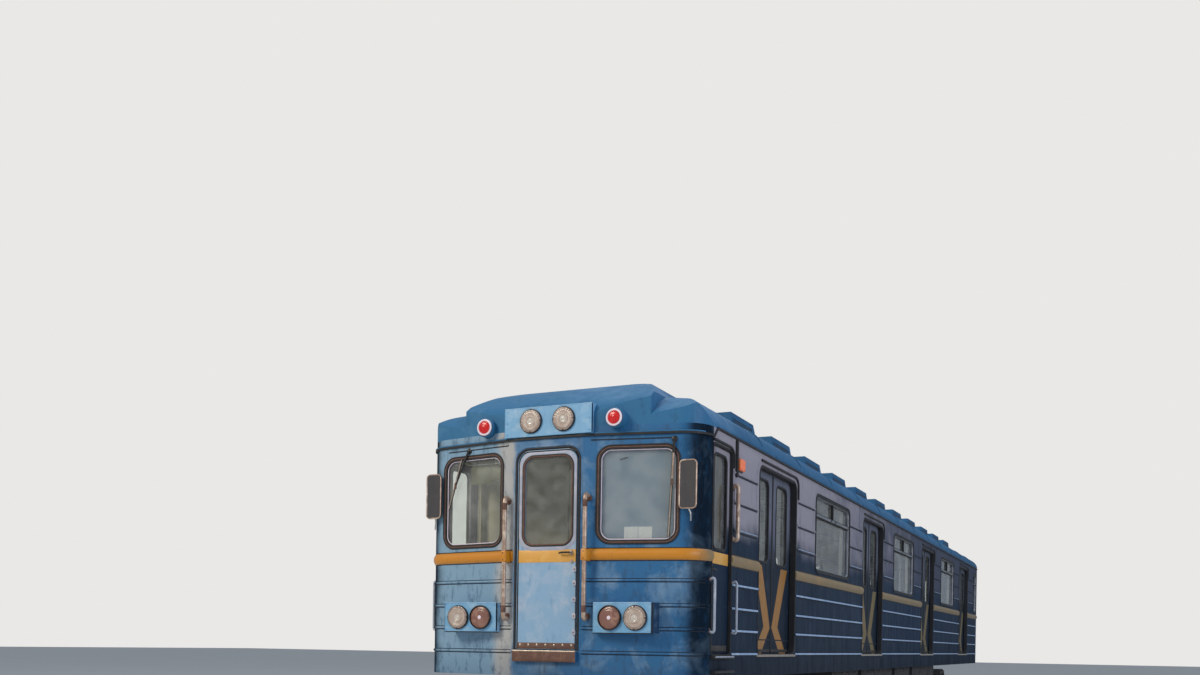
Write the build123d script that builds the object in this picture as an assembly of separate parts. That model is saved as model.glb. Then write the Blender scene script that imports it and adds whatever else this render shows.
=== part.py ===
from build123d import *

import os
from math import atan2, cos, degrees, radians, sin, tan

# A four-door metro motor car with a cab at one end, in millimetres.
# X is across the car (+X is the car's left), -Y is the cab end, Z is up from the rail.
# Everything is drawn above rail level and lifted by the flange depth when it is written,
# so that the car stands at Z = 0 on its wheel flanges.

# Body shell
BODY_LENGTH = 18770.0
BODY_WIDTH = 2700.0
FLOOR_TOP = 1210.0
FLOOR_PLATE = 45.0
SKIRT_BOTTOM = 1000.0
EAVE = 3134.0
CROWN = 3650.0
WALL_THICK = 128.0
OUTER_SKIN = 60.0
LINING = 20.0
MASK_WALL = 50.0
NOSE_FLAT = 330.0
NOSE_SWEEP = 11.0
NOSE_RADIUS = 260.0
REAR_RADIUS = 150.0
REAR_ZONE = 170.0

# Passenger doorways, counted from the cab
DOORWAY_FIRST = 2416.0
DOORWAY_COUNT = 4
DOORWAY_PITCH = (BODY_LENGTH - 2 * DOORWAY_FIRST) / (DOORWAY_COUNT - 1)
DOORWAY_WIDTH = 1300.0
DOORWAY_TOP = 3000.0
DOORWAY_CORNER = 90.0
LEAF_GAP = 6.0
LEAF_TRAVEL = 620.0
LEAF_OVERHANG = 14.0
LEAF_RUN_GAP = 0.3
POCKET_SPARE = 20.0
SEAM_HALF_GAP = 3.0
LEAF_PANE_WIDTH = 380.0
LEAF_PANE_BOTTOM = 2120.0
LEAF_PANE_TOP = 2915.0
LEAF_PANE_CORNER = 70.0
PANE_THICK = 8.0
PANE_FIT = 0.3

# Passenger windows
WINDOW_CLEAR = 818.0
WINDOW_WIDTH = DOORWAY_PITCH - DOORWAY_WIDTH - 2 * WINDOW_CLEAR
WINDOW_BOTTOM = 2125.0
WINDOW_TOP = 3020.0
WINDOW_CORNER = 110.0
WINDOW_RUBBER = 38.0
TRANSOM_BOTTOM = 2755.0
TRANSOM_HEIGHT = 42.0
MULLION_WIDTH = 34.0
END_WINDOW_WIDTH = 530.0
END_WINDOW_INSET = 525.0
END_WINDOW_CENTRE = BODY_LENGTH - END_WINDOW_INSET
RUBBER_DEPTH = 32.0
RUBBER_PROUD = 5.0

# Cab
SWEEP_DEPTH = (BODY_WIDTH / 2 - NOSE_FLAT) * tan(radians(NOSE_SWEEP))
CORNER_RUN = NOSE_RADIUS * tan(radians(90 - NOSE_SWEEP) / 2)
CAB_DOOR_CLEAR = 17.4
CAB_DOOR_FRONT = SWEEP_DEPTH + CORNER_RUN + CAB_DOOR_CLEAR
CAB_DOOR_WIDTH = 500.0
CAB_DOOR_RECESS = 24.0
CAB_DOOR_THICK = 40.0
CAB_DOOR_TOP = 2995.0
CAB_PANE_WIDTH = 330.0
CAB_PANE_TOP = 2930.0
DOOR_PANE_CORNER = 60.0
DOOR_SET_BACK = 4.0
HINGED_GAP = 6.0
FREE_EDGE_GAP = 10.0
PIVOT_INSET = 14.0
PIVOT_STAND = 13.0
KNUCKLE_RADIUS = 12.0
KNUCKLE_HALF = 45.0
HINGE_PIN_RADIUS = 6.0
HINGE_FROM_END = 250.0
CAP_HEIGHT = 16.0
TAB_REACH = 30.0
TAB_CLEAR = 4.0
NOSE_PANE_DEPTH = 20.0
DESK_SIDE_CLEAR = 200.0
DESK_OUTER = BODY_WIDTH / 2 - DESK_SIDE_CLEAR
DESK_WIDTH = 790.0
DESK_FRONT = 40.0
DESK_FOOT = 300.0
DESK_KNEE = (340.0, 1750.0)
DESK_EDGE = (400.0, 1900.0)
DESK_RIDGE = (220.0, 2010.0)
DESK_TOP = 2040.0
SEAT_SIDE_CLEAR = 780.0
SEAT_CENTRE_X = BODY_WIDTH / 2 - SEAT_SIDE_CLEAR
SEAT_POST = (690.0, 45.0)
CUSHION_LOW = 1620.0
CUSHION_HIGH = 1700.0
CUSHION_HALF = 180.0
CUSHION_RUN = (520.0, 840.0)
SEAT_BACK_HALF = 170.0
SEAT_BACK_THICK = 60.0
DRIVER_BACK_TOP = 2120.0
WIPER_STAND = 14.0
WIPER_THICK = 10.0
WIPER_BOSS = 16.0
WIPER_ARM = 14.0
WIPER_BLADE = 20.0
BULKHEAD_Y = 1010.0
BULKHEAD_THICK = 50.0
FRONT_DOOR_WIDTH = 600.0
FRONT_DOOR_BOTTOM = 1227.0
FRONT_DOOR_TOP = 2960.0
FRONT_DOOR_THICK = 40.0
FRONT_PANE_WIDTH = 470.0
FRONT_PANE_BOTTOM = 2134.0
FRONT_PANE_TOP = 2897.0
FRONT_PANE_CORNER = 95.0
FRONT_DOOR_CORNER = 110.0
CAB_WINDOW_INSET = 547.0
CAB_WINDOW_CENTRE = BODY_WIDTH / 2 - CAB_WINDOW_INSET
CAB_WINDOW_WIDTH = 710.0
CAB_WINDOW_BOTTOM = 2126.0
CAB_WINDOW_TOP = 2967.0
CAB_WINDOW_CORNER = 130.0

# Beads and mouldings pressed into or fixed on the skin
BEAD_HEIGHTS = (1210.0, 1417.0, 1616.0, 1825.0)
UPPER_BEAD_HEIGHTS = (2320.0, 2575.0, 2830.0)
BEAD_TO_JAMB = 50.0
BEAD_TO_WINDOW = 12.0
BEAD_RADIUS = 11.0
BELT_CENTRE = 2044.0
BELT_HEIGHT = 96.0
BELT_PROUD = 20.0
GUTTER_PROUD = 16.0
GUTTER_HEIGHT = 18.0
NOSE_GUTTER = 3055.0
RAMP_LAP = 6.0
RAMP_RUN = 80.0

# Saloon
SEAT_DEPTH = 460.0
SEAT_TOP = 1650.0
SEAT_BACK_TOP = 2065.0
SEAT_CLEAR = 60.0
GRAB_RADIUS = 16.0
GRAB_HEIGHT = 2950.0

# Roof
CEILING_SPRING = 10.0
ROOF_SOLID_NOSE = 300.0
DOME_LENGTH = 1000.0
DOME_CURL = 300.0
EAVE_SPARE = 4.0
EAVE_RISE = 20.0
EAVE_EASE = 75.0
SHOULDER_DOME_LENGTH = 620.0
SHOULDER_DOME_CURL = 150.0
SHOULDER_SET_BACK = 90.0
SHOULDER_LAP = 40.0
HUMP_DRAFT = 5.0
SHOULDER_HALF = 1110.0
SHOULDER_TOP = 3375.0
HUMP_FOOT_HALF = 900.0
HUMP_FOOT_TOP = 3420.0
HUMP_HALF = 770.0
HUMP_SIDE_TOP = 3545.0
CEILING = 3400.0
SCOOP_FIRST = 2060.0
SCOOP_LAST = 2510.0
SCOOP_COUNT = 11
SCOOP_PITCH = (BODY_LENGTH - SCOOP_FIRST - SCOOP_LAST) / (SCOOP_COUNT - 1)
SCOOP_GAP = 420.0
SCOOP_LENGTH = SCOOP_PITCH - SCOOP_GAP
SCOOP_NOSE = 60.0
SCOOP_TAIL = 200.0
SCOOP_SINK = 40.0
SCOOP_WIDTH = 260.0
SCOOP_HEIGHT = 110.0
SCOOP_CENTRE = 800.0

# Lamps and fittings on the nose
LAMP_BOX_INNER = 470.0
LAMP_BOX_OUTER = 1000.0
LAMP_BOX_PROUD = 45.0
LAMP_RADIUS = 106.0
LAMP_PROUD = 26.0
LAMP_HEIGHT = 1505.0
LAMP_BOX_BOTTOM = LAMP_HEIGHT - 125.0
LAMP_BOX_TOP = LAMP_HEIGHT + 130.0
LAMP_INNER = 625.0
LAMP_OUTER = 857.0
TOP_BOX_HALF = 420.0
TOP_BOX_PROUD = 25.0
TOP_LAMP = 158.0
TOP_LAMP_HEIGHT = 3202.0
TOP_BOX_BOTTOM = TOP_LAMP_HEIGHT - 132.0
TOP_BOX_TOP = TOP_LAMP_HEIGHT + 123.0
MARKER_CENTRE = 627.0
MARKER_HEIGHT = 3182.0
MARKER_RADIUS = 84.0
RAIL_RADIUS = 19.0
THIN_RAIL_RADIUS = 12.0
RAIL_BEND = 40.0
NOSE_RAIL = 388.0
NOSE_RAIL_BOTTOM = 1450.0
NOSE_RAIL_TOP = 2590.0
RAIL_STAND = 62.0
MIRROR_WIDTH = 160.0
MIRROR_HEIGHT = 410.0
MIRROR_BOTTOM = 2410.0
MIRROR_INSET = 110.0
MIRROR_CENTRE = BODY_WIDTH / 2 - MIRROR_INSET
MIRROR_THICK = 30.0
MIRROR_ARM = 9.0
MIRROR_REACH = 260.0
MIRROR_STAND = 125.0

SIDE_RAIL_STAND = 45.0
SIDE_RAIL_INSET = 45.0
SIDE_RAIL_LOW = (1370.0, 1880.0)
SIDE_RAIL_HIGH = (2190.0, 2740.0)
REPEATER_FRONT = 1060.0
REPEATER_WIDTH = 150.0
REPEATER_BOTTOM = 2850.0
REPEATER_TOP = 2970.0
REPEATER_PROUD = 38.0
REPEATER_BEVEL = 12.0
STEP_BOTTOM = 1125.0
STEP_TOP = 1215.0
STEP_PROUD = 40.0

# Underfloor equipment
CASE_INSET = 110.0
CASE_OUTER = BODY_WIDTH / 2 - CASE_INSET
CASE_WIDTH = 590.0
CASE_DEPTH = 620.0
CASE_BEVEL = 40.0
CASE_END_CLEAR = 1100.0
TANK_RADIUS = 180.0
TANK_HEIGHT = 700.0
TANK_X = 260.0
TANK_LENGTH = 1400.0
TANK_BEVEL = 45.0
TANK_SADDLE = 450.0
SADDLE_HALF = 30.0

# Running gear
GAUGE_BACKS = 1440.0
WHEEL_RADIUS = 390.0
FLANGE_DEPTH = 28.0
FLANGE_WIDTH = 32.0
TYRE_WIDTH = 130.0
AXLE_RADIUS = 82.0
JOURNAL_RADIUS = 60.0
HUB_RADIUS = 120.0
JOURNAL_FIT = 0.05
PIVOT_OVERHANG = 3085.0
BOGIE_PIVOTS = BODY_LENGTH - 2 * PIVOT_OVERHANG
WHEELBASE = 2100.0
FRAME_BEAM_CENTRE = 960.0
FRAME_BEAM_WIDTH = 130.0
FRAME_BEAM_BOTTOM = 560.0
FRAME_BEAM_TOP = 740.0
DROP_TOP = 560.0
DROP_BOTTOM = 400.0
AXLE_BOX_SIZE = 300.0
AXLE_BOX_OUTER = 1085.0
AXLE_COVER = 25.0
TRANSOM_NEAR = 95.0
TRANSOM_FAR = 215.0
BOLSTER_TOP = 890.0
BOLSTER_BOTTOM = 790.0
BOLSTER_LENGTH = 2100.0
BOLSTER_WIDTH = 520.0
PIVOT_PAD_RADIUS = 210.0
PIVOT_PIN_RADIUS = 60.0
SPRING_RADIUS = 100.0
SPRING_WIRE = 22.0
SPRING_TURNS = 5
SPRING_SPREAD = 150.0
MOTOR_RADIUS = 265.0
MOTOR_LENGTH = 620.0
MOTOR_GAP = 10.0
MOTOR_BEVEL = 30.0
MOTOR_FOOT_HALF = 150.0
MOTOR_HEIGHT = 430.0
COLLECTOR_HEIGHT = 390.0
COLLECTOR_REACH = 1430.0
BEAM_THICK = 50.0
BEAM_HALF = 60.0
BEAM_OVERHANG = 100.0
BRACKET_DEPTH = 80.0
BRACKET_HALF = 70.0
SHOE_DROP = 180.0
SHOE_HALF = 110.0
SHOE_THICK = 30.0
COUPLER_HEIGHT = 862.0
COUPLER_OVERHANG = 220.0
OVER_COUPLERS = BODY_LENGTH + 2 * COUPLER_OVERHANG
COUPLER_HEAD = 340.0
COUPLER_CONE = 60.0
COUPLER_SLEEVE = 85.0
COUPLER_PIN_RADIUS = 40.0
COUPLER_PIVOT_INSET = 1100.0
SILL_NEAR = 220.0
SILL_FAR = 300.0
DRAFT_BACK = 250.0
DRAFT_AHEAD = 300.0
DRAFT_CLEAR = 95.0

CASE_ROOM = (BOGIE_PIVOTS - WHEELBASE) / 2 - CASE_END_CLEAR
TANK_PLACE = 0.6265
FRONT_Y = -BODY_LENGTH / 2
REAR_Y = BODY_LENGTH / 2
HALF_WIDTH = BODY_WIDTH / 2
LINING_FACE = HALF_WIDTH - WALL_THICK
POCKET_INNER = LINING_FACE + LINING
POCKET_OUTER = HALF_WIDTH - OUTER_SKIN
LEAF_CENTRE_X = (POCKET_INNER + POCKET_OUTER) / 2
LEAF_THICK = POCKET_OUTER - POCKET_INNER - 2 * LEAF_GAP
LEAF_WIDTH = DOORWAY_WIDTH / 2 + LEAF_OVERHANG
LEAF_TOP = DOORWAY_TOP + LEAF_OVERHANG
SIDES = (("left", 1), ("right", -1))
ENDS = (("front", -1), ("rear", 1))
DOORWAYS = [FRONT_Y + DOORWAY_FIRST + k * DOORWAY_PITCH for k in range(DOORWAY_COUNT)]
WINDOWS = [(a + b) / 2 for a, b in zip(DOORWAYS, DOORWAYS[1:])]
CAB_DOOR_LOW = FRONT_Y + CAB_DOOR_FRONT
CAB_DOOR_HIGH = CAB_DOOR_LOW + CAB_DOOR_WIDTH
REAR_SEAM = REAR_Y - REAR_ZONE
# Lengths of plain wall between the openings, each as (start, end) along Y
WALL_RUNS = list(zip(
    [CAB_DOOR_HIGH] + [y + DOORWAY_WIDTH / 2 for y in DOORWAYS],
    [y - DOORWAY_WIDTH / 2 for y in DOORWAYS] + [REAR_SEAM],
))
# Fixed side windows as (centre along Y, width)
WINDOW_TABLE = [(y, WINDOW_WIDTH) for y in WINDOWS] + [(FRONT_Y + END_WINDOW_CENTRE, END_WINDOW_WIDTH)]
# Benches as (start, end) along Y
BENCH_RUNS = [
    (start + SEAT_CLEAR, end - SEAT_CLEAR) for start, end in WALL_RUNS[1:]
]

nodes = {}


def block(x, y, z):
    """Box given by its low and high ends along each axis."""
    size = [abs(b - a) for a, b in (x, y, z)]
    centre = [(a + b) / 2 for a, b in (x, y, z)]
    return Pos(*centre) * Box(*size)


def tube_x(radius, x, y, z):
    """Round bar along X between the two values in x."""
    return Pos((x[0] + x[1]) / 2, y, z) * Rot(0, 90, 0) * Cylinder(radius, abs(x[1] - x[0]))


def tube_y(radius, x, y, z):
    """Round bar along Y between the two values in y."""
    return Pos(x, (y[0] + y[1]) / 2, z) * Rot(90, 0, 0) * Cylinder(radius, abs(y[1] - y[0]))


def tube_z(radius, x, y, z):
    """Upright round bar between the two values in z."""
    return Pos(x, y, (z[0] + z[1]) / 2) * Cylinder(radius, abs(z[1] - z[0]))


def pane_y(width, low, high, corner, x, y, thick):
    """Round-cornered plate that faces along Y, centred at x and y."""
    outline = RectangleRounded(width, high - low, corner)
    plate = extrude(Plane.XZ * outline, thick / 2, both=True)
    return Pos(x, y, (low + high) / 2) * plate


def pane_x(width, low, high, corner, x, y, thick):
    """Round-cornered plate that faces along X, centred at x and y."""
    outline = RectangleRounded(width, high - low, corner)
    plate = extrude(Plane.YZ * outline, thick / 2, both=True)
    return Pos(x, y, (low + high) / 2) * plate


def group(pieces):
    """One piece made of separate solids."""
    return Compound([solid for piece in pieces for solid in piece.solids()])


def mirror_x(shape):
    """The same shape on the other side of the car."""
    return mirror(shape, about=Plane.YZ)


def nose_points(inset):
    """Nose outline's bend, corner and front line, moved in by inset."""
    turn = radians(NOSE_SWEEP)
    half = HALF_WIDTH - inset
    front = FRONT_Y + inset
    bend = NOSE_FLAT - inset * tan(turn / 2)
    corner = front + (half - bend) * tan(turn)
    return half, front, bend, corner


def body_plan(inset=0.0):
    """Plan outline of the body: flat door panel, swept panels, rounded corners."""
    half, front, bend, corner = nose_points(inset)
    rear = REAR_Y - inset
    outline = Polyline(
        (-half, rear), (-half, corner), (-bend, front),
        (bend, front), (half, corner), (half, rear), close=True)
    face = make_face(outline)
    nose = [v for v in face.vertices() if abs(v.X) > half - 1 and v.Y < 0]
    face = fillet(nose, NOSE_RADIUS - inset)
    tail = [v for v in face.vertices() if v.Y > rear - 1]
    return fillet(tail, max(REAR_RADIUS - inset, 1.0))


def nose_path(start, height):
    """Line along the left swept panel from X = start, round the corner to the cab door."""
    half, front, bend, corner = nose_points(0.0)
    slope = tan(radians(NOSE_SWEEP))
    return FilletPolyline(
        (start, front + (start - bend) * slope, height),
        (half, corner, height),
        (half, CAB_DOOR_LOW, height), radius=NOSE_RADIUS)


def strip_on_nose(start, height, profile):
    """Sweep a raised strip's profile along the nose, as drawn in a plane across the path."""
    path = nose_path(start, height)
    place = Plane(origin=path @ 0, x_dir=(0, 0, 1), z_dir=path % 0)
    return sweep(place * profile, path=path)


def strip_on_side(y, height, profile):
    """Straight run of the same strip along the left wall."""
    place = Plane(origin=(HALF_WIDTH, y[0], height), x_dir=(0, 0, 1), z_dir=(0, 1, 0))
    return extrude(place * profile, y[1] - y[0])


def bead_profile():
    """Half round, flat on the skin."""
    return Circle(BEAD_RADIUS)


def belt_profile():
    """Shallow arc moulding: its chord lies on the skin."""
    half = BELT_HEIGHT / 2
    line = Line((-half, 0), (half, 0))
    arc = ThreePointArc((half, 0), (0, BELT_PROUD), (-half, 0))
    return make_face([line, arc])


def underframe():
    """Floor plate, side sills, centre sill, cross members and the two pivot pads."""
    plan = body_plan(WALL_THICK + 1.0)
    top = FLOOR_TOP - FLOOR_PLATE
    floor = Pos(0, 0, top) * extrude(plan, FLOOR_PLATE)
    under = [floor]
    for x in (-1, 1):
        sill = (x * (LINING_FACE - 90), x * (LINING_FACE - 1))
        under.append(block(sill, (CAB_DOOR_LOW, REAR_SEAM), (SKIRT_BOTTOM, top)))
        channel = (x * SILL_NEAR, x * SILL_FAR)
        under.append(block(channel, (FRONT_Y + 300, REAR_SEAM), (SKIRT_BOTTOM + 20, top)))
    members = 12
    reach = BOGIE_PIVOTS / 2 + 1900
    for k in range(members):
        y = -reach + 2 * reach * k / (members - 1)
        across = (-LINING_FACE + 40, LINING_FACE - 40)
        under.append(block(across, (y - 45, y + 45), (SKIRT_BOTTOM + 40, top)))
    for _, end in ENDS:
        y = end * BOGIE_PIVOTS / 2
        bearer = block((-LINING_FACE + 40, LINING_FACE - 40), (y - 260, y + 260), (SKIRT_BOTTOM + 10, top))
        pad = tube_z(PIVOT_PAD_RADIUS, 0, y, (BOLSTER_TOP + LEAF_RUN_GAP, SKIRT_BOTTOM + 10))
        pin = tube_z(PIVOT_PIN_RADIUS, 0, y, (BOLSTER_BOTTOM, SKIRT_BOTTOM + 10))
        seat = REAR_Y - COUPLER_PIVOT_INSET
        draft = block((-SILL_NEAR, SILL_NEAR), (end * (seat - DRAFT_BACK), end * (seat + DRAFT_AHEAD)),
                      (COUPLER_HEIGHT + DRAFT_CLEAR, top))
        under += [bearer, pad, pin, draft]
        y = end * (REAR_Y - COUPLER_PIVOT_INSET)
        low = COUPLER_HEIGHT - COUPLER_SLEEVE - LEAF_RUN_GAP
        under.append(tube_z(COUPLER_PIN_RADIUS, 0, y, (low - 20, COUPLER_HEIGHT + DRAFT_CLEAR)))
        under.append(tube_z(COUPLER_PIN_RADIUS + 25, 0, y, (low - 20, low)))
    return under[0].fuse(*under[1:])


def upper_runs():
    """Plain wall between doorways and windows, each as (start, end) along Y."""
    holes = [(y - width / 2 - BEAD_TO_WINDOW, y + width / 2 + BEAD_TO_WINDOW) for y, width in WINDOW_TABLE]
    runs = []
    for start, end in WALL_RUNS:
        edges = [start + BEAD_TO_JAMB, end - BEAD_TO_JAMB]
        for hole in holes:
            edges += [edge for edge in hole if start < hole[0] < end]
        edges.sort()
        runs += zip(edges[::2], edges[1::2])
    return runs


def side_wall():
    """Left wall: outer skin and lining with door pockets between, beads and openings."""
    wall = block((LINING_FACE, HALF_WIDTH), (CAB_DOOR_LOW, REAR_SEAM), (SKIRT_BOTTOM, EAVE))
    beads = []
    for y in WALL_RUNS:
        beads += [strip_on_side(y, z, bead_profile()) for z in BEAD_HEIGHTS]
    for y in upper_runs():
        beads += [strip_on_side(y, z, bead_profile()) for z in UPPER_BEAD_HEIGHTS]
    wall = wall.fuse(*beads)
    cuts = []
    through = (WALL_THICK + 60) * 2
    for y in DOORWAYS:
        cuts.append(pane_x(DOORWAY_WIDTH, FLOOR_TOP - 200, DOORWAY_TOP, DOORWAY_CORNER, HALF_WIDTH, y, through)
                    & block((0, 2 * HALF_WIDTH), (y - 2000, y + 2000), (FLOOR_TOP, EAVE)))
        reach = DOORWAY_WIDTH / 2 + LEAF_TRAVEL + POCKET_SPARE + LEAF_OVERHANG
        cuts.append(block((POCKET_INNER, POCKET_OUTER), (y - reach, y + reach),
                          (FLOOR_TOP, LEAF_TOP + 2 * LEAF_GAP)))
    for y in WINDOWS:
        cuts.append(pane_x(WINDOW_WIDTH, WINDOW_BOTTOM, WINDOW_TOP, WINDOW_CORNER, HALF_WIDTH, y, through))
    cuts.append(pane_x(END_WINDOW_WIDTH, WINDOW_BOTTOM, WINDOW_TOP, WINDOW_CORNER,
                       HALF_WIDTH, FRONT_Y + END_WINDOW_CENTRE, through))
    cuts.append(block((0, 2 * HALF_WIDTH), (CAB_DOOR_LOW - 10, CAB_DOOR_HIGH), (FLOOR_TOP, CAB_DOOR_TOP)))
    return wall - cuts


def front_mask():
    """Nose shell from the skirt to the eave, with its door and window openings."""
    ring = body_plan() - body_plan(MASK_WALL)
    shell = Pos(0, 0, SKIRT_BOTTOM) * extrude(ring, EAVE - SKIRT_BOTTOM)
    shell &= block((-HALF_WIDTH, HALF_WIDTH), (FRONT_Y, CAB_DOOR_LOW), (SKIRT_BOTTOM, EAVE))
    strips = []
    for z in BEAD_HEIGHTS:
        bead = strip_on_nose(NOSE_FLAT, z, bead_profile())
        strips += [bead, mirror_x(bead)]
    shell = shell.fuse(*strips)
    door = block((-FRONT_DOOR_WIDTH / 2, FRONT_DOOR_WIDTH / 2), (FRONT_Y - 50, FRONT_Y + 200),
                 (FRONT_DOOR_BOTTOM, FRONT_DOOR_TOP))
    shell -= fillet(door.edges().filter_by(Axis.Y).group_by(Axis.Z)[-1], FRONT_DOOR_CORNER)
    for x in (-1, 1):
        shell -= pane_y(CAB_WINDOW_WIDTH, CAB_WINDOW_BOTTOM, CAB_WINDOW_TOP, CAB_WINDOW_CORNER,
                        x * CAB_WINDOW_CENTRE, FRONT_Y, 600)
    step = block((-FRONT_DOOR_WIDTH / 2, FRONT_DOOR_WIDTH / 2), (FRONT_Y - STEP_PROUD, FRONT_Y + MASK_WALL / 2),
                 (STEP_BOTTOM, STEP_TOP))
    return shell + chamfer(step.edges().filter_by(Axis.X).group_by(Axis.Y)[0], STEP_PROUD / 4)


def rear_wall():
    """Flat end wall with rounded corners and a central door opening."""
    ring = body_plan() - body_plan(MASK_WALL)
    shell = Pos(0, 0, SKIRT_BOTTOM) * extrude(ring, EAVE - SKIRT_BOTTOM)
    shell &= block((-HALF_WIDTH, HALF_WIDTH), (REAR_SEAM, REAR_Y), (SKIRT_BOTTOM, EAVE))
    for z in BEAD_HEIGHTS:
        for x in (-1, 1):
            bead = tube_x(BEAD_RADIUS, (x * 380, x * (HALF_WIDTH - REAR_RADIUS)), REAR_Y, z)
            shell += bead
    door = block((-FRONT_DOOR_WIDTH / 2, FRONT_DOOR_WIDTH / 2), (REAR_Y - 200, REAR_Y + 50),
                 (FRONT_DOOR_BOTTOM, FRONT_DOOR_TOP))
    return shell - door


def shoulder_section():
    """Rounded eaves and shoulders, closed level across the middle under the raised part.

    It is drawn a little wider than the body, and the plan of the body trims it.
    """
    side = HALF_WIDTH + EAVE_SPARE
    lap = HUMP_FOOT_HALF - SHOULDER_LAP
    slope = (HUMP_FOOT_TOP - SHOULDER_TOP) / (SHOULDER_HALF - HUMP_FOOT_HALF)
    eave = Line((side, EAVE), (side, EAVE + EAVE_RISE))
    corner = ThreePointArc((side, EAVE + EAVE_RISE), (HALF_WIDTH - EAVE_EASE, SHOULDER_TOP - EAVE_EASE),
                           (SHOULDER_HALF, SHOULDER_TOP))
    shoulder = Line((SHOULDER_HALF, SHOULDER_TOP), (lap, HUMP_FOOT_TOP + SHOULDER_LAP * slope))
    left = [eave, corner, shoulder]
    right = [mirror(edge, about=Plane.YZ) for edge in left]
    return make_face([*left, Line(shoulder @ 1, right[-1] @ 1), *right, Line((-side, EAVE), (side, EAVE))])


def hump_section():
    """Raised middle of the roof, from the eave line to the crown."""
    base = HUMP_FOOT_HALF + HUMP_DRAFT
    left = [
        Line((base, EAVE), (HUMP_FOOT_HALF, HUMP_FOOT_TOP)),
        Line((HUMP_FOOT_HALF, HUMP_FOOT_TOP), (HUMP_HALF, HUMP_SIDE_TOP)),
    ]
    right = [mirror(edge, about=Plane.YZ) for edge in left]
    top = ThreePointArc((HUMP_HALF, HUMP_SIDE_TOP), (0, CROWN), (-HUMP_HALF, HUMP_SIDE_TOP))
    return make_face([*left, top, *right, Line((-base, EAVE), (base, EAVE))])


def domed(section, front, length, curl, top):
    """Arched length of roof whose nose curls up from the eave and then sweeps to the top."""
    rise = top - EAVE
    sweep_radius = (length**2 + rise**2 - 2 * length * curl) / (2 * (rise - curl))
    low_centre = Vector(front + curl, EAVE)
    high_centre = Vector(front + length, top - sweep_radius)
    joint = degrees(atan2(low_centre.Y - high_centre.Y, low_centre.X - high_centre.X))
    low_arc = CenterArc(low_centre, curl, joint, 180 - joint)
    high_arc = CenterArc(high_centre, sweep_radius, 90, joint - 90)
    edges = [
        low_arc,
        high_arc,
        Line(high_arc @ 0, (REAR_Y, top)),
        Line((REAR_Y, top), (REAR_Y, EAVE)),
        Line((REAR_Y, EAVE), low_arc @ 1),
    ]
    on_end = Plane(origin=(0, FRONT_Y, 0), x_dir=(1, 0, 0), z_dir=(0, -1, 0))
    arch = extrude(on_end * section, -BODY_LENGTH)
    return arch & extrude(Plane.YZ * make_face(edges), HALF_WIDTH + 10, both=True)


def roof():
    """Arched roof with a raised middle, domed noses and air scoops along both sides."""
    low_front = FRONT_Y + SHOULDER_SET_BACK
    shoulders = domed(shoulder_section(), low_front, SHOULDER_DOME_LENGTH, SHOULDER_DOME_CURL,
                      HUMP_FOOT_TOP + SHOULDER_LAP)
    hump = domed(hump_section(), FRONT_Y, DOME_LENGTH, DOME_CURL, CROWN + 1)
    shell = shoulders + hump
    shell &= Pos(0, 0, EAVE) * extrude(body_plan(), CROWN - EAVE + 50)
    low = FRONT_Y + ROOF_SOLID_NOSE
    shell -= extrude(across(low) * ceiling_face(EAVE - 10, 0.0), low - REAR_Y + MASK_WALL)
    scoops = []
    for k in range(SCOOP_COUNT):
        y = FRONT_Y + SCOOP_FIRST + k * SCOOP_PITCH
        scoop = scoop_solid(y)
        scoops += [scoop, mirror_x(scoop)]
    return shell.fuse(*scoops)


def scoop_solid(y):
    """One air scoop: a wedge with a sloped nose, sunk into the valley of the roof."""
    top = HUMP_SIDE_TOP + SCOOP_HEIGHT - SCOOP_SINK
    foot = HUMP_FOOT_TOP - SCOOP_SINK
    end = y + SCOOP_LENGTH
    side = make_face(Polyline((y, foot), (y + SCOOP_NOSE, top), (end - SCOOP_TAIL, top), (end, foot), close=True))
    wedge = extrude(Plane.YZ * side, SCOOP_WIDTH / 2, both=True)
    return Pos(SCOOP_CENTRE, 0, 0) * wedge


def gutters():
    """Rain strips along both eaves and round the nose."""
    strip = Rectangle(GUTTER_HEIGHT, 2 * GUTTER_PROUD)
    half = GUTTER_HEIGHT / 2
    low = CAB_DOOR_LOW - RAMP_LAP
    high = CAB_DOOR_LOW + RAMP_RUN
    side = strip_on_side((high - RAMP_LAP, REAR_SEAM), EAVE, strip)
    ramp = make_face(Polyline((low, NOSE_GUTTER - half), (high, EAVE - half), (high, EAVE + half),
                              (low, NOSE_GUTTER + half), close=True))
    side += extrude(Plane.YZ.offset(HALF_WIDTH) * ramp, GUTTER_PROUD)
    side -= block((0, HALF_WIDTH), (FRONT_Y, REAR_Y), (0, 2 * EAVE))
    nose = strip_on_nose(NOSE_FLAT, NOSE_GUTTER, strip) - nodes["front_mask"]
    middle = block((0, NOSE_FLAT + RAMP_LAP), (FRONT_Y - GUTTER_PROUD, FRONT_Y), (NOSE_GUTTER - half, NOSE_GUTTER + half))
    rail = side + nose + middle
    return group([rail + mirror_x(rail)])


def belt():
    """Raised belt moulding on every plain length of wall and round the nose corners."""
    pieces = []
    for y in WALL_RUNS:
        piece = strip_on_side(y, BELT_CENTRE, belt_profile())
        pieces += [piece, mirror_x(piece)]
    nose = strip_on_nose(NOSE_FLAT, BELT_CENTRE, belt_profile())
    pieces += [nose, mirror_x(nose)]
    return group(pieces)


def hinge_heights(bottom, top):
    """Middle heights of a leaf's two hinges."""
    return (bottom + HINGE_FROM_END, top - HINGE_FROM_END)


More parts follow.
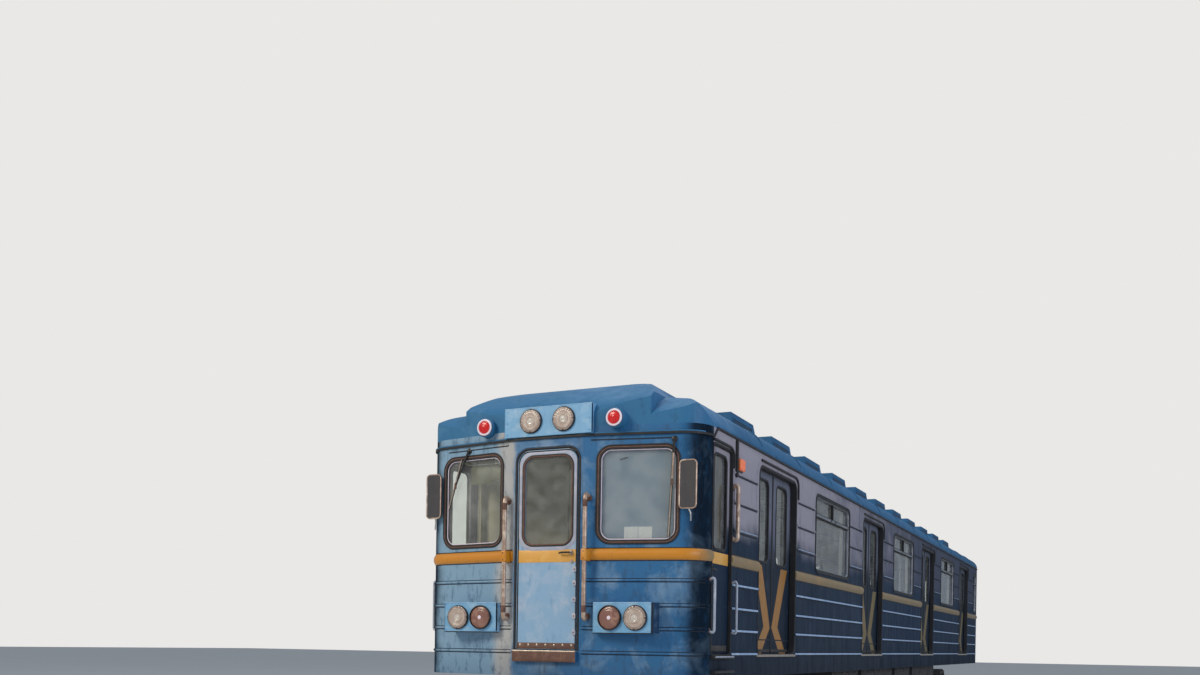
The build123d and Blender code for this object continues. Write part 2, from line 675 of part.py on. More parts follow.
def hinged_leaf(width, bottom, top, thick, corner):
    """Leaf in its own frame: hinge jamb at X = 0, outer face at Y = 0, inwards is +Y."""
    leaf = block((HINGED_GAP, width - FREE_EDGE_GAP), (0, thick), (bottom + HINGED_GAP, top - HINGED_GAP))
    if corner:
        leaf = fillet(leaf.edges().filter_by(Axis.Y).group_by(Axis.Z)[-1], corner)
    for z in hinge_heights(bottom, top):
        pivot = (PIVOT_INSET, thick + PIVOT_STAND)
        sleeve = tube_z(KNUCKLE_RADIUS, *pivot, (z - KNUCKLE_HALF, z + KNUCKLE_HALF))
        tab = block((pivot[0] - 6, pivot[0] + 6), (thick - 2, pivot[1]), (z - KNUCKLE_HALF, z + KNUCKLE_HALF))
        bore = tube_z(HINGE_PIN_RADIUS + JOURNAL_FIT, *pivot, (z - KNUCKLE_HALF, z + KNUCKLE_HALF))
        leaf = leaf + sleeve + tab - bore
    return leaf


def hinge_fixed_half(width, bottom, top, thick):
    """Pins, caps and tabs of the same two hinges, fixed to the jamb at X = 0."""
    pieces = []
    for z in hinge_heights(bottom, top):
        pivot = (PIVOT_INSET, thick + PIVOT_STAND)
        low = z - KNUCKLE_HALF - LEAF_RUN_GAP
        high = z + KNUCKLE_HALF + LEAF_RUN_GAP
        pin = tube_z(HINGE_PIN_RADIUS, *pivot, (low - CAP_HEIGHT, high + CAP_HEIGHT))
        for cap in ((low - CAP_HEIGHT, low), (high, high + CAP_HEIGHT)):
            pin = pin + tube_z(KNUCKLE_RADIUS, *pivot, cap)
            pin = pin + block((-TAB_REACH, pivot[0]), (thick + TAB_CLEAR, pivot[1] + 7), cap)
        pieces.append(pin)
    return pieces


def pane_hole(width, pane_width, pane_low, pane_high, corner, thick, slack):
    """Round-cornered prism through a leaf, less the slack all round."""
    return pane_y(pane_width - 2 * slack, pane_low + slack, pane_high - slack, corner - slack,
                  width / 2, thick / 2, thick + 40)


class HingedDoor:
    """A leaf, its pane and its fixed hinge halves, drawn in one frame and placed by one location."""

    def __init__(self, place, width, bottom, top, thick, pane=None, corner=0.0):
        leaf = hinged_leaf(width, bottom, top, thick, corner)
        self.glass = None
        if pane:
            leaf -= pane_hole(width, *pane, thick, 0.0)
            slab = block((0, width), (thick / 2 - PANE_THICK / 2, thick / 2 + PANE_THICK / 2), (bottom, top))
            self.glass = place * (pane_hole(width, *pane, thick, PANE_FIT) & slab)
        self.leaf = place * leaf
        self.fixed = [place * piece for piece in hinge_fixed_half(width, bottom, top, thick)]


def front_door():
    """Centre door of the nose, hinged on the car's right, opening into the cab."""
    place = Location((-FRONT_DOOR_WIDTH / 2, FRONT_Y + DOOR_SET_BACK, 0))
    pane = (FRONT_PANE_WIDTH, FRONT_PANE_BOTTOM, FRONT_PANE_TOP, FRONT_PANE_CORNER)
    return HingedDoor(place, FRONT_DOOR_WIDTH, FRONT_DOOR_BOTTOM, FRONT_DOOR_TOP, FRONT_DOOR_THICK, pane,
                      FRONT_DOOR_CORNER)


def rear_door():
    """End door of the saloon, opening inwards."""
    place = Location((FRONT_DOOR_WIDTH / 2, REAR_Y - DOOR_SET_BACK, 0), (0, 0, 180))
    pane = (FRONT_PANE_WIDTH, FRONT_PANE_BOTTOM, FRONT_PANE_TOP, DOOR_PANE_CORNER)
    return HingedDoor(place, FRONT_DOOR_WIDTH, FRONT_DOOR_BOTTOM, FRONT_DOOR_TOP, FRONT_DOOR_THICK, pane)


def bulkhead_door():
    """Door between cab and saloon, opening into the saloon."""
    place = Location((-FRONT_DOOR_WIDTH / 2, FRONT_Y + BULKHEAD_Y + DOOR_SET_BACK, 0))
    return HingedDoor(place, FRONT_DOOR_WIDTH, FRONT_DOOR_BOTTOM, FRONT_DOOR_TOP, FRONT_DOOR_THICK)


def cab_door_right():
    """Crew door in the right wall, hinged at its rear edge, opening into the cab."""
    place = Location((-(HALF_WIDTH - CAB_DOOR_RECESS), CAB_DOOR_HIGH, 0), (0, 0, -90))
    pane = (CAB_PANE_WIDTH, LEAF_PANE_BOTTOM, CAB_PANE_TOP, DOOR_PANE_CORNER)
    return HingedDoor(place, CAB_DOOR_WIDTH, FLOOR_TOP, CAB_DOOR_TOP, CAB_DOOR_THICK, pane)


def ceiling_face(base, drop):
    """Cross-section of the room inside, from the given base up to the ceiling less a drop."""
    side = LINING_FACE - drop
    spring = EAVE + CEILING_SPRING - drop
    return make_face([
        Line((-side, base), (side, base)),
        Line((side, base), (side, spring)),
        ThreePointArc((side, spring), (0, CEILING - drop), (-side, spring)),
        Line((-side, spring), (-side, base)),
    ])


def across(y):
    """Drawing plane across the car at y: X to the left side, Y of the plane is up."""
    return Plane(origin=(0, y, 0), x_dir=(1, 0, 0), z_dir=(0, -1, 0))


def bulkhead():
    """Wall between cab and saloon with its doorway."""
    low = FRONT_Y + BULKHEAD_Y
    wall = extrude(across(low) * ceiling_face(FLOOR_TOP, LEAF_RUN_GAP), -BULKHEAD_THICK)
    opening = block((-FRONT_DOOR_WIDTH / 2, FRONT_DOOR_WIDTH / 2), (low - 10, low + BULKHEAD_THICK + 10),
                    (FRONT_DOOR_BOTTOM, FRONT_DOOR_TOP))
    return wall - opening


def leaves(side_way, slide_way):
    """The four passenger leaves of one side that slide the same way, and their panes."""
    plates, panes = [], []
    for y in DOORWAYS:
        inner = y + slide_way * SEAM_HALF_GAP
        outer = y + slide_way * LEAF_WIDTH
        x = (LEAF_CENTRE_X - LEAF_THICK / 2, LEAF_CENTRE_X + LEAF_THICK / 2)
        plate = block(x, (min(inner, outer), max(inner, outer)), (FLOOR_TOP + LEAF_RUN_GAP, LEAF_TOP))
        middle = y + slide_way * DOORWAY_WIDTH / 4
        hole = (LEAF_PANE_WIDTH, LEAF_PANE_BOTTOM, LEAF_PANE_TOP, LEAF_PANE_CORNER)
        plate -= pane_x(*hole, LEAF_CENTRE_X, middle, LEAF_THICK + 20)
        pane = pane_x(LEAF_PANE_WIDTH - 2 * PANE_FIT, LEAF_PANE_BOTTOM + PANE_FIT, LEAF_PANE_TOP - PANE_FIT,
                      LEAF_PANE_CORNER - PANE_FIT, LEAF_CENTRE_X, middle, PANE_THICK)
        plates.append(plate if side_way > 0 else mirror_x(plate))
        panes.append(pane if side_way > 0 else mirror_x(pane))
    return group(plates), group(panes)


def side_panes():
    """Fixed panes of the passenger windows and the narrow end windows, behind their rubbers."""
    x = HALF_WIDTH - RUBBER_DEPTH - PANE_THICK / 2
    panes = []
    for y, width in WINDOW_TABLE:
        panes.append(pane_x(width - 2 * PANE_FIT, WINDOW_BOTTOM + PANE_FIT, WINDOW_TOP - PANE_FIT,
                            WINDOW_CORNER - PANE_FIT, x, y, PANE_THICK))
    return panes


def nose_panes():
    """Left cab front pane, bent to the swept panel."""
    layer = extrude(body_plan(NOSE_PANE_DEPTH) - body_plan(NOSE_PANE_DEPTH + PANE_THICK), EAVE)
    prism = pane_y(CAB_WINDOW_WIDTH - 2 * PANE_FIT, CAB_WINDOW_BOTTOM + PANE_FIT, CAB_WINDOW_TOP - PANE_FIT,
                   CAB_WINDOW_CORNER - PANE_FIT, CAB_WINDOW_CENTRE, FRONT_Y, 600)
    return layer & prism


def body_glass():
    """All fixed glass of the body shell."""
    panes = []
    for pane in side_panes() + [nose_panes()]:
        panes += [pane, mirror_x(pane)]
    return group(panes)


def window_rubbers():
    """Rubber frames with the vent rail and its divider, and the frames of the cab windows."""
    x = HALF_WIDTH - RUBBER_DEPTH / 2 + RUBBER_PROUD / 2
    depth = RUBBER_DEPTH + RUBBER_PROUD
    frames = []
    for y, width in WINDOW_TABLE:
        outer = pane_x(width, WINDOW_BOTTOM, WINDOW_TOP, WINDOW_CORNER, x, y, depth)
        inner = pane_x(width - 2 * WINDOW_RUBBER, WINDOW_BOTTOM + WINDOW_RUBBER, WINDOW_TOP - WINDOW_RUBBER,
                       WINDOW_CORNER - WINDOW_RUBBER, x, y, depth + 10)
        frame = outer - inner
        rail = (TRANSOM_BOTTOM, TRANSOM_BOTTOM + TRANSOM_HEIGHT)
        frame += block((x - depth / 2, x + depth / 2 - 8), (y - width / 2 + 20, y + width / 2 - 20), rail)
        if width > END_WINDOW_WIDTH:
            upper = (rail[0], WINDOW_TOP - WINDOW_RUBBER + 5)
            frame += block((x - depth / 2, x + depth / 2 - 8), (y - MULLION_WIDTH / 2, y + MULLION_WIDTH / 2), upper)
        frames += [frame, mirror_x(frame)]
    layer = extrude(body_plan(-RUBBER_PROUD) - body_plan(NOSE_PANE_DEPTH), EAVE)
    outer = pane_y(CAB_WINDOW_WIDTH, CAB_WINDOW_BOTTOM, CAB_WINDOW_TOP, CAB_WINDOW_CORNER,
                   CAB_WINDOW_CENTRE, FRONT_Y, 600)
    inner = pane_y(CAB_WINDOW_WIDTH - 2 * WINDOW_RUBBER, CAB_WINDOW_BOTTOM + WINDOW_RUBBER,
                   CAB_WINDOW_TOP - WINDOW_RUBBER, CAB_WINDOW_CORNER - WINDOW_RUBBER,
                   CAB_WINDOW_CENTRE, FRONT_Y, 620)
    frame = layer & (outer - inner)
    frames += [frame, mirror_x(frame)]
    return group(frames)


def seats():
    """Long benches with backs along both walls, clear of the door pockets' openings."""
    profile = make_face(Polyline(
        (LINING_FACE - 1, FLOOR_TOP), (LINING_FACE - 380, FLOOR_TOP), (LINING_FACE - SEAT_DEPTH, SEAT_TOP - 90),
        (LINING_FACE - SEAT_DEPTH, SEAT_TOP), (LINING_FACE - 110, SEAT_TOP - 25), (LINING_FACE - 70, SEAT_BACK_TOP),
        (LINING_FACE - 1, SEAT_BACK_TOP), close=True))
    benches = []
    for start, end in BENCH_RUNS:
        bench = extrude(across(start) * profile, start - end)
        benches += [bench, mirror_x(bench)]
    return group(benches)


def grab_rails():
    """Overhead rail along each side of the aisle on posts at the bench ends."""
    x = LINING_FACE - SEAT_DEPTH - GRAB_RADIUS - 6
    ends = (FRONT_Y + BULKHEAD_Y + BULKHEAD_THICK + 60, REAR_SEAM - 60)
    rail = tube_y(GRAB_RADIUS, x, ends, GRAB_HEIGHT)
    for start, end in BENCH_RUNS:
        for y in (start + 40, end - 40):
            rail += tube_z(GRAB_RADIUS, x, y, (FLOOR_TOP, CEILING))
    rail -= nodes["roof"]
    return group([rail, mirror_x(rail)])


def lamp_body(radius, x, z, face, proud):
    """Round lamp with an eased rim, standing forward of the face at y."""
    body = Cylinder(radius, proud, align=(Align.CENTER, Align.CENTER, Align.MIN))
    rim = body.edges().filter_by(GeomType.CIRCLE).sort_by(Axis.Z)[-1]
    body = chamfer(rim, proud * 0.4)
    return Pos(x, face, z) * Rot(90, 0, 0) * body


def nose_solid():
    """Filled outline of the nose, used to seat what stands on it."""
    return extrude(body_plan(), EAVE)


def lamp_boxes():
    """Two lamp boxes on the apron and the wedge for the upper lamps, seated on the nose."""
    face = FRONT_Y - LAMP_BOX_PROUD
    low = block((LAMP_BOX_INNER, LAMP_BOX_OUTER), (face, FRONT_Y + 250), (LAMP_BOX_BOTTOM, LAMP_BOX_TOP))
    low = low - nose_solid() - nodes["front_mask"]
    top = block((-TOP_BOX_HALF, TOP_BOX_HALF), (FRONT_Y - TOP_BOX_PROUD, FRONT_Y + 280),
                (TOP_BOX_BOTTOM, TOP_BOX_TOP))
    top = top - nose_solid() - nodes["roof"] - nodes["gutters"]
    return group([low, mirror_x(low), top])


def headlamps():
    """Four lower lamps and two upper ones on the faces of their boxes."""
    lamps = []
    for x in (LAMP_INNER, LAMP_OUTER):
        lamp = lamp_body(LAMP_RADIUS, x, LAMP_HEIGHT, FRONT_Y - LAMP_BOX_PROUD, LAMP_PROUD)
        lamps += [lamp, mirror_x(lamp)]
    top = lamp_body(LAMP_RADIUS, TOP_LAMP, TOP_LAMP_HEIGHT, FRONT_Y - TOP_BOX_PROUD, LAMP_PROUD)
    return group(lamps + [top, mirror_x(top)])


def marker_lamps():
    """Red marker lamps beside the upper lamp box."""
    lamp = tube_y(MARKER_RADIUS, MARKER_CENTRE, (FRONT_Y - 18, FRONT_Y + 150), MARKER_HEIGHT)
    lamp = lamp - nodes["roof"] - nose_solid()
    return group([lamp, mirror_x(lamp)])


def handrail(x, y, z, reach, radius):
    """Upright rail whose two ends bend back to the wall, by reach along X and Y."""
    low = z[0] + radius
    high = z[1] - radius
    foot = (x + reach[0], y + reach[1])
    path = FilletPolyline((*foot, low), (x, y, low), (x, y, high), (*foot, high), radius=RAIL_BEND)
    place = Plane(origin=path @ 0, z_dir=path % 0)
    return sweep(place * Circle(radius), path=path)


def handrails():
    """Rails beside the front door and both crew doors."""
    nose = handrail(NOSE_RAIL, FRONT_Y - RAIL_STAND, (NOSE_RAIL_BOTTOM, NOSE_RAIL_TOP), (0, RAIL_STAND + 30),
                    RAIL_RADIUS)
    x = HALF_WIDTH + SIDE_RAIL_STAND
    inwards = (-SIDE_RAIL_STAND - 12, 0)
    sides = [
        handrail(x, CAB_DOOR_LOW - SIDE_RAIL_INSET, SIDE_RAIL_LOW, inwards, THIN_RAIL_RADIUS),
        handrail(x, CAB_DOOR_HIGH + SIDE_RAIL_INSET, SIDE_RAIL_LOW, inwards, THIN_RAIL_RADIUS),
        handrail(x, CAB_DOOR_HIGH + SIDE_RAIL_INSET, SIDE_RAIL_HIGH, inwards, RAIL_RADIUS),
    ]
    rails = []
    for rail in [nose] + sides:
        rail = rail - nodes["front_mask"] - nodes["side_wall_left"]
        rails += [rail, mirror_x(rail)]
    return group(rails)


def mirrors():
    """Rear-view mirrors on two arms at the nose corners."""
    y = FRONT_Y + MIRROR_STAND
    top = MIRROR_BOTTOM + MIRROR_HEIGHT
    glass = pane_y(MIRROR_WIDTH, MIRROR_BOTTOM, top, 40, MIRROR_CENTRE, y, MIRROR_THICK)
    for z in (MIRROR_BOTTOM + 60, top - 60):
        glass += tube_y(MIRROR_ARM, MIRROR_CENTRE - 20, (y, y + MIRROR_REACH), z)
    arm = glass - nose_solid()
    return group([arm, mirror_x(arm)])


def wipers():
    """One wiper on each cab window: boss, arm and blade on the swept panel."""
    sweep_angle = radians(NOSE_SWEEP)
    made = []
    width = CAB_WINDOW_WIDTH
    height = CAB_WINDOW_TOP - CAB_WINDOW_BOTTOM
    # side, then pivot, arm end, blade top and blade bottom, each from the middle of the window's top edge,
    # across as a share of its width and up as a share of its height
    table = (
        (1, (-0.032, 0.045), (0.446, -0.246), (0.444, -0.044), (0.418, -0.924)),
        (-1, (0.066, 0.045), (0.277, -0.317), (0.186, -0.044), (0.390, -0.555)),
    )
    for side, *shares in table:
        pivot, elbow, top, bottom = (
            (CAB_WINDOW_CENTRE + across_share * width, CAB_WINDOW_TOP + up_share * height)
            for across_share, up_share in shares
        )
        y = FRONT_Y + (pivot[0] - NOSE_FLAT) * tan(sweep_angle)
        plane = Plane(origin=(pivot[0], y, 0), x_dir=(cos(sweep_angle), sin(sweep_angle), 0),
                      z_dir=(sin(sweep_angle), -cos(sweep_angle), 0))
        boss = extrude(plane * Pos(0, pivot[1]) * Circle(WIPER_BOSS), WIPER_STAND + WIPER_THICK)
        arm = wiper_bar(plane, (0, pivot[1]), (elbow[0] - pivot[0], elbow[1]), WIPER_ARM)
        blade = wiper_bar(plane, (top[0] - pivot[0], top[1]), (bottom[0] - pivot[0], bottom[1]), WIPER_BLADE)
        wiper = boss + arm + blade
        made.append(wiper if side > 0 else mirror_x(wiper))
    return group(made)


def wiper_bar(plane, start, end, width):
    """Flat bar between two points of the plane, standing off the panel."""
    path = Line(start, end)
    middle = path @ 0.5
    angle = path.tangent_angle_at(0.5)
    bar = plane * (Pos(middle.X, middle.Y, WIPER_STAND) * Rot(0, 0, angle) * Rectangle(path.length, width))
    return extrude(bar, WIPER_THICK)


def cab_fittings():
    """Driver's desk under the right front window and the driver's seat behind it."""
    desk_side = Plane.YZ * make_face(Polyline(
        (DESK_FRONT, FLOOR_TOP), (DESK_FOOT, FLOOR_TOP), DESK_KNEE, DESK_EDGE, DESK_RIDGE,
        (DESK_FRONT, DESK_TOP), close=True))
    desk = Pos(DESK_WIDTH / 2 - DESK_OUTER, FRONT_Y, 0) * extrude(desk_side, DESK_WIDTH / 2, both=True)
    room = Pos(0, 0, FLOOR_TOP) * extrude(body_plan(MASK_WALL + LEAF_RUN_GAP), EAVE - FLOOR_TOP)
    desk &= room
    x = -SEAT_CENTRE_X
    start, end = (FRONT_Y + place for place in CUSHION_RUN)
    post = tube_z(SEAT_POST[1], x, FRONT_Y + SEAT_POST[0], (FLOOR_TOP, CUSHION_LOW))
    cushion = block((x - CUSHION_HALF, x + CUSHION_HALF), (start, end), (CUSHION_LOW, CUSHION_HIGH))
    back = block((x - SEAT_BACK_HALF, x + SEAT_BACK_HALF), (end - SEAT_BACK_THICK, end),
                 (CUSHION_HIGH, DRIVER_BACK_TOP))
    return group([desk, post + cushion + back])


def repeater_lamps():
    """Small square lamp on each side just behind the crew door."""
    start = FRONT_Y + REPEATER_FRONT
    lamp = block((HALF_WIDTH, HALF_WIDTH + REPEATER_PROUD), (start, start + REPEATER_WIDTH),
                 (REPEATER_BOTTOM, REPEATER_TOP))
    lamp = chamfer(lamp.faces().sort_by(Axis.X)[-1].edges(), REPEATER_BEVEL)
    return group([lamp, mirror_x(lamp)])


def equipment_boxes():
    """Closed equipment cases hung under the sills between the bogies."""
    cases = []
    # side, start and length as shares of half the room between the bogies, share of the full depth
    table = (
        (1, -1.00, 0.361, 0.919), (1, -0.59, 0.530, 1.0), (1, 0.00, 0.313, 0.871), (1, 0.373, 0.554, 0.968),
        (-1, -0.976, 0.506, 0.968), (-1, -0.41, 0.289, 0.855), (-1, -0.06, 0.578, 1.0), (-1, 0.578, 0.361, 0.919),
    )
    for side, start, length, depth in table:
        case = block((CASE_OUTER - CASE_WIDTH, CASE_OUTER), (start * CASE_ROOM, (start + length) * CASE_ROOM),
                     (SKIRT_BOTTOM - depth * CASE_DEPTH, SKIRT_BOTTOM))
        case = chamfer(case.edges().filter_by(Axis.Y).group_by(Axis.Z)[0], CASE_BEVEL)
        cases.append(case if side > 0 else mirror_x(case))
    return group(cases)


def air_tanks():
    """Air reservoirs along the centre line with saddles up to the centre sill."""
    tanks = []
    for place in (-TANK_PLACE, 0, TANK_PLACE):
        y = place * CASE_ROOM
        tank = tube_y(TANK_RADIUS, TANK_X, (y - TANK_LENGTH / 2, y + TANK_LENGTH / 2), TANK_HEIGHT)
        tank = chamfer(tank.edges().filter_by(GeomType.CIRCLE), TANK_BEVEL)
        for saddle in (y - TANK_SADDLE, y + TANK_SADDLE):
            tank += block((SILL_NEAR, SILL_FAR), (saddle - SADDLE_HALF, saddle + SADDLE_HALF),
                          (TANK_HEIGHT, SKIRT_BOTTOM + 20))
        tanks += [tank, mirror_x(tank)]
    return group(tanks)


def bogie_side_beam():
    """Drop-centre side beam with its two axle boxes."""
    half = WHEELBASE / 2
    outline = make_face(Polyline(
        (-half - 330, FRAME_BEAM_BOTTOM + 40), (-half + 260, FRAME_BEAM_BOTTOM), (-430, DROP_BOTTOM),
        (430, DROP_BOTTOM), (half - 260, FRAME_BEAM_BOTTOM), (half + 330, FRAME_BEAM_BOTTOM + 40),
        (half + 330, FRAME_BEAM_TOP), (half - 330, FRAME_BEAM_TOP), (380, DROP_TOP),
        (-380, DROP_TOP), (-half + 330, FRAME_BEAM_TOP), (-half - 330, FRAME_BEAM_TOP), close=True))
    beam = Pos(FRAME_BEAM_CENTRE, 0, 0) * extrude(Plane.YZ * outline, FRAME_BEAM_WIDTH / 2, both=True)
    inner = FRAME_BEAM_CENTRE - FRAME_BEAM_WIDTH / 2
    for y in (-half, half):
        box = block((inner, AXLE_BOX_OUTER), (y - AXLE_BOX_SIZE / 2, y + AXLE_BOX_SIZE / 2),
                    (WHEEL_RADIUS - AXLE_BOX_SIZE / 2, FRAME_BEAM_BOTTOM + 60))
        beam += box
        beam -= tube_x(JOURNAL_RADIUS + JOURNAL_FIT, (inner - 20, AXLE_BOX_OUTER - AXLE_COVER), y, WHEEL_RADIUS)
    return beam


def bogie_frame(y):
    """Two side beams joined by two transoms."""
    beam = bogie_side_beam()
    frame = [beam, mirror_x(beam)]
    inner = FRAME_BEAM_CENTRE - FRAME_BEAM_WIDTH / 2 + 5
    for way in (-1, 1):
        frame.append(block((-inner, inner), (way * TRANSOM_NEAR, way * TRANSOM_FAR), (DROP_BOTTOM + 20, DROP_TOP)))
    return Pos(0, y, 0) * frame[0].fuse(*frame[1:])


def bolster(y):
    """Beam across the bogie that carries the body on its centre plate."""
    beam = block((-BOLSTER_LENGTH / 2, BOLSTER_LENGTH / 2), (-BOLSTER_WIDTH / 2, BOLSTER_WIDTH / 2),
                 (BOLSTER_BOTTOM, BOLSTER_TOP))
    beam = chamfer(beam.edges().filter_by(Axis.Y).group_by(Axis.Z)[-1], 40)
    beam -= tube_z(PIVOT_PIN_RADIUS + JOURNAL_FIT, 0, 0, (BOLSTER_BOTTOM - 5, BOLSTER_TOP + 5))
    return Pos(0, y, 0) * beam


def springs(y):
    """Four coil springs between the dropped beams and the bolster, as grooved barrels."""
    height = BOLSTER_BOTTOM - DROP_TOP
    pitch = height / SPRING_TURNS
    points = [(0, 0)]
    for k in range(SPRING_TURNS):
        z = k * pitch
        points += [(SPRING_RADIUS - SPRING_WIRE, z), (SPRING_RADIUS, z + pitch * 0.3), (SPRING_RADIUS, z + pitch * 0.7)]
    points += [(SPRING_RADIUS - SPRING_WIRE, height), (0, height)]
    barrel = revolve(Plane.XZ * make_face(Polyline(*points, close=True)), Axis.Z)
    made = []
    for x in (-FRAME_BEAM_CENTRE, FRAME_BEAM_CENTRE):
        for way in (-1, 1):
            made.append(Pos(x, y + way * SPRING_SPREAD, DROP_TOP) * barrel)
    return group(made)


def motors(y):
    """Two traction motors, each hung on a transom towards its own axle."""
    made = []
    for way in (-1, 1):
        middle = way * (TRANSOM_FAR + MOTOR_GAP + MOTOR_RADIUS)
        motor = tube_x(MOTOR_RADIUS, (-MOTOR_LENGTH / 2, MOTOR_LENGTH / 2), middle, MOTOR_HEIGHT)
        motor = chamfer(motor.edges().filter_by(GeomType.CIRCLE), MOTOR_BEVEL)
        foot = block((-MOTOR_FOOT_HALF, MOTOR_FOOT_HALF), (way * TRANSOM_FAR, middle), (DROP_BOTTOM + 40, DROP_TOP - 20))
        made.append(Pos(0, y, 0) * (motor + foot))
    return group(made)


def collectors(y):
    """Timber beams outside the axle boxes, each with a current-collector shoe."""
    face = AXLE_BOX_OUTER + BEAM_THICK
    knee = face + BRACKET_DEPTH
    shoe_bottom = COLLECTOR_HEIGHT - SHOE_DROP
    ends = WHEELBASE / 2 + BEAM_OVERHANG
    beam = block((AXLE_BOX_OUTER, face), (-ends, ends), (COLLECTOR_HEIGHT - BEAM_HALF, COLLECTOR_HEIGHT + BEAM_HALF))
    bracket = block((face, knee), (-BRACKET_HALF, BRACKET_HALF), (shoe_bottom, COLLECTOR_HEIGHT + BEAM_HALF / 2))
    shoe = block((knee, COLLECTOR_REACH), (-SHOE_HALF, SHOE_HALF), (shoe_bottom, shoe_bottom + SHOE_THICK))
    piece = beam + bracket + shoe
    return Pos(0, y, 0) * group([piece, mirror_x(piece)])


def wheelset(y):
    """Axle with both wheels as one turned solid: journals, seats, webs, treads and flanges."""
    back = GAUGE_BACKS / 2
    front = back + TYRE_WIDTH
    hub = back + TYRE_WIDTH - 15
    # radius and distance from the middle of the axle
    half = [
        (AXLE_RADIUS, 0), (AXLE_RADIUS, back - 30), (HUB_RADIUS, back - 20), (HUB_RADIUS, back + 30),
        (WHEEL_RADIUS - 75, back + 40), (WHEEL_RADIUS - 60, back), (WHEEL_RADIUS + FLANGE_DEPTH - 6, back),
        (WHEEL_RADIUS + FLANGE_DEPTH, back + 10), (WHEEL_RADIUS + FLANGE_DEPTH - 4, back + 20),
        (WHEEL_RADIUS + 2, back + FLANGE_WIDTH), (WHEEL_RADIUS, back + FLANGE_WIDTH + 12),
        (WHEEL_RADIUS - 3, front), (WHEEL_RADIUS - 60, front), (WHEEL_RADIUS - 75, back + 75),
        (HUB_RADIUS, back + 75), (HUB_RADIUS, hub), (JOURNAL_RADIUS, hub),
        (JOURNAL_RADIUS, AXLE_BOX_OUTER - AXLE_COVER - 4), (0, AXLE_BOX_OUTER - AXLE_COVER - 4), (0, 0),
    ]
    face = make_face(Polyline(*half, close=True))
    side = revolve(Plane.XY * face, Axis.Y)
    turned = Rot(0, 0, -90) * side
    return Pos(0, y, WHEEL_RADIUS) * (turned + mirror_x(turned))


def coupler():
    """Rear coupler: sleeve on its pin, draw bar and square head with guide cone and pocket."""
    pivot = REAR_Y - COUPLER_PIVOT_INSET
    face = OVER_COUPLERS / 2 - COUPLER_CONE
    low = COUPLER_HEIGHT - COUPLER_SLEEVE
    high = COUPLER_HEIGHT + COUPLER_SLEEVE
    piece = tube_z(95, 0, pivot, (low, high))
    piece += tube_y(55, 0, (pivot + 40, face - COUPLER_HEAD + 20), COUPLER_HEIGHT)
    head = block((-160, 160), (face - COUPLER_HEAD, face), (COUPLER_HEIGHT - 130, COUPLER_HEIGHT + 128))
    head = chamfer(head.edges().filter_by(Axis.Y), 30)
    cone = Pos(-85, face + COUPLER_CONE / 2, COUPLER_HEIGHT) * Rot(-90, 0, 0) * Cone(52, 28, COUPLER_CONE)
    pocket = tube_y(58, 85, (face - COUPLER_CONE - 15, face + 5), COUPLER_HEIGHT)
    piece = piece + head + cone - pocket
    return piece - tube_z(COUPLER_PIN_RADIUS + JOURNAL_FIT, 0, pivot, (low - 5, high + 5))


def write_out():
    """One file per piece, lifted so that the flanges stand at Z = 0."""
    os.makedirs("parts", exist_ok=True)
    for name, shape in nodes.items():
        lifted = [Pos(0, 0, FLANGE_DEPTH) * solid for solid in shape.solids()]
        export_step(group(lifted) if len(lifted) > 1 else lifted[0], f"parts/{name}.step")


doors = {
    "front_door": front_door(),
    "rear_door": rear_door(),
    "bulkhead_door": bulkhead_door(),
    "cab_door_right": cab_door_right(),
}
nodes["underframe"] = underframe()
nodes["front_mask"] = front_mask().fuse(*doors["front_door"].fixed)
nodes["rear_wall"] = rear_wall().fuse(*doors["rear_door"].fixed)
nodes["side_wall_left"] = side_wall().fuse(*[mirror_x(piece) for piece in doors["cab_door_right"].fixed])
nodes["side_wall_right"] = mirror_x(nodes["side_wall_left"])
nodes["roof"] = roof()
nodes["bulkhead"] = bulkhead().fuse(*doors["bulkhead_door"].fixed)
nodes["gutters"] = gutters()
nodes["belt_moulding"] = belt()
nodes["saloon_seats"] = seats()
nodes["grab_rails"] = grab_rails()
nodes["body_glass"] = body_glass()
nodes["window_rubbers"] = window_rubbers()
nodes["lamp_boxes"] = lamp_boxes()
nodes["headlamps"] = headlamps()
nodes["marker_lamps"] = marker_lamps()
nodes["handrails"] = handrails()
nodes["mirrors"] = mirrors()
nodes["wipers"] = wipers()
nodes["cab_fittings"] = cab_fittings()
nodes["repeater_lamps"] = repeater_lamps()
nodes["equipment_boxes"] = equipment_boxes()
nodes["air_tanks"] = air_tanks()
for name, door in doors.items():
    nodes[name] = door.leaf
    if door.glass:
        nodes[f"{name}_glass"] = door.glass
nodes["cab_door_left"] = mirror_x(nodes["cab_door_right"])
nodes["cab_door_left_glass"] = mirror_x(nodes["cab_door_right_glass"])
for side, side_way in SIDES:
    for end, slide_way in ENDS:
        plates, panes = leaves(side_way, slide_way)
        nodes[f"leaves_{side}_{end}"] = plates
        nodes[f"leaf_glass_{side}_{end}"] = panes
nodes["coupler_rear"] = coupler()
nodes["coupler_front"] = Rot(0, 0, 180) * nodes["coupler_rear"]
for end, way in ENDS:
    pivot_y = way * BOGIE_PIVOTS / 2
    nodes[f"bogie_frame_{end}"] = bogie_frame(pivot_y)
    nodes[f"bolster_{end}"] = bolster(pivot_y)
    nodes[f"springs_{end}"] = springs(pivot_y)
    nodes[f"motors_{end}"] = motors(pivot_y)
    nodes[f"collectors_{end}"] = collectors(pivot_y)
    for k, axle_way in enumerate((-1, 1), start=1):
        nodes[f"wheelset_{end}_{k}"] = wheelset(pivot_y + axle_way * WHEELBASE / 2)
write_out()
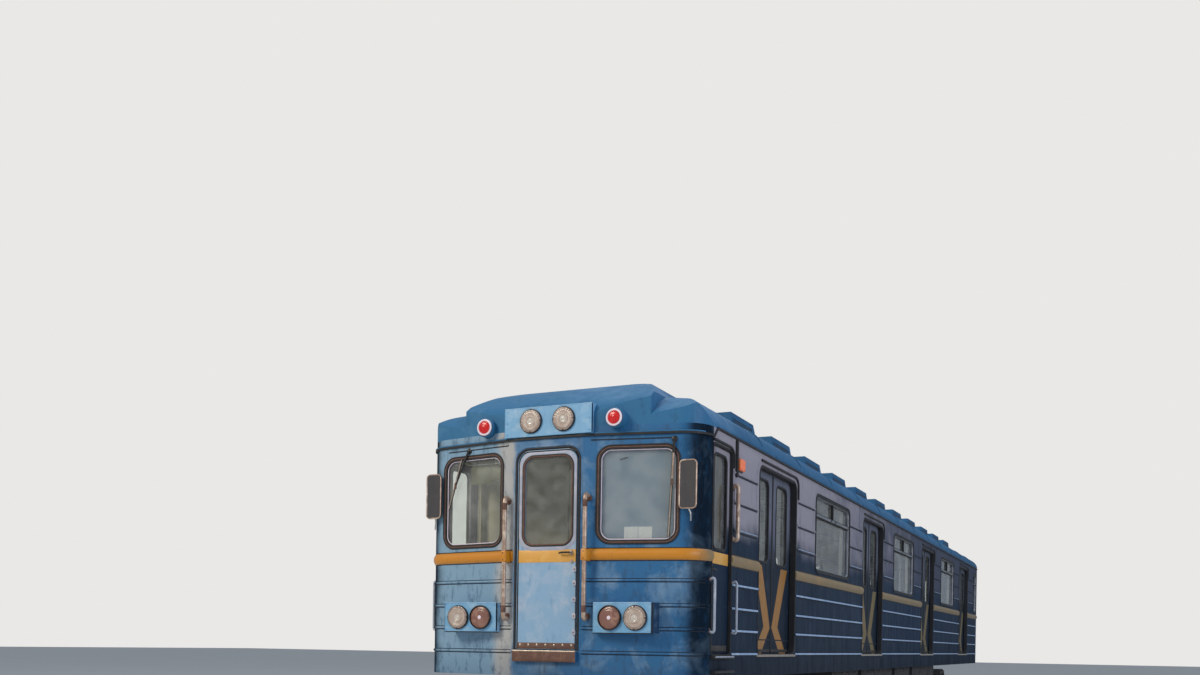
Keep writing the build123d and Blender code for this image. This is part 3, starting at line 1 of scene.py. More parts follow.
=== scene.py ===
"""Looks of a four-door metro motor car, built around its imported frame.

Sizes are in metres. -Y is the cab end and +X the car's left side.
"""

import logging
import math
from collections.abc import Sequence
from dataclasses import dataclass, field
from enum import Enum

import bmesh
import bpy
import numpy as np
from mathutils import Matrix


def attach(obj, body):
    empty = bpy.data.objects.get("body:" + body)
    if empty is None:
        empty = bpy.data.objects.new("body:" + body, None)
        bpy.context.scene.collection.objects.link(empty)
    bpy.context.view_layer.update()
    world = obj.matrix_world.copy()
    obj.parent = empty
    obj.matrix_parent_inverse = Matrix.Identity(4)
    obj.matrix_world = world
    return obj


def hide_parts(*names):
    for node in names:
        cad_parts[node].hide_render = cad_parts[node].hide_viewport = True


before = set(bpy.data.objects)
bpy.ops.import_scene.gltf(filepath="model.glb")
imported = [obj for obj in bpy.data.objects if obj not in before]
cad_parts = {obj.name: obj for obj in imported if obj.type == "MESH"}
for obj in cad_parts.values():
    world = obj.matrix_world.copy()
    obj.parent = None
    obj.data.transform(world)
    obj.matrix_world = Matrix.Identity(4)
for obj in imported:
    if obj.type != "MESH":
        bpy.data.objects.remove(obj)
LOG = logging.getLogger("metro_car")

Points = np.ndarray
Surface = tuple[Points, list[np.ndarray]]

# The assemblies give heights above the rail head, and each piece is lifted by RAIL as it is built. Finishes,
# lamps and the camera use the frame's own heights, which start at the wheel flanges.
RAIL = 0.028
BODY = "carbody"
# Y of the nose door's plane and of the rear wall, and X of the side walls
FRONT_Y = -9.385
REAR_Y = 9.385
HALF_WIDTH = 1.35
# Y of the middle of each doorway
DOORWAYS = (-6.969, -2.323, 2.323, 6.969)
# Plan of the nose: half the level door panel, the sweep of the outer panels and the corner's radius
NOSE_FLAT = 0.33
SWEEP = math.radians(11.0)
CORNER = 0.26
CORNER_X = HALF_WIDTH - CORNER
CORNER_Y = FRONT_Y + (HALF_WIDTH - NOSE_FLAT) * math.tan(SWEEP) + CORNER * math.tan((math.pi / 2 - SWEEP) / 2)
# Heights that several assemblies share: belt, pressed beads, sill of the doorways
BELT = 2.036
BEADS = (1.21, 1.417, 1.616, 1.825)
SILL = 1.21
# Height over a bead and width of the painted shadow lines along it
BEAD_SHADOW_LINES = ((-0.0145, 0.009), (0.014, 0.006))
# Size of an end door's opening and of its window, and the middle height of each
END_DOOR = (0.6, 1.733)
END_DOOR_Z = 2.0935
END_PANE = (0.47, 0.763)
END_PANE_Z = 2.5155
# Sections and profiles in use at both ends: pane rubber, rusty strip, painted band, handle rose and lock
PANE_RUBBER = ((-0.016, -0.004), (-0.016, 0.004), (-0.012, 0.007), (-0.004, 0.007), (0, 0.003), (0, -0.004))
PANE_STRIP = ((-0.004, 0.002), (-0.004, 0.008), (0.002, 0.008), (0.006, 0.004), (0.006, -0.012), (0, -0.012))
BAND = ((0, 0), (0, 0.0012), (0.001, 0.0016))
ROSE = ((0.02, 0), (0.02, 0.006), (0.016, 0.01), (0.01, 0.012), (0.01, 0.034), (0.001, 0.036))
LOCK = ((0.016, 0), (0.016, 0.005), (0.012, 0.008), (0.004, 0.008), (0.003, 0.005), (0.001, 0.005))


def linear(code: str) -> tuple[float, float, float, float]:
    """Turns an sRGB hex colour into linear values.

    Args:
        code: Six hex digits.

    Returns:
        Red, green, blue and alpha, each from 0 to 1.
    """
    levels = [int(code[k : k + 2], 16) / 255 for k in (0, 2, 4)]
    red, green, blue = (c / 12.92 if c <= 0.04045 else ((c + 0.055) / 1.055) ** 2.4 for c in levels)
    return red, green, blue, 1.0


def node(
    tree: bpy.types.NodeTree, kind: str, values: dict[str | int, object] | None = None,
    links: dict[str | int, bpy.types.NodeSocket] | None = None, **settings: object
) -> bpy.types.Node:
    """Adds one shader node.

    Args:
        tree: The material's node tree.
        kind: The node's type name without its ShaderNode prefix.
        values: Default values by input name or number.
        links: Sockets that feed the inputs, by input name or number.
        **settings: Attributes of the node itself.

    Returns:
        The new node.
    """
    made = tree.nodes.new("ShaderNode" + kind)
    for name, value in settings.items():
        setattr(made, name, value)
    for key, value in (values or {}).items():
        made.inputs[key].default_value = value
    for key, socket in (links or {}).items():
        tree.links.new(socket, made.inputs[key])
    return made


class Coat(Enum):
    """The kinds of surface that a finish can have on top of its base colour."""

    ENAMEL = "enamel"
    METAL = "metal"
    RUBBER = "rubber"
    GRIME = "grime"
    TIMBER = "timber"
    HIDE = "hide"
    LENS = "lens"


@dataclass(frozen=True)
class Finish:
    """A finish made of a base colour, a second tone in patches, and dirt.

    Attributes:
        name: The maker's name of the finish.
        base: Base colour, as sRGB hex.
        worn: Colour of the faded or rubbed patches.
        dirt: Colour of the dirt that collects in streaks.
        coat: The kind of surface.
        roughness: Mean roughness.
        patch: Width of the patches, in metres.
        worn_share: How much of the surface is worn, from 0 to 1.
        dirt_share: How much of the surface is dirty, from 0 to 1.
        streak: How many times longer than wide the dirt streaks are.
        grain: Size of the fine grain, in metres.
        relief: Depth of the fine grain, in metres.
        metallic: 1 for bare metal.
        low_dust_and_shade: Height in metres below which road dust thickens, or 0 for none; on the long sides and
            leaves this darkening is painted shade.
        fades: Bands that shade into another colour: axis, start and end in metres, hex and largest share.
            The axis W is the distance from the car's middle plane.
        gloss: Strength of the shine, 0.5 for clean paint.
    """

    name: str
    base: str
    worn: str
    dirt: str
    coat: Coat = Coat.ENAMEL
    roughness: float = 0.45
    patch: float = 0.35
    worn_share: float = 0.35
    dirt_share: float = 0.3
    streak: float = 8.0
    grain: float = 0.004
    relief: float = 0.0004
    metallic: float = 0.0
    low_dust_and_shade: float = 0.0
    fades: tuple[tuple[str, float, float, str, float], ...] = ()
    gloss: float = 0.5

    def build(self) -> bpy.types.Material:
        """Builds the finish as a node material, once for each name.

        The colour is the base, shaded along its fades, mixed with the worn tone where a soft cloud
        noise is high, and with dirt where an upright stretched noise is high. The grain only moves the
        surface normal.

        Returns:
            The material.
        """
        ready = bpy.data.materials.get(self.name)
        if ready:
            return ready
        material = bpy.data.materials.new(self.name)
        material.use_nodes = True
        tree = material.node_tree
        shader = tree.nodes["Principled BSDF"]
        where = node(tree, "TexCoord").outputs["Object"]
        worn, dirty, drip = self.masks(tree, where)
        colour = node(tree, "RGB").outputs["Color"]
        colour.default_value = linear(self.base)
        if self.fades:
            colour, bright = self.faded(tree, where, colour)
            left = node(tree, "Math", {1: 0.75, 2: 0.25}, {0: bright}, operation="MULTIPLY_ADD").outputs[0]
            worn = node(tree, "Math", links={0: worn, 1: left}, operation="MULTIPLY").outputs[0]
        for share, code in ((worn, self.worn), (dirty, self.dirt)):
            colour = node(tree, "Mix", {7: linear(code)}, {0: share, 6: colour}, data_type="RGBA").outputs[2]
        tree.links.new(colour, shader.inputs["Base Color"])
        shine = node(
            tree, "MapRange",
            {
                "From Min": 0.25, "From Max": 0.75, "To Min": max(0.05, self.roughness - 0.1),
                "To Max": min(1.0, self.roughness + 0.16)},
            {"Value": drip})
        tree.links.new(shine.outputs["Result"], shader.inputs["Roughness"])
        shader.inputs["Metallic"].default_value = self.metallic
        shader.inputs["Specular IOR Level"].default_value = self.gloss
        if self.fades:
            for name, full in (("Specular IOR Level", self.gloss), ("Coat Weight", 0.24 * self.gloss)):
                dulled = node(tree, "Math", {1: full}, {0: bright}, operation="MULTIPLY").outputs[0]
                tree.links.new(dulled, shader.inputs[name])
        self.relief_into(tree, where, shader)
        return material

    def masks(self, tree: bpy.types.NodeTree, where: bpy.types.NodeSocket) -> tuple[bpy.types.NodeSocket, ...]:
        """Draws where the finish is worn and where it is dirty.

        Wear follows a soft cloud noise. Dirt follows a noise stretched upright, and more of the dirt colour is added
        to it below the low height, standing for road dust, and on the long sides and leaves for painted shade.

        Args:
            tree: The material's node tree.
            where: Object coordinates.

        Returns:
            The worn share, the dirty share and the stretched noise.
        """
        cloud = node(
            tree, "TexNoise", {"Scale": 1 / self.patch, "Detail": 7.0, "Roughness": 0.62, "Distortion": 0.4},
            {"Vector": where})
        low = 0.62 - 0.3 * self.worn_share
        worn = node(
            tree, "MapRange", {"From Min": low, "From Max": low + 0.24, "To Min": 0.0, "To Max": 0.85},
            {"Value": cloud.outputs["Fac"]}).outputs["Result"]
        stretched = node(tree, "Mapping", {"Scale": (1.0, 1.0, 1.0 / self.streak)}, {"Vector": where})
        drip = node(
            tree, "TexNoise", {"Scale": 5 / self.patch, "Detail": 5.0, "Roughness": 0.7},
            {"Vector": stretched.outputs["Vector"]})
        low = 0.66 - 0.3 * self.dirt_share
        dirty = node(
            tree, "MapRange", {"From Min": low, "From Max": low + 0.26, "To Min": 0.0, "To Max": 0.8},
            {"Value": drip.outputs["Fac"]}).outputs["Result"]
        # below the low height more of the dirt colour is added: road dust, and on the long sides and leaves painted
        # shade
        if self.low_dust_and_shade:
            height = node(tree, "SeparateXYZ", links={"Vector": where})
            dust = node(
                tree, "MapRange",
                {"From Min": self.low_dust_and_shade, "From Max": self.low_dust_and_shade - 0.5, "To Min": 0.0, "To Max": 0.6},
                {"Value": height.outputs["Z"]})
            dirty = node(
                tree, "Math", links={0: dirty, 1: dust.outputs["Result"]}, operation="ADD", use_clamp=True
            ).outputs["Value"]
        return worn, dirty, drip.outputs["Fac"]

    def faded(
        self, tree: bpy.types.NodeTree, where: bpy.types.NodeSocket, colour: bpy.types.NodeSocket
    ) -> tuple[bpy.types.NodeSocket, bpy.types.NodeSocket]:
        """Shades a colour along the finish's fades.

        Each fade is a smooth step along its axis, whose place a ragged noise moves to and fro. Many fades are painted
        light, shade or reflection, and each fade takes its share of the shine.

        Args:
            tree: The material's node tree.
            where: Object coordinates.
            colour: The colour before the fades.

        Returns:
            The shaded colour, and the share of the shine that is left.
        """
        parts = node(tree, "SeparateXYZ", links={"Vector": where})
        ragged = node(tree, "TexNoise", {"Scale": 2.4, "Detail": 6.0, "Roughness": 0.65}, {"Vector": where})
        swing = node(tree, "MapRange", {"To Min": -0.5, "To Max": 0.5}, {"Value": ragged.outputs["Fac"]})
        sides = node(tree, "Math", links={0: parts.outputs["X"]}, operation="ABSOLUTE").outputs[0]
        bright = node(tree, "Value").outputs[0]
        bright.default_value = 1.0
        for axis, start, end, code, most in self.fades:
            place = node(
                tree, "Math", {1: abs(end - start) * 1.4},
                {0: swing.outputs["Result"], 2: sides if axis == "W" else parts.outputs[axis]},
                operation="MULTIPLY_ADD")
            share = node(
                tree, "MapRange", {"From Min": start, "From Max": end, "To Min": 0.0, "To Max": most},
                {"Value": place.outputs["Value"]}, interpolation_type="SMOOTHSTEP").outputs["Result"]
            colour = node(tree, "Mix", {7: linear(code)}, {0: share, 6: colour}, data_type="RGBA").outputs[2]
            kept = node(tree, "Math", {0: 1.0}, {1: share}, operation="SUBTRACT").outputs[0]
            bright = node(tree, "Math", links={0: bright, 1: kept}, operation="MULTIPLY").outputs[0]
        return colour, bright

    def relief_into(self, tree: bpy.types.NodeTree, where: bpy.types.NodeSocket, shader: bpy.types.Node) -> None:
        """Adds the surface relief that belongs to the coat.

        Timber and brushed metal stretch their noise along the grain, and hide has rounded cells.

        Args:
            tree: The material's node tree.
            where: Object coordinates.
            shader: The node that takes the normal.
        """
        grain = {"Scale": 1 / self.grain}
        if self.coat is Coat.HIDE:
            fine = node(tree, "TexVoronoi", grain, {"Vector": where}, feature="SMOOTH_F1").outputs["Distance"]
        else:
            stretch, detail = {
                Coat.TIMBER: ((1.0, 0.06, 1.0), 6.0), Coat.METAL: ((1.0, 1.0, 0.05), 2.0)
            }.get(self.coat, ((1.0, 1.0, 1.0), 4.0))
            along = node(tree, "Mapping", {"Scale": stretch}, {"Vector": where})
            fine = node(
                tree, "TexNoise", grain | {"Detail": detail}, {"Vector": along.outputs["Vector"]}).outputs["Fac"]
        bump = node(tree, "Bump", {"Strength": 0.6, "Distance": self.relief}, {"Height": fine})
        if self.coat is Coat.ENAMEL:
            # thin sheet steel is never quite flat between its ribs, and its gloss shows that
            sway = node(tree, "TexNoise", {"Scale": 2.2, "Detail": 1.5}, {"Vector": where}).outputs["Fac"]
            bump = node(
                tree, "Bump", {"Strength": 0.35, "Distance": 0.012},
                {"Height": sway, "Normal": bump.outputs["Normal"]})
            shader.inputs["Coat Weight"].default_value = 0.24 * self.gloss
            shader.inputs["Coat Roughness"].default_value = 0.2
        tree.links.new(bump.outputs["Normal"], shader.inputs["Normal"])


@dataclass(frozen=True)
class Glazing:
    """Flat safety glass with a thin film of dust.

    Attributes:
        name: The maker's name of the glass.
        tint: Colour of the light that passes.
        film: Colour of the dust film.
        film_share: Share of the light that the film stops.
        roughness: Roughness of the gloss.
        cloud: Width of the blotches of dust, in metres.
    """

    name: str
    tint: str
    film: str
    film_share: float = 0.05
    roughness: float = 0.03
    cloud: float = 0.12

    def build(self) -> bpy.types.Material:
        """Builds the glass as a clear gloss over a see-through tint, with a blotchy dust film.

        Returns:
            The material.
        """
        ready = bpy.data.materials.get(self.name)
        if ready:
            return ready
        material = bpy.data.materials.new(self.name)
        material.use_nodes = True
        tree = material.node_tree
        shader = tree.nodes["Principled BSDF"]
        where = node(tree, "TexCoord").outputs["Object"]
        dust = node(tree, "TexNoise", {"Scale": 1 / self.cloud, "Detail": 6.0}, {"Vector": where})
        film = node(
            tree, "MapRange",
            {"From Min": 0.35, "From Max": 0.75, "To Min": self.film_share * 0.4, "To Max": self.film_share * 2},
            {"Value": dust.outputs["Fac"]})
        colour = node(
            tree, "Mix", {6: linear(self.tint), 7: linear(self.film)}, {0: film.outputs["Result"]}, data_type="RGBA"
        ).outputs[2]
        tree.links.new(colour, shader.inputs["Base Color"])
        shader.inputs["Roughness"].default_value = self.roughness
        gloss = node(tree, "BsdfGlossy", {"Roughness": self.roughness})
        clear = node(tree, "BsdfTransparent", {"Color": linear(self.tint)})
        edge = node(tree, "Fresnel", {"IOR": 1.52})
        inside = node(tree, "NewGeometry").outputs["Backfacing"]
        outer = node(tree, "Math", {0: 1.0}, {1: inside}, operation="SUBTRACT")
        # light that leaves by the back of the pane meets no second mirror
        mirror = node(tree, "Math", links={0: edge.outputs["Fac"], 1: outer.outputs[0]}, operation="MULTIPLY")
        pane = node(tree, "MixShader", links={0: mirror.outputs[0], 1: clear.outputs[0], 2: gloss.outputs[0]})
        whole = node(tree, "MixShader", links={0: film.outputs["Result"], 1: pane.outputs[0], 2: shader.outputs[0]})
        tree.links.new(whole.outputs[0], tree.nodes["Material Output"].inputs["Surface"])
        return material


# Alkyd enamel brushed and sprayed over steel sheet, sun-bleached into pale patches; its dark blotches are dirt and
# also painted shadow of foliage. Its fades are painted light: paler towards the car's right side as painted sunlight,
# a cream strip beside the nose door as a painted highlight, and near black round the nose corners as painted shade
BODY_BLUE = Finish(
    "alkyd_enamel_blue", "1B5F8E", "7C99B0", "183A56", patch=0.3, worn_share=0.42, dirt_share=0.5, streak=2.5,
    low_dust_and_shade=1.3,
    fades=(
        ("X", 0.1, -0.75, "789CB6", 0.75), ("X", -0.29, -0.36, "C9BFAE", 0.6), ("X", -0.45, -0.58, "749AB6", 0.85),
        ("Y", -9.235, -9.16, "0E151D", 0.95)))
# The same enamel on the long sides and crew doors as a shaded copy: the dark navy, darker still below, is painted
# shade; the lilac grey between the windows, the paler grey under the eaves and the lighter blue towards the rear are
# painted reflection; the inner face takes the lining's cream
SIDE_BLUE = Finish(
    "alkyd_enamel_side_blue", "1A2A3C", "2E4054", "111922", patch=0.5, worn_share=0.26, dirt_share=0.36, streak=5.0,
    low_dust_and_shade=1.55, roughness=0.5, gloss=0.06,
    fades=(
        ("Z", 2.22, 2.5, "918F98", 0.97), ("Z", 2.95, 3.15, "9C9AA2", 0.5), ("Y", -6.5, 1.5, "2B3B50", 0.75),
        ("W", 1.262, 1.258, "D9CFB4", 1.0)))
# Enamel of the rear end: greyed by brake dust below, chalked near the roof
REAR_BLUE = Finish(
    "alkyd_enamel_rear_blue", "2A4E7C", "56749A", "172436", patch=0.4, worn_share=0.3, dirt_share=0.5, streak=5.0,
    low_dust_and_shade=1.7, roughness=0.5, gloss=0.3, fades=(("Z", 2.3, 2.9, "7388A6", 0.6),))
# Enamel of the sliding leaves as a shaded copy: the near-black navy, darker still below, is painted shade; the grey
# above 2.1 m is painted reflection; the inner face takes the lining's cream
LEAF_BLUE = Finish(
    "leaf_enamel_grey_blue", "1E2A36", "3A4656", "131A22", patch=0.4, worn_share=0.3, dirt_share=0.4, streak=5.0,
    low_dust_and_shade=1.55, roughness=0.5, gloss=0.06,
    fades=(("Z", 2.1, 2.6, "6C717E", 0.9), ("W", 1.252, 1.2495, "D9CFB4", 1.0)))
# Enamel rolled over the roof: even and rather matt, with soft washed-out clouds, darker behind the nose
ROOF_BLUE = Finish(
    "roof_enamel_blue", "2C6891", "5886A8", "1F4762", patch=0.5, worn_share=0.28, dirt_share=0.34, streak=1.5,
    roughness=0.55, gloss=0.3, fades=(("Y", -9.0, -8.2, "315B7C", 0.8),))
# Ochre enamel of the belt: warm and evenly glossy on the nose; greyed and dulled round the corners and along the
# sides, which is painted shade
STRIPE = Finish(
    "ochre_enamel", "C27E14", "CF9234", "80541A", patch=0.22, worn_share=0.3, dirt_share=0.26, roughness=0.4,
    fades=(("Y", -9.2, -9.0, "7D755F", 0.9),))
# Moulded rubber: near black, with a soft grey sheen and hardly any highlight
RUBBER = Finish(
    "epdm_rubber", "17181A", "2B2C2E", "3A3833", Coat.RUBBER, roughness=0.62, patch=0.15, grain=0.002, relief=0.0002)
# Chromed tube worn by hands: sharp streaks of light over warm worn spots
CHROME = Finish(
    "worn_chromed_tube", "D9D6D0", "B39C84", "6B5240", Coat.METAL, roughness=0.2, patch=0.08, worn_share=0.22,
    dirt_share=0.16, grain=0.002, relief=0.0001, metallic=1.0)
# Brushed bitumen paint: dull and dark, browned by brake dust
UNDERFRAME = Finish(
    "bitumen_paint", "2E2E2F", "494540", "5A4E41", Coat.GRIME, roughness=0.75, patch=0.3, worn_share=0.35,
    dirt_share=0.4, grain=0.006, relief=0.0012)
# Grey paint over sand-cast steel: a pebbled dull surface with rusty hollows
CAST = Finish(
    "cast_steel_grey_paint", "4A4B4C", "625C54", "4C3C2E", Coat.GRIME, roughness=0.7, patch=0.2, worn_share=0.35,
    dirt_share=0.42, grain=0.005, relief=0.0015)
# Rolled steel: lathe-bright where it runs, brown elsewhere
WHEEL = Finish(
    "rolled_wheel_steel", "6B6663", "8A837C", "4D3527", Coat.METAL, roughness=0.42, patch=0.12, worn_share=0.3,
    dirt_share=0.4, grain=0.004, relief=0.0004, metallic=0.75)
# Black paint on coiled bar: a low sheen along the wire
SPRING = Finish("spring_steel_black_paint", "232425", "3C3A38", "51402F", Coat.GRIME, roughness=0.55, patch=0.06)
# Oiled beech plank: brown, with long dark grain along its length
TIMBER = Finish(
    "oiled_beech_beam", "6E4B2C", "86633F", "3A2A1C", Coat.TIMBER, roughness=0.6, patch=0.12, grain=0.006,
    relief=0.0006)
# Embossed leatherette over foam: fine cells that catch a soft light
SEAT = Finish(
    "brown_leatherette", "6B3A26", "7F4B33", "3E2418", Coat.HIDE, roughness=0.42, patch=0.25, worn_share=0.3,
    dirt_share=0.2, grain=0.004, relief=0.0004)
# Pressed plastic laminate: cream and smooth, with a quiet gloss
LINING = Finish(
    "cream_laminate", "D9CFB4", "E3DBC6", "B5A786", Coat.HIDE, roughness=0.4, patch=0.5, worn_share=0.3,
    dirt_share=0.12, grain=0.003, relief=0.00005)
# Hammered enamel: grey, with small round dimples that glitter
DESK = Finish(
    "hammered_grey_enamel", "6C7671", "828B85", "454B48", Coat.HIDE, roughness=0.4, patch=0.2, grain=0.006,
    relief=0.0004)
# Stoved enamel on thin steel: black and smooth, with a small highlight
WIPER = Finish("black_stove_enamel", "141517", "2A2A2B", "3C3933", Coat.METAL, roughness=0.4, patch=0.1)
# Bleached enamel of the lamp boxes: much lighter than the nose; near black on the outer cheeks, which is painted
# shade
LAMP_FACE = Finish(
    "bleached_enamel_light_blue", "6CA2C8", "A2C0D4", "507EA0", patch=0.14, worn_share=0.4, dirt_share=0.3,
    fades=(("W", 0.993, 0.999, "1E3450", 0.95),))
# Pressed amber glass: milky brown, with ribs that break the highlight
AMBER = Finish(
    "ribbed_amber_lens", "7E5A50", "B08B76", "4A332E", Coat.LENS, roughness=0.16, patch=0.06, worn_share=0.4,
    dirt_share=0.3, grain=0.012, relief=0.0016)
# Fluted clear glass before a dull reflector: pale and watery
CREAM = Finish(
    "fluted_clear_lens", "AE9E92", "CFC4B8", "7C6C60", Coat.LENS, roughness=0.16, patch=0.05, worn_share=0.5,
    dirt_share=0.24, grain=0.012, relief=0.0016)
# Glass before a browned reflector: darker and warmer than the middle
BRONZE_LENS = Finish(
    "browned_reflector_glass", "8F8078", "B0A298", "5C4C44", Coat.LENS, roughness=0.18, patch=0.04, worn_share=0.5,
    dirt_share=0.4, grain=0.01, relief=0.0016)
# Bare glass of the bulb: pale, with a hard small highlight
BULB = Finish("bare_bulb_glass", "BDB6AC", "D8D3CA", "8C8478", Coat.LENS, roughness=0.1, patch=0.03, worn_share=0.5)
# Red pressed glass: deep and wet-looking
RED = Finish(
    "red_glass_lens", "C3161B", "E0322C", "7A0D10", Coat.LENS, roughness=0.12, patch=0.05, grain=0.01, relief=0.001)
# Moulded orange acrylic: bright, with a ribbed gloss
ORANGE = Finish(
    "orange_acrylic_lens", "F2702A", "F58B4C", "C24E1C", Coat.LENS, roughness=0.2, patch=0.06, grain=0.008,
    relief=0.001)
# White enamel on spun rings: clean and slightly cold
PALE_TRIM = Finish("white_lamp_ring_enamel", "DED3E0", "EFEAF0", "A59BA6", Coat.METAL, roughness=0.4, patch=0.08)
# Thin steel strip under a few years of brown rust
RUSTY = Finish(
    "rusted_steel_strip", "5E4238", "7B5A48", "2F2420", Coat.GRIME, roughness=0.7, patch=0.05, worn_share=0.5,
    dirt_share=0.35, grain=0.003, relief=0.0004)
# Bare steel polished by feet and hands: light and warm
WORN_STEEL = Finish(
    "hand_worn_steel", "A79A8C", "C9BFB2", "6B5546", Coat.METAL, roughness=0.35, patch=0.05, worn_share=0.4,
    dirt_share=0.3, grain=0.002, relief=0.0002, metallic=0.8)
# Chalked enamel: a dry lilac grey without shine
LILAC = Finish(
    "chalked_enamel_lilac", "9CA4B6", "C0BEC6", "6A7B94", patch=0.1, worn_share=0.5, dirt_share=0.3, roughness=0.6)
# Chalked enamel of the nose door: dusty light blue in cloudy patches
DOOR_BLUE = Finish(
    "chalked_enamel_door_blue", "7FA4C2", "B0BAC8", "4A769E", patch=0.22, worn_share=0.55, dirt_share=0.3, streak=4.0,
    roughness=0.55)
# Chalked ochre on the door's band: paler and drier than the belt
FADED_OCHRE = Finish(
    "chalked_ochre_enamel", "D29C45", "DDB064", "A9732C", patch=0.12, worn_share=0.4, dirt_share=0.25, roughness=0.55)
# Painted board behind the pane: flat grey blue
SCREEN = Finish(
    "grey_blue_painted_board", "7D8DA1", "8A9AA9", "6E7C92", Coat.HIDE, roughness=0.6, patch=0.6, worn_share=0.3,
    dirt_share=0.15, grain=0.003, relief=0.0001)
# Pasteboard: white and quite matt
CARD = Finish(
    "white_pasteboard", "D5D3D6", "E2E0DF", "B9B6B4", Coat.HIDE, roughness=0.7, patch=0.1, grain=0.003, relief=0.00005
)
# Tinted celluloid: dark olive, smooth
VISOR = Finish(
    "olive_celluloid", "5C5A34", "77753F", "36351F", Coat.HIDE, roughness=0.35, patch=0.1, grain=0.004, relief=0.0001)
# Cream enamel rubbed through to steel: light crests and brown edges
CREAM_TUBE = Finish(
    "rubbed_enamelled_tube", "A58C7A", "EADCC6", "5E4438", Coat.METAL, roughness=0.3, patch=0.07, worn_share=0.45,
    dirt_share=0.4, streak=6.0, grain=0.002, relief=0.0001, metallic=0.35)
# White enamelled tube greyed by weather
WHITE_TUBE = Finish(
    "white_enamelled_tube", "98A2B0", "C4CAD2", "56647A", Coat.METAL, roughness=0.35, patch=0.08, grain=0.002,
    relief=0.0001)
# Silvered glass: a clear dark reflection
SILVERED = Finish(
    "silvered_mirror_glass", "7F756E", "958C84", "4A3B33", Coat.LENS, roughness=0.05, patch=0.2, worn_share=0.2,
    dirt_share=0.25, grain=0.02, relief=0.00002, metallic=1.0)
# Oxidised window alloy: dull silver with a faint brush line
GREY_ALLOY = Finish(
    "dulled_window_alloy", "7E8388", "A2A5A8", "4E4C4A", Coat.METAL, roughness=0.4, patch=0.1, grain=0.002,
    relief=0.0001, metallic=0.6)
# Painted highlight: a light blue line along the top of the ribs, where light catches them
RIB_HIGHLIGHT = Finish(
    "painted_rib_highlight", "86A2C4", "AEBFD2", "4A6384", patch=0.12, worn_share=0.5, dirt_share=0.4, streak=1.0,
    roughness=0.4)
# Near-black matt line: painted shadow under and over the ribs and on the lamp boxes' outer cheeks, and the dark seam
# across each sliding leaf
SHADOW_AND_SEAM_LINE = Finish("painted_shadow_and_dark_seam", "16202E", "1F2D40", "2B2A2A", Coat.GRIME, roughness=0.85, patch=0.2)
# Ochre enamel scuffed by passing shoulders: brown and patchy, greyer towards the rear
LEAF_OCHRE = Finish(
    "scuffed_ochre_enamel", "966620", "7C6234", "464234", patch=0.1, worn_share=0.4, dirt_share=0.36, streak=4.0,
    roughness=0.5, fades=(("Y", -6.0, -2.0, "6F6A52", 0.85),))
# Leatherette welt: dark brown, edging each cushion
PIPING = Finish(
    "dark_welt_leatherette", "3E2218", "5A3526", "28170F", Coat.HIDE, roughness=0.5, patch=0.1, grain=0.003,
    relief=0.0002)
# Worn linoleum: brown, matt and faintly clouded
LINOLEUM = Finish(
    "worn_brown_linoleum", "5D4438", "6E5547", "3A2C25", Coat.HIDE, roughness=0.55, patch=0.4, grain=0.004,
    relief=0.0002)
# Opal glass: milky white, with a soft highlight
SHADE = Finish(
    "opal_lamp_shade", "EFEDE4", "F7F5EE", "CFCABB", Coat.LENS, roughness=0.25, patch=0.2, grain=0.02, relief=0.0002)
# Laminated glass of the cab: nearly colourless
CLEAR = Glazing("laminated_safety_glass", "F8FAF8", "B4B0A6", 0.04)
# Saloon glass behind years of dust
SMOKED = Glazing("dusty_saloon_glass", "F3F6F4", "A39E94", 0.06, cloud=0.2)


class Facing(Enum):
    """Which way a flat piece looks, as its two drawing directions and its outward direction."""

    FRONT = ((1, 0, 0), (0, 0, 1), (0, -1, 0))
    REAR = ((-1, 0, 0), (0, 0, 1), (0, 1, 0))
    LEFT = ((0, 1, 0), (0, 0, 1), (1, 0, 0))
    UP = ((1, 0, 0), (0, 1, 0), (0, 0, 1))
    DOWN = ((1, 0, 0), (0, -1, 0), (0, 0, -1))

    def put(self, flat: Points, height: float | Points, origin: Sequence[float]) -> Points:
        """Moves drawn points into the car: origin plus u, v and outward parts.

        Args:
            flat: Points with u and v in their last axis.
            height: Distance outwards, one value or one for each point.
            origin: Where the drawing's zero goes.

        Returns:
            The points in the car.
        """
        across, up, out = (np.array(way, float) for way in self.value)
        lift = np.broadcast_to(np.asarray(height, float), flat.shape[:-1])
        return np.asarray(origin, float) + flat[..., :1] * across + flat[..., 1:2] * up + lift[..., None] * out


# Short names for the drawing directions
FRONT, REAR, LEFT, UP, DOWN = Facing


def lattice(rows: Points, around: bool = True, closed: bool = False) -> Surface:
    """Joins rows of points into four-sided faces.

    Args:
        rows: Points as row, place in the row, and X, Y, Z.
        around: Whether each row is a closed loop; its first and last row are then capped.
        closed: Whether the last row joins the first, as in a ring; nothing is capped then.

    Returns:
        The points and the faces.
    """
    count, length = rows.shape[:2]
    index = np.arange(count * length).reshape(count, length)
    if closed:
        index = np.concatenate([index, index[:1]])
    if around:
        index = np.concatenate([index, index[:, :1]], axis=1)
    quads = np.stack([index[:-1, :-1], index[:-1, 1:], index[1:, 1:], index[1:, :-1]], axis=-1).reshape(-1, 4)
    faces = [quads]
    if around and not closed:
        faces += [index[:1, :-1][:, ::-1], index[-1:, :-1]]
    return rows.reshape(-1, 3), faces


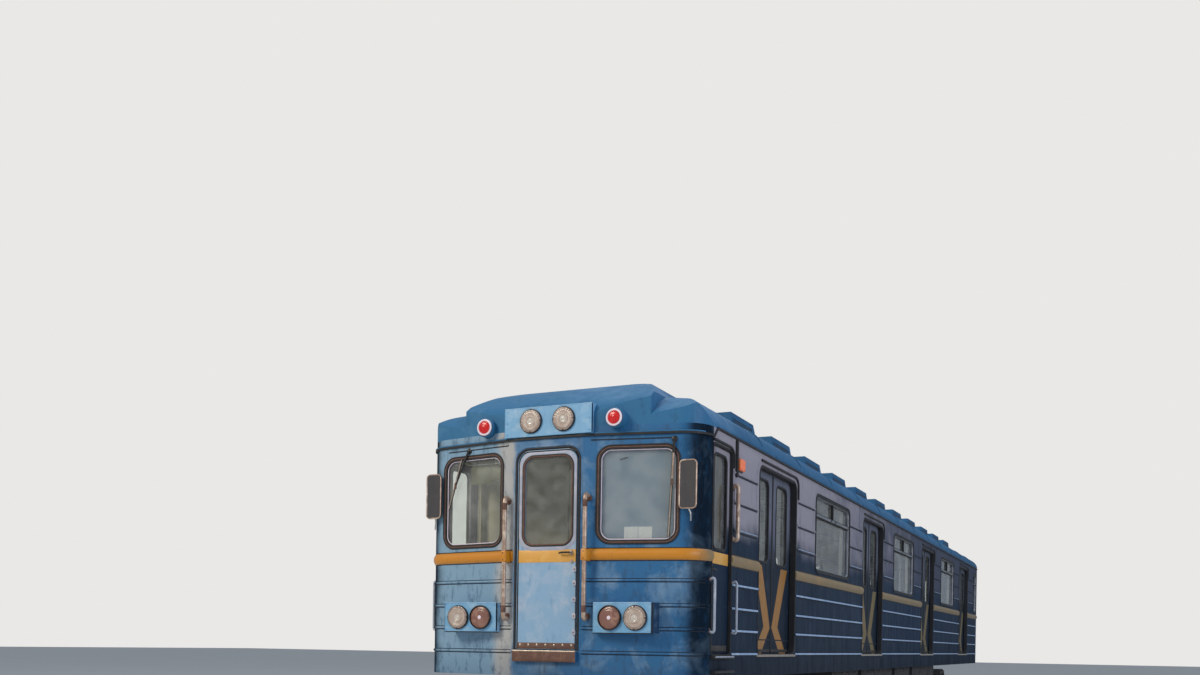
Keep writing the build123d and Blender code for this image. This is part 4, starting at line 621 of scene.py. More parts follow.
def rounded_loop(width: float, height: float, radius: float, steps: int = 5) -> Points:
    """Outline of a rectangle with quarter-circle corners.

    Args:
        width: Size along u.
        height: Size along v.
        radius: Corner radius.
        steps: Faces in each corner.

    Returns:
        The closed outline's points, as u and v.
    """
    radius = max(min(radius, width / 2, height / 2), 1e-4)
    angle = np.linspace(0, math.pi / 2, steps + 1)
    quarter = np.arange(4)[:, None] * math.pi / 2 + angle
    centres = np.array([(1, 1), (-1, 1), (-1, -1), (1, -1)]) * (width / 2 - radius, height / 2 - radius)
    loop = centres[:, None] + radius * np.stack([np.cos(quarter), np.sin(quarter)], axis=-1)
    return loop.reshape(-1, 2)


def circle(count: int) -> Points:
    """Unit circle of so many points, as u and v."""
    angle = np.linspace(0, 2 * math.pi, count, endpoint=False)
    return np.stack([np.cos(angle), np.sin(angle)], axis=-1)


def plate(
    size: tuple[float, float], radius: float, profile: Sequence[tuple[float, float]], origin: Sequence[float],
    facing: Facing, steps: int = 5, ring: bool = False
) -> Surface:
    """Rounded plate: its outline drawn in by each inset at each height, and closed.

    Args:
        size: Width and height of the outline.
        radius: Corner radius of the outline.
        profile: Pairs of inset and height, from the back to the front.
        origin: Centre of the back.
        facing: Which way the front looks.
        steps: Faces in each corner.
        ring: Whether the profile is a closed section, which gives a frame.

    Returns:
        The closed surface.
    """
    rows = [
        facing.put(rounded_loop(size[0] - 2 * inset, size[1] - 2 * inset, radius - inset, steps), height, origin)
        for inset, height in profile]
    return lattice(np.stack(rows), closed=ring)


def bevelled(thick: float, edge: float = 0.002) -> list[tuple[float, float]]:
    """Profile of a plate with an eased front edge."""
    return [(0, 0), (0, thick - edge), (edge * 0.3, thick - edge * 0.3), (edge, thick)]


def rim(
    size: tuple[float, float], radius: float, section: Sequence[tuple[float, float]], origin: Sequence[float],
    facing: Facing, steps: int = 6
) -> Surface:
    """Frame: a plate's outline with a closed section of insets and heights; its values are a plate's."""
    return plate(size, radius, section, origin, facing, steps, ring=True)


def lip(width: float, height: float, base: float = 0.0) -> list[tuple[float, float]]:
    """Half-round section of a rubber or moulding: a level back and an arched face.

    Args:
        width: Width of the section.
        height: Height of the arch.
        base: Height where the arch starts.

    Returns:
        The closed section, as pairs of inset and height.
    """
    angle = np.linspace(0, math.pi, 7)
    arch = [(width / 2 - width / 2 * math.cos(a), base + height * math.sin(a)) for a in angle]
    return arch + [(width, base - height * 0.5), (0, base - height * 0.5)]


def turned(
    profile: Sequence[tuple[float, float]], origin: Sequence[float], facing: Facing, count: int = 32
) -> Surface:
    """Turned piece: a profile of radius and height carried round an axis through the origin.

    Args:
        profile: Pairs of radius and height, from back to front.
        origin: Point on the axis at height zero.
        facing: Direction of the axis.
        count: Faces round the axis.

    Returns:
        The closed surface.
    """
    rows = [facing.put(circle(count) * max(radius, 1e-4), height, origin) for radius, height in profile]
    return lattice(np.stack(rows))


def bolt(
    radius: float, low: float, high: float, crown: float, top: float, facing: Facing,
    origin: Sequence[float] = (0, 0, 0), count: int = 6
) -> Surface:
    """Bolt or screw head: a prism from low to high, eased to the crown's radius at the top."""
    return turned([(radius, low), (radius, high), (crown, top), (0.001, top)], origin, facing, count)


def domed(
    radius: float, foot: float, level: float, rise: float, ripple: float, ribs: int, first: float, last: float,
    count: int
) -> list[tuple[float, float]]:
    """Profile of a pressed lens: part of a quarter ellipse, with a small sine wave on it.

    Args:
        radius: Radius of the lens.
        foot: Height of its edge.
        level: Height where the ellipse starts.
        rise: Height of the ellipse.
        ripple: Height of the wave.
        ribs: Waves in a full turn.
        first: Angle where the profile starts, in degrees.
        last: Angle where it ends.
        count: Points on it.

    Returns:
        Pairs of radius and height.
    """
    return [(radius, foot)] + [
        (radius * math.cos(a), level + rise * math.sin(a) + ripple * math.sin(a * ribs))
        for a in np.radians(np.linspace(first, last, count))]


def prism(outline: Points, start: float, end: float) -> Surface:
    """Closed piece whose outline of X and Z runs along the car from one Y to another."""
    rows = [np.stack([outline[:, 0], np.full(len(outline), y), outline[:, 1]], axis=-1) for y in (start, end)]
    return lattice(np.stack(rows))


def carried(loop: Points, path: Points, up: Sequence[float] = (0, 0, 1.0)) -> Surface:
    """Carries an outline along a path, square to it at every point.

    Args:
        loop: Closed outline as side and up.
        path: Points that the outline's zero passes through.
        up: Direction that the outline's second axis leans to.

    Returns:
        The closed surface.
    """
    path = np.asarray(path, float)
    ahead = np.gradient(path, axis=0)
    ahead /= np.linalg.norm(ahead, axis=1, keepdims=True)
    side = np.cross(ahead, np.asarray(up, float))
    side /= np.maximum(np.linalg.norm(side, axis=1, keepdims=True), 1e-9)
    above = np.cross(side, ahead)
    rows = path[:, None] + loop[None, :, :1] * side[:, None] + loop[None, :, 1:] * above[:, None]
    return lattice(rows)


def tube(
    path: Sequence[Sequence[float]], radius: float, count: int = 10, up: Sequence[float] = (0.1, 0.2, 1.0)
) -> Surface:
    """Round bar along a path.

    Args:
        path: Points of the centre line.
        radius: Radius of the bar.
        count: Faces round it.
        up: Any direction that the path never runs along.

    Returns:
        The closed surface.
    """
    return carried(radius * circle(count), np.asarray(path, float), up)


def bent(points: Sequence[Sequence[float]], radius: float, steps: int = 5) -> Points:
    """Rounds a broken line's corners with short quadratic arcs.

    Args:
        points: Corners of the line.
        radius: How far from each corner the arc starts.
        steps: Faces in each arc.

    Returns:
        Points of the smooth line.
    """
    corners = np.asarray(points, float)
    line = [corners[:1]]
    share = np.linspace(0, 1, steps + 1)[:, None]
    for before, here, after in zip(corners[:-2], corners[1:-1], corners[2:]):
        start = here + (before - here) / np.linalg.norm(before - here) * radius
        end = here + (after - here) / np.linalg.norm(after - here) * radius
        line.append((1 - share) ** 2 * start + 2 * share * (1 - share) * here + share**2 * end)
    line.append(corners[-1:])
    return np.concatenate(line)


def copies(surface: Surface, shifts: Sequence[Sequence[float]]) -> Surface:
    """The same surface at each shift.

    Args:
        surface: Points and faces.
        shifts: Moves along X, Y and Z.

    Returns:
        All copies as one surface.
    """
    points, faces = surface
    moves = np.asarray(shifts, float)
    all_points = (points[None] + moves[:, None]).reshape(-1, 3)
    step = (np.arange(len(moves)) * len(points))[:, None, None]
    return all_points, [(face[None] + step).reshape(-1, face.shape[1]) for face in faces]


def other_side(surface: Surface) -> Surface:
    """The surface mirrored to the other side of the car, still facing outwards."""
    points, faces = surface
    return points * (-1, 1, 1), [face[:, ::-1] for face in faces]


def turned_end(surface: Surface) -> Surface:
    """The surface turned half round, from the rear end to the cab end."""
    points, faces = surface
    return points * (-1, -1, 1), faces


def on_side(surface: Surface, side: str) -> Surface:
    """The surface as drawn for the left side, or its mirror image for the right."""
    return surface if side == "left" else other_side(surface)


def nose_line(x: Points) -> tuple[Points, Points]:
    """Plan of the nose at each X: level, then swept, then a corner arc.

    Args:
        x: Distances from the centre line.

    Returns:
        Y of the skin and the outward direction, as X and Y parts.
    """
    size = np.abs(x)
    swept = FRONT_Y + (size - NOSE_FLAT) * math.tan(SWEEP)
    reach = np.clip(size - CORNER_X, 0, CORNER * 0.9995)
    arc = CORNER_Y - np.sqrt(CORNER**2 - reach**2)
    start = CORNER_X + CORNER * math.sin(SWEEP)
    y = np.where(size < NOSE_FLAT, FRONT_Y, np.where(size < start, swept, arc))
    turn = np.where(size < NOSE_FLAT, 0, np.where(size < start, SWEEP, np.arcsin(reach / CORNER)))
    return y, np.stack([np.sign(x) * np.sin(turn), -np.cos(turn)], axis=-1)


def nose_path(low: float, high: float, height: float, out: float, count: int) -> Points:
    """Level line round one half of the nose.

    Args:
        low: X where it starts.
        high: X where it ends.
        height: Its height.
        out: Its distance out from the skin.
        count: Points on it.

    Returns:
        The points.
    """
    x = np.linspace(low, high, count)
    y, way = nose_line(x)
    return np.stack([x + way[:, 0] * out, y + way[:, 1] * out, np.full_like(x, height)], axis=-1)


def on_nose(surface: Surface) -> Surface:
    """Wraps a piece drawn flat on the plane of the nose door round the nose.

    Each point keeps its X and Z on the skin, and its distance ahead of the plane becomes its distance
    out from the skin.

    Args:
        surface: Surface drawn with the plane Y = FRONT_Y as the skin.

    Returns:
        The wrapped surface.
    """
    points, faces = surface
    ahead = FRONT_Y - points[:, 1]
    y, out = nose_line(points[:, 0])
    wrapped = np.stack([points[:, 0] + out[:, 0] * ahead, y + out[:, 1] * ahead, points[:, 2]], axis=-1)
    return wrapped, faces


def bar(
    start: tuple[float, float], end: tuple[float, float], width: float, low: float, high: float,
    origin: Sequence[float], facing: Facing
) -> Surface:
    """Flat bar with round ends between two drawn points.

    Args:
        start: First end, as u and v.
        end: Other end, as u and v.
        width: Width of the bar.
        low: Height of its back.
        high: Height of its front.
        origin: Where the drawing's zero goes.
        facing: Which way the front looks.

    Returns:
        The closed surface.
    """
    first, last = np.array(start), np.array(end)
    way = (last - first) / np.linalg.norm(last - first)
    turn = np.array([[way[0], way[1]], [-way[1], way[0]]])
    rows = []
    for inset, height in ((0, low), (0, high - 0.0015), (0.0015, high)):
        outline = rounded_loop(np.linalg.norm(last - first) + width - 2 * inset, width - 2 * inset, width / 2, 4)
        rows.append(facing.put(outline @ turn + (first + last) / 2, height, origin))
    return lattice(np.stack(rows))


def slab(outline: Points, low: float, high: float, origin: Sequence[float], facing: Facing) -> Surface:
    """Flat closed piece: an outline of u and v between its back's and its front's heights."""
    return lattice(np.stack([facing.put(outline, height, origin) for height in (low, high)]))


@dataclass
class Piece:
    """Collects the surfaces of one piece and turns them into one object, lifted onto the rail.

    Attributes:
        name: Name of the object.
        body: Body of the frame that it rides on.
        slot: The record's material slot; not used.
        points: Blocks of points.
        faces: Blocks of faces of one size each, already counted on.
        marks: Finish number for each block of faces.
        finishes: The finishes in use.
        total: Points collected so far.
    """

    name: str
    body: str
    slot: str = ""
    points: list[Points] = field(default_factory=list)
    faces: list[np.ndarray] = field(default_factory=list)
    marks: list[int] = field(default_factory=list)
    finishes: list[Finish | Glazing] = field(default_factory=list)
    total: int = 0

    def add(self, finish: Finish | Glazing, *surfaces: Surface) -> None:
        """Adds surfaces in one finish.

        Args:
            finish: The finish.
            *surfaces: The surfaces.
        """
        if finish not in self.finishes:
            self.finishes.append(finish)
        mark = self.finishes.index(finish)
        for points, faces in surfaces:
            self.points.append(points)
            self.faces += [face + self.total for face in faces]
            self.marks += [mark] * len(faces)
            self.total += len(points)

    def both(self, finish: Finish | Glazing, *surfaces: Surface) -> None:
        """Adds surfaces and their mirror images.

        Args:
            finish: The finish.
            *surfaces: The surfaces on the left side.
        """
        self.add(finish, *surfaces)
        self.add(finish, *(other_side(surface) for surface in surfaces))

    def build(self, *stands_for: str, smooth: float = 32.0) -> bpy.types.Object:
        """Makes the object, with its faces turned outwards.

        Args:
            *stands_for: Nodes of the frame that this piece replaces.
            smooth: Largest angle between faces that is shaded smooth, in degrees.

        Returns:
            The object.
        """
        mesh = bpy.data.meshes.new(self.name)
        points = (np.concatenate(self.points) + (0, 0, RAIL)).astype(np.float32)
        sizes = np.concatenate([np.full(len(face), face.shape[1]) for face in self.faces])
        corners = np.concatenate([face.ravel() for face in self.faces])
        mesh.vertices.add(len(points))
        mesh.vertices.foreach_set("co", points.ravel())
        mesh.loops.add(len(corners))
        mesh.loops.foreach_set("vertex_index", corners.astype(np.int32))
        mesh.polygons.add(len(sizes))
        mesh.polygons.foreach_set("loop_start", np.concatenate([[0], np.cumsum(sizes)[:-1]]).astype(np.int32))
        marks = np.concatenate([np.full(len(face), mark) for face, mark in zip(self.faces, self.marks)])
        for finish in self.finishes:
            mesh.materials.append(finish.build())
        mesh.polygons.foreach_set("material_index", marks.astype(np.int32))
        mesh.update(calc_edges=True)
        shaped = bmesh.new()
        shaped.from_mesh(mesh)
        bmesh.ops.recalc_face_normals(shaped, faces=shaped.faces)
        shaped.to_mesh(mesh)
        shaped.free()
        mesh.shade_smooth()
        mesh.set_sharp_from_angle(angle=math.radians(smooth))
        thing = bpy.data.objects.new(self.name, mesh)
        bpy.context.scene.collection.objects.link(thing)
        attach(thing, self.body)
        if stands_for:
            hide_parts(*stands_for)
        LOG.info("%s: %d faces on %s", self.name, len(sizes), self.body)
        return thing


@dataclass
class NoseLamps:
    """Head lamps, upper lamps, red marker lamps and the trim of the lamp boxes.

    Attributes:
        radius: Outer radius of a head lamp.
        low: Height of the lower lamps.
        inner: X of the domed lower lamps.
        outer: X of the flat lower lamps.
        high: Height of the upper lamps.
        upper: X of the upper lamps.
        face: Y of the lower lamp boxes' faces.
        top_face: Y of the upper box's face.
        marker: X and height of a marker lamp.
    """

    radius: float = 0.106
    low: float = 1.505
    inner: float = 0.625
    outer: float = 0.857
    high: float = 3.202
    upper: float = 0.158
    face: float = FRONT_Y - 0.045
    top_face: float = FRONT_Y - 0.025
    marker: tuple[float, float] = (0.627, 3.182)

    def build(self) -> None:
        """Builds all lamps."""
        self.flat_lamps()
        self.domed_lamps()
        self.marker_lamps()
        self.box_trim()

    def flat_lamp(self, x: float, z: float, face: float) -> dict[str, Surface]:
        """Draws one flat lamp: black rim, fluted ring, sunken step and middle disc.

        Args:
            x: Centre across the car.
            z: Centre height.
            face: Y of the face that it stands on.

        Returns:
            Surfaces by part name.
        """
        r = self.radius
        middle = (x, face, z)
        rim_ring = turned(
            [
                (r * 0.6, 0), (r, 0), (r, 0.01), (r * 0.985, 0.016), (r * 0.955, 0.018), (r * 0.94, 0.01),
                (r * 0.6, 0.008)],
            middle, FRONT, 40)
        angle = np.linspace(0, 2 * math.pi, 96, endpoint=False)
        wave = 1 + 0.012 * np.sin(angle * 24)
        zones = {
            "lens": [(0.94, 0.008), (0.93, 0.02), (0.86, 0.024), (0.76, 0.0245), (0.76, 0.008)],
            "ring": [
                (0.75, 0.008), (0.75, 0.0235), (0.66, 0.025), (0.6, 0.021), (0.47, 0.021), (0.44, 0.026),
                (0.31, 0.0265), (0.3, 0.008)],
            "bulb": [
                (0.29, 0.008), (0.29, 0.0255), (0.26, 0.0245), (0.2, 0.0225), (0.12, 0.0225), (0.06, 0.0255),
                (0.001, 0.0258)]}
        parts = {}
        for zone, stations in zones.items():
            rows = []
            for share, height in stations:
                ripple = wave if 0.5 < share < 0.9 else np.ones_like(wave)
                rows.append(FRONT.put(
                    circle(96) * (r * share * ripple)[:, None], height + (ripple - 1) * 0.08, middle))
            parts[zone] = lattice(np.stack(rows))
        screws = [(r * 0.9 * math.cos(a), 0, r * 0.9 * math.sin(a)) for a in np.radians((90, 180, 270, 360))]
        screw = turned(
            [(0.0055, 0.018), (0.0055, 0.0255), (0.0035, 0.0262), (0.0012, 0.0262), (0.001, 0.0225)], middle, FRONT,
            10)
        return parts | {"rim": rim_ring, "screws": copies(screw, screws)}

    def flat_lamps(self) -> None:
        """Builds the four flat lamps that replace the frame's plain ones."""
        piece = Piece("head_lamps", BODY, "lamp_cream")
        places = ((self.outer, self.low, self.face), (self.upper, self.high, self.top_face))
        for place in places:
            parts = self.flat_lamp(*place)
            piece.both(RUBBER, parts["rim"], parts["screws"])
            piece.both(BRONZE_LENS, parts["lens"])
            piece.both(CREAM, parts["ring"])
            piece.both(BULB, parts["bulb"])
        piece.build("headlamps", smooth=28)

    def domed_lamps(self) -> None:
        """Builds the two domed amber lamps in their deep dark bezels."""
        piece = Piece("amber_lamps", BODY, "lamp_cream")
        r = self.radius
        middle = (self.inner, self.face, self.low)
        bezel = [
            (r * 0.7, 0), (r, 0), (r, 0.018), (r * 0.98, 0.025), (r * 0.95, 0.0255), (r * 0.93, 0.02),
            (r * 0.92, 0.01), (r * 0.7, 0.008)]
        piece.both(WIPER, turned(bezel, middle, FRONT, 40))
        dome = domed(r * 0.92, 0.008, 0.008, 0.0175, 0.0006, 22, 2, 88, 26)
        piece.both(AMBER, turned(dome, middle, FRONT, 40))
        knob = [(r * 0.16, 0.0245), (r * 0.15, 0.0262), (r * 0.1, 0.0268), (0.001, 0.0268)]
        piece.both(PALE_TRIM, turned(knob, middle, FRONT, 20))
        piece.build(smooth=40)

    def marker_lamps(self) -> None:
        """Builds the red lamps: blue base, dark gasket, pale ring and a ribbed red dome."""
        piece = Piece("marker_lamp_lenses", BODY, "lamp_red")
        x, z = self.marker
        middle = (x, FRONT_Y - 0.014, z)
        piece.both(
            ROOF_BLUE,
            turned([(0.05, -0.15), (0.084, -0.15), (0.084, 0), (0.078, 0.004), (0.05, 0.004)], middle, FRONT, 36))
        piece.both(RUBBER, turned([(0.04, 0), (0.076, 0), (0.076, 0.01), (0.04, 0.01)], middle, FRONT, 36))
        ring = [
            (0.04, 0.006), (0.074, 0.006), (0.074, 0.014), (0.07, 0.019), (0.06, 0.02), (0.056, 0.015), (0.04, 0.01)]
        piece.both(PALE_TRIM, turned(ring, middle, FRONT, 36))
        dome = domed(0.056, 0.01, 0.013, 0.0175, 0.0007, 18, 0, 89, 22)
        piece.both(RED, turned(dome, middle, FRONT, 36))
        piece.build("marker_lamps", smooth=40)

    def box_trim(self) -> None:
        """Builds the folded edges, seams and screws of the lamp boxes."""
        piece = Piece("lamp_box_trim", BODY, "body_blue")
        middle = (0.735, self.face + 0.001, 1.5075)
        section = [(0, -0.02), (0, 0.002), (0.003, 0.0035), (0.006, 0.0035), (0.008, 0.001), (0.008, -0.02)]
        under = (0.735, self.face + 0.03, 1.376)
        top = (0, self.top_face + 0.001, 3.1975)
        screw = bolt(0.006, 0, 0.004, 0.004, 0.0055, FRONT, count=8)
        spots = [(x, self.top_face, top[2] + z) for x in (-0.395, 0.395) for z in (-0.1, 0, 0.1)]
        low_spots = [(middle[0] + x, self.face, middle[2] + z) for x in (-0.25, 0.25) for z in (-0.112, 0.112)]
        piece.both(LAMP_FACE, rim((0.53, 0.255), 0.006, section, middle, FRONT, 2))
        piece.both(RUBBER, plate((0.53, 0.008), 0.002, [(0, -0.02), (0, 0.026)], under, FRONT, 1))
        piece.add(LAMP_FACE, rim((0.84, 0.255), 0.006, section, top, FRONT, 2), copies(screw, spots))
        piece.both(LAMP_FACE, copies(screw, low_spots))
        # painted shade: a near-black strip on the outer cheek of each lower box
        cheek = plate(
            (0.04, 0.245), 0.004, [(0, -0.002), (0, 0.0008), (0.001, 0.0012)], (1.0, self.face + 0.022, middle[2]),
            LEFT, 2)
        piece.both(SHADOW_AND_SEAM_LINE, cheek)
        piece.build(smooth=30)


@dataclass
class CabWindows:
    """Rubbers, inner frames, screen board, blank cards and sun visor of the two front windows.

    Attributes:
        centre: X and Z of the window's middle.
        size: Width and height of the opening.
        corner: Corner radius of the opening.
    """

    centre: tuple[float, float] = (0.803, 2.5465)
    size: tuple[float, float] = (0.71, 0.841)
    corner: float = 0.13

    def build(self) -> None:
        """Builds both windows' trim."""
        self.frames()
        self.behind_glass()
        self.drips()

    def frames(self) -> None:
        """Builds the rubber lip, the rusty clamping strip and the pale inner frame."""
        piece = Piece("cab_window_frames", BODY, "rubber_black")
        middle = (self.centre[0], FRONT_Y, self.centre[1])
        outer = rim(self.size, self.corner, lip(0.014, 0.006, 0.004), middle, FRONT, 8)
        strip = self.ring(0.014, 0.01, 0.0065)
        inner = self.ring(0.024, 0.014, 0.0055)
        pale = self.ring(0.04, 0.008, -0.006)
        piece.both(RUBBER, on_nose(outer), on_nose(inner))
        piece.both(RUSTY, on_nose(strip))
        piece.both(PALE_TRIM, on_nose(pale))
        piece.build(smooth=40)

    def ring(self, inset: float, width: float, height: float) -> Surface:
        """Draws a flat ring of the window's outline, with its back on the rubber.

        Args:
            inset: How far in from the opening's edge it starts.
            width: Width of the ring.
            height: How far its face is ahead of the skin.

        Returns:
            The ring, drawn flat.
        """
        section = [
            (inset, height - 0.006), (inset, height - 0.001), (inset + 0.001, height),
            (inset + width - 0.001, height), (inset + width, height - 0.001), (inset + width, height - 0.006)]
        middle = (self.centre[0], FRONT_Y, self.centre[1])
        return rim(self.size, self.corner, section, middle, FRONT, 8)

    def behind_glass(self) -> None:
        """Builds the screen board with its two blank cards, and the visor on the driver's side."""
        x, z = self.centre
        screen = Piece("cab_blind", BODY, "lining_cream")
        board = plate((0.66, 0.79), 0.1, [(0, -0.046), (0, -0.04)], (x, FRONT_Y, z), FRONT, 8)
        screen.add(SCREEN, on_nose(board))
        cards = [
            plate((0.116, 0.105), 0.002, [(0, -0.0385), (0, -0.0365)], (x + shift, FRONT_Y, 2.225), FRONT, 1)
            for shift in (-0.06, 0.06)]
        screen.add(CARD, *(on_nose(card) for card in cards))
        screen.add(WIPER, on_nose(bar((-0.16, 0.3), (-0.1, 0.315), 0.01, -0.038, -0.034, (x, FRONT_Y, z), FRONT)))
        screen.build()
        visor = Piece("sun_visor", BODY, "wiper_black")
        panel = plate((0.22, 0.17), 0.03, bevelled(0.012), (-0.78, FRONT_Y + 0.2, 2.8), FRONT)
        other = plate((0.17, 0.14), 0.02, bevelled(0.008), (-0.585, FRONT_Y + 0.18, 2.81), FRONT)
        arm = tube(
            [(-0.66, FRONT_Y + 0.205, 2.9), (-0.66, FRONT_Y + 0.21, 3.02), (-0.66, FRONT_Y + 0.16, 3.08)], 0.006, 8,
            (1, 0, 0))
        rod = tube([(-0.92, FRONT_Y + 0.2, 2.895), (-0.5, FRONT_Y + 0.17, 2.895)], 0.005, 8)
        visor.add(VISOR, panel, other)
        visor.add(CHROME, arm, rod)
        visor.build()

    def drips(self) -> None:
        """Builds the drip bead over each window with the dark joint under it, and the bead under the roof."""
        piece = Piece("nose_drips", BODY, "body_blue")
        bead, under = rounded_loop(0.012, 0.014, 0.006, 3), rounded_loop(0.006, 0.008, 0.003, 2)
        for finish, loop, low, high, z, out in (
            (BODY_BLUE, bead, 0.4, 1.1, 3.022, 0.002), (ROOF_BLUE, bead, 0.3, 1.318, 3.069, 0.01),
            (RUBBER, under, 0.4, 1.1, 3.011, 0.002)
        ):
            piece.both(finish, carried(loop, nose_path(low, high, z, out, 28)))
        piece.build()


@dataclass
class Wipers:
    """Front wipers: motor boss, tapered arm, clip and blade.

    Attributes:
        rows: Side, then X and Z of the pivot, arm end, blade top and blade bottom.
    """

    rows: tuple[tuple, ...] = (
        (1, (1.105, 3.0), (1.092, 2.64), (1.098, 2.9), (1.066, 2.19)),
        (-1, (0.85, 3.005), (1.0, 2.7), (0.935, 2.93), (1.08, 2.5)))

    def build(self) -> None:
        """Builds both wipers in place of the frame's plain ones."""
        piece = Piece("wiper_gear", BODY, "wiper_black")
        origin = (0, FRONT_Y, 0)
        for side, pivot, elbow, top, bottom in self.rows:
            middle = (pivot[0], FRONT_Y, pivot[1])
            boss = turned(
                [
                    (0.026, 0), (0.026, 0.006), (0.02, 0.01), (0.013, 0.012), (0.013, 0.024), (0.008, 0.027),
                    (0.001, 0.027)],
                middle, FRONT, 20)
            arm = bar(pivot, elbow, 0.013, 0.015, 0.022, origin, FRONT)
            spring = bar(
                pivot, tuple(np.array(pivot) * 0.7 + np.array(elbow) * 0.3), 0.02, 0.014, 0.024, origin, FRONT)
            clip = bar((elbow[0], elbow[1] - 0.02), (elbow[0], elbow[1] + 0.02), 0.018, 0.014, 0.026, origin, FRONT)
            holder = bar(top, bottom, 0.012, 0.011, 0.019, origin, FRONT)
            blade = bar(top, bottom, 0.022, 0.008, 0.012, origin, FRONT)
            bare = CREAM_TUBE if side > 0 else WIPER
            parts = [
                (WIPER, boss), (bare, arm), (WIPER, spring), (RUSTY, clip), (WORN_STEEL, holder), (RUBBER, blade)]
            for finish, surface in parts:
                wrapped = on_nose(surface)
                piece.add(finish, wrapped if side > 0 else other_side(wrapped))
        piece.build("wipers")


@dataclass
class Mirrors:
    """Rear-view mirrors in enamelled frames, with their rods and clamps.

    Attributes:
        centre: X, Y and Z of the mirror's middle.
        size: Width and height.
        thick: Thickness of the shell.
        clamps: How far the rods' clamps sit above and below the middle.
        inward: How much nearer the car's middle a rod's foot is.
    """

    centre: tuple[float, float, float] = (1.24, FRONT_Y + 0.125, 2.615)
    size: tuple[float, float] = (0.16, 0.41)
    thick: float = 0.03
    clamps: float = 0.145
    inward: float = 0.03

    def build(self) -> None:
        """Builds both mirrors in place of the frame's plain ones."""
        piece = Piece("mirror_sets", BODY, "wiper_black")
        x, y, z = self.centre
        half = self.thick / 2
        front = (x, y + half, z)
        shell = plate(
            self.size, 0.04, [(0.012, 0), (0.004, 0.004), (0, 0.012), (0, 0.022), (0.002, 0.0245)], front, FRONT, 8)
        frame = rim(
            self.size, 0.04, [(0, 0.016), (0, 0.0265), (0.003, 0.03), (0.008, 0.03), (0.011, 0.0265), (0.011, 0.016)],
            front, FRONT, 8)
        face = plate((self.size[0] - 0.022, self.size[1] - 0.022), 0.03, [(0, 0.02), (0, 0.0268)], front, FRONT, 8)
        piece.both(WIPER, shell)
        piece.both(CREAM_TUBE, frame)
        piece.both(SILVERED, face)
        for height in (z - self.clamps, z + self.clamps):
            skin = nose_line(np.array([x - self.inward]))[0][0]
            rod = bent(
                [(x, y + half - 0.004, height), (x, y + half + 0.03, height), (x - self.inward, skin + 0.03, height)],
                0.012)
            clamp = turned(
                [(0.014, -0.016), (0.016, -0.012), (0.016, 0.004), (0.01, 0.01), (0.001, 0.01)],
                (x, y + half + 0.012, height), REAR, 12)
            piece.both(CHROME, tube(rod, 0.008, 10))
            piece.both(WIPER, clamp)
        tail = bent(
            [(x - 0.005, y + half, z - 0.19), (x + 0.01, y + half + 0.03, z - 0.235), (x + 0.012, y + 0.04, z - 0.3)],
            0.02)
        piece.both(CHROME, tube(tail, 0.006, 8))
        piece.build("mirrors")


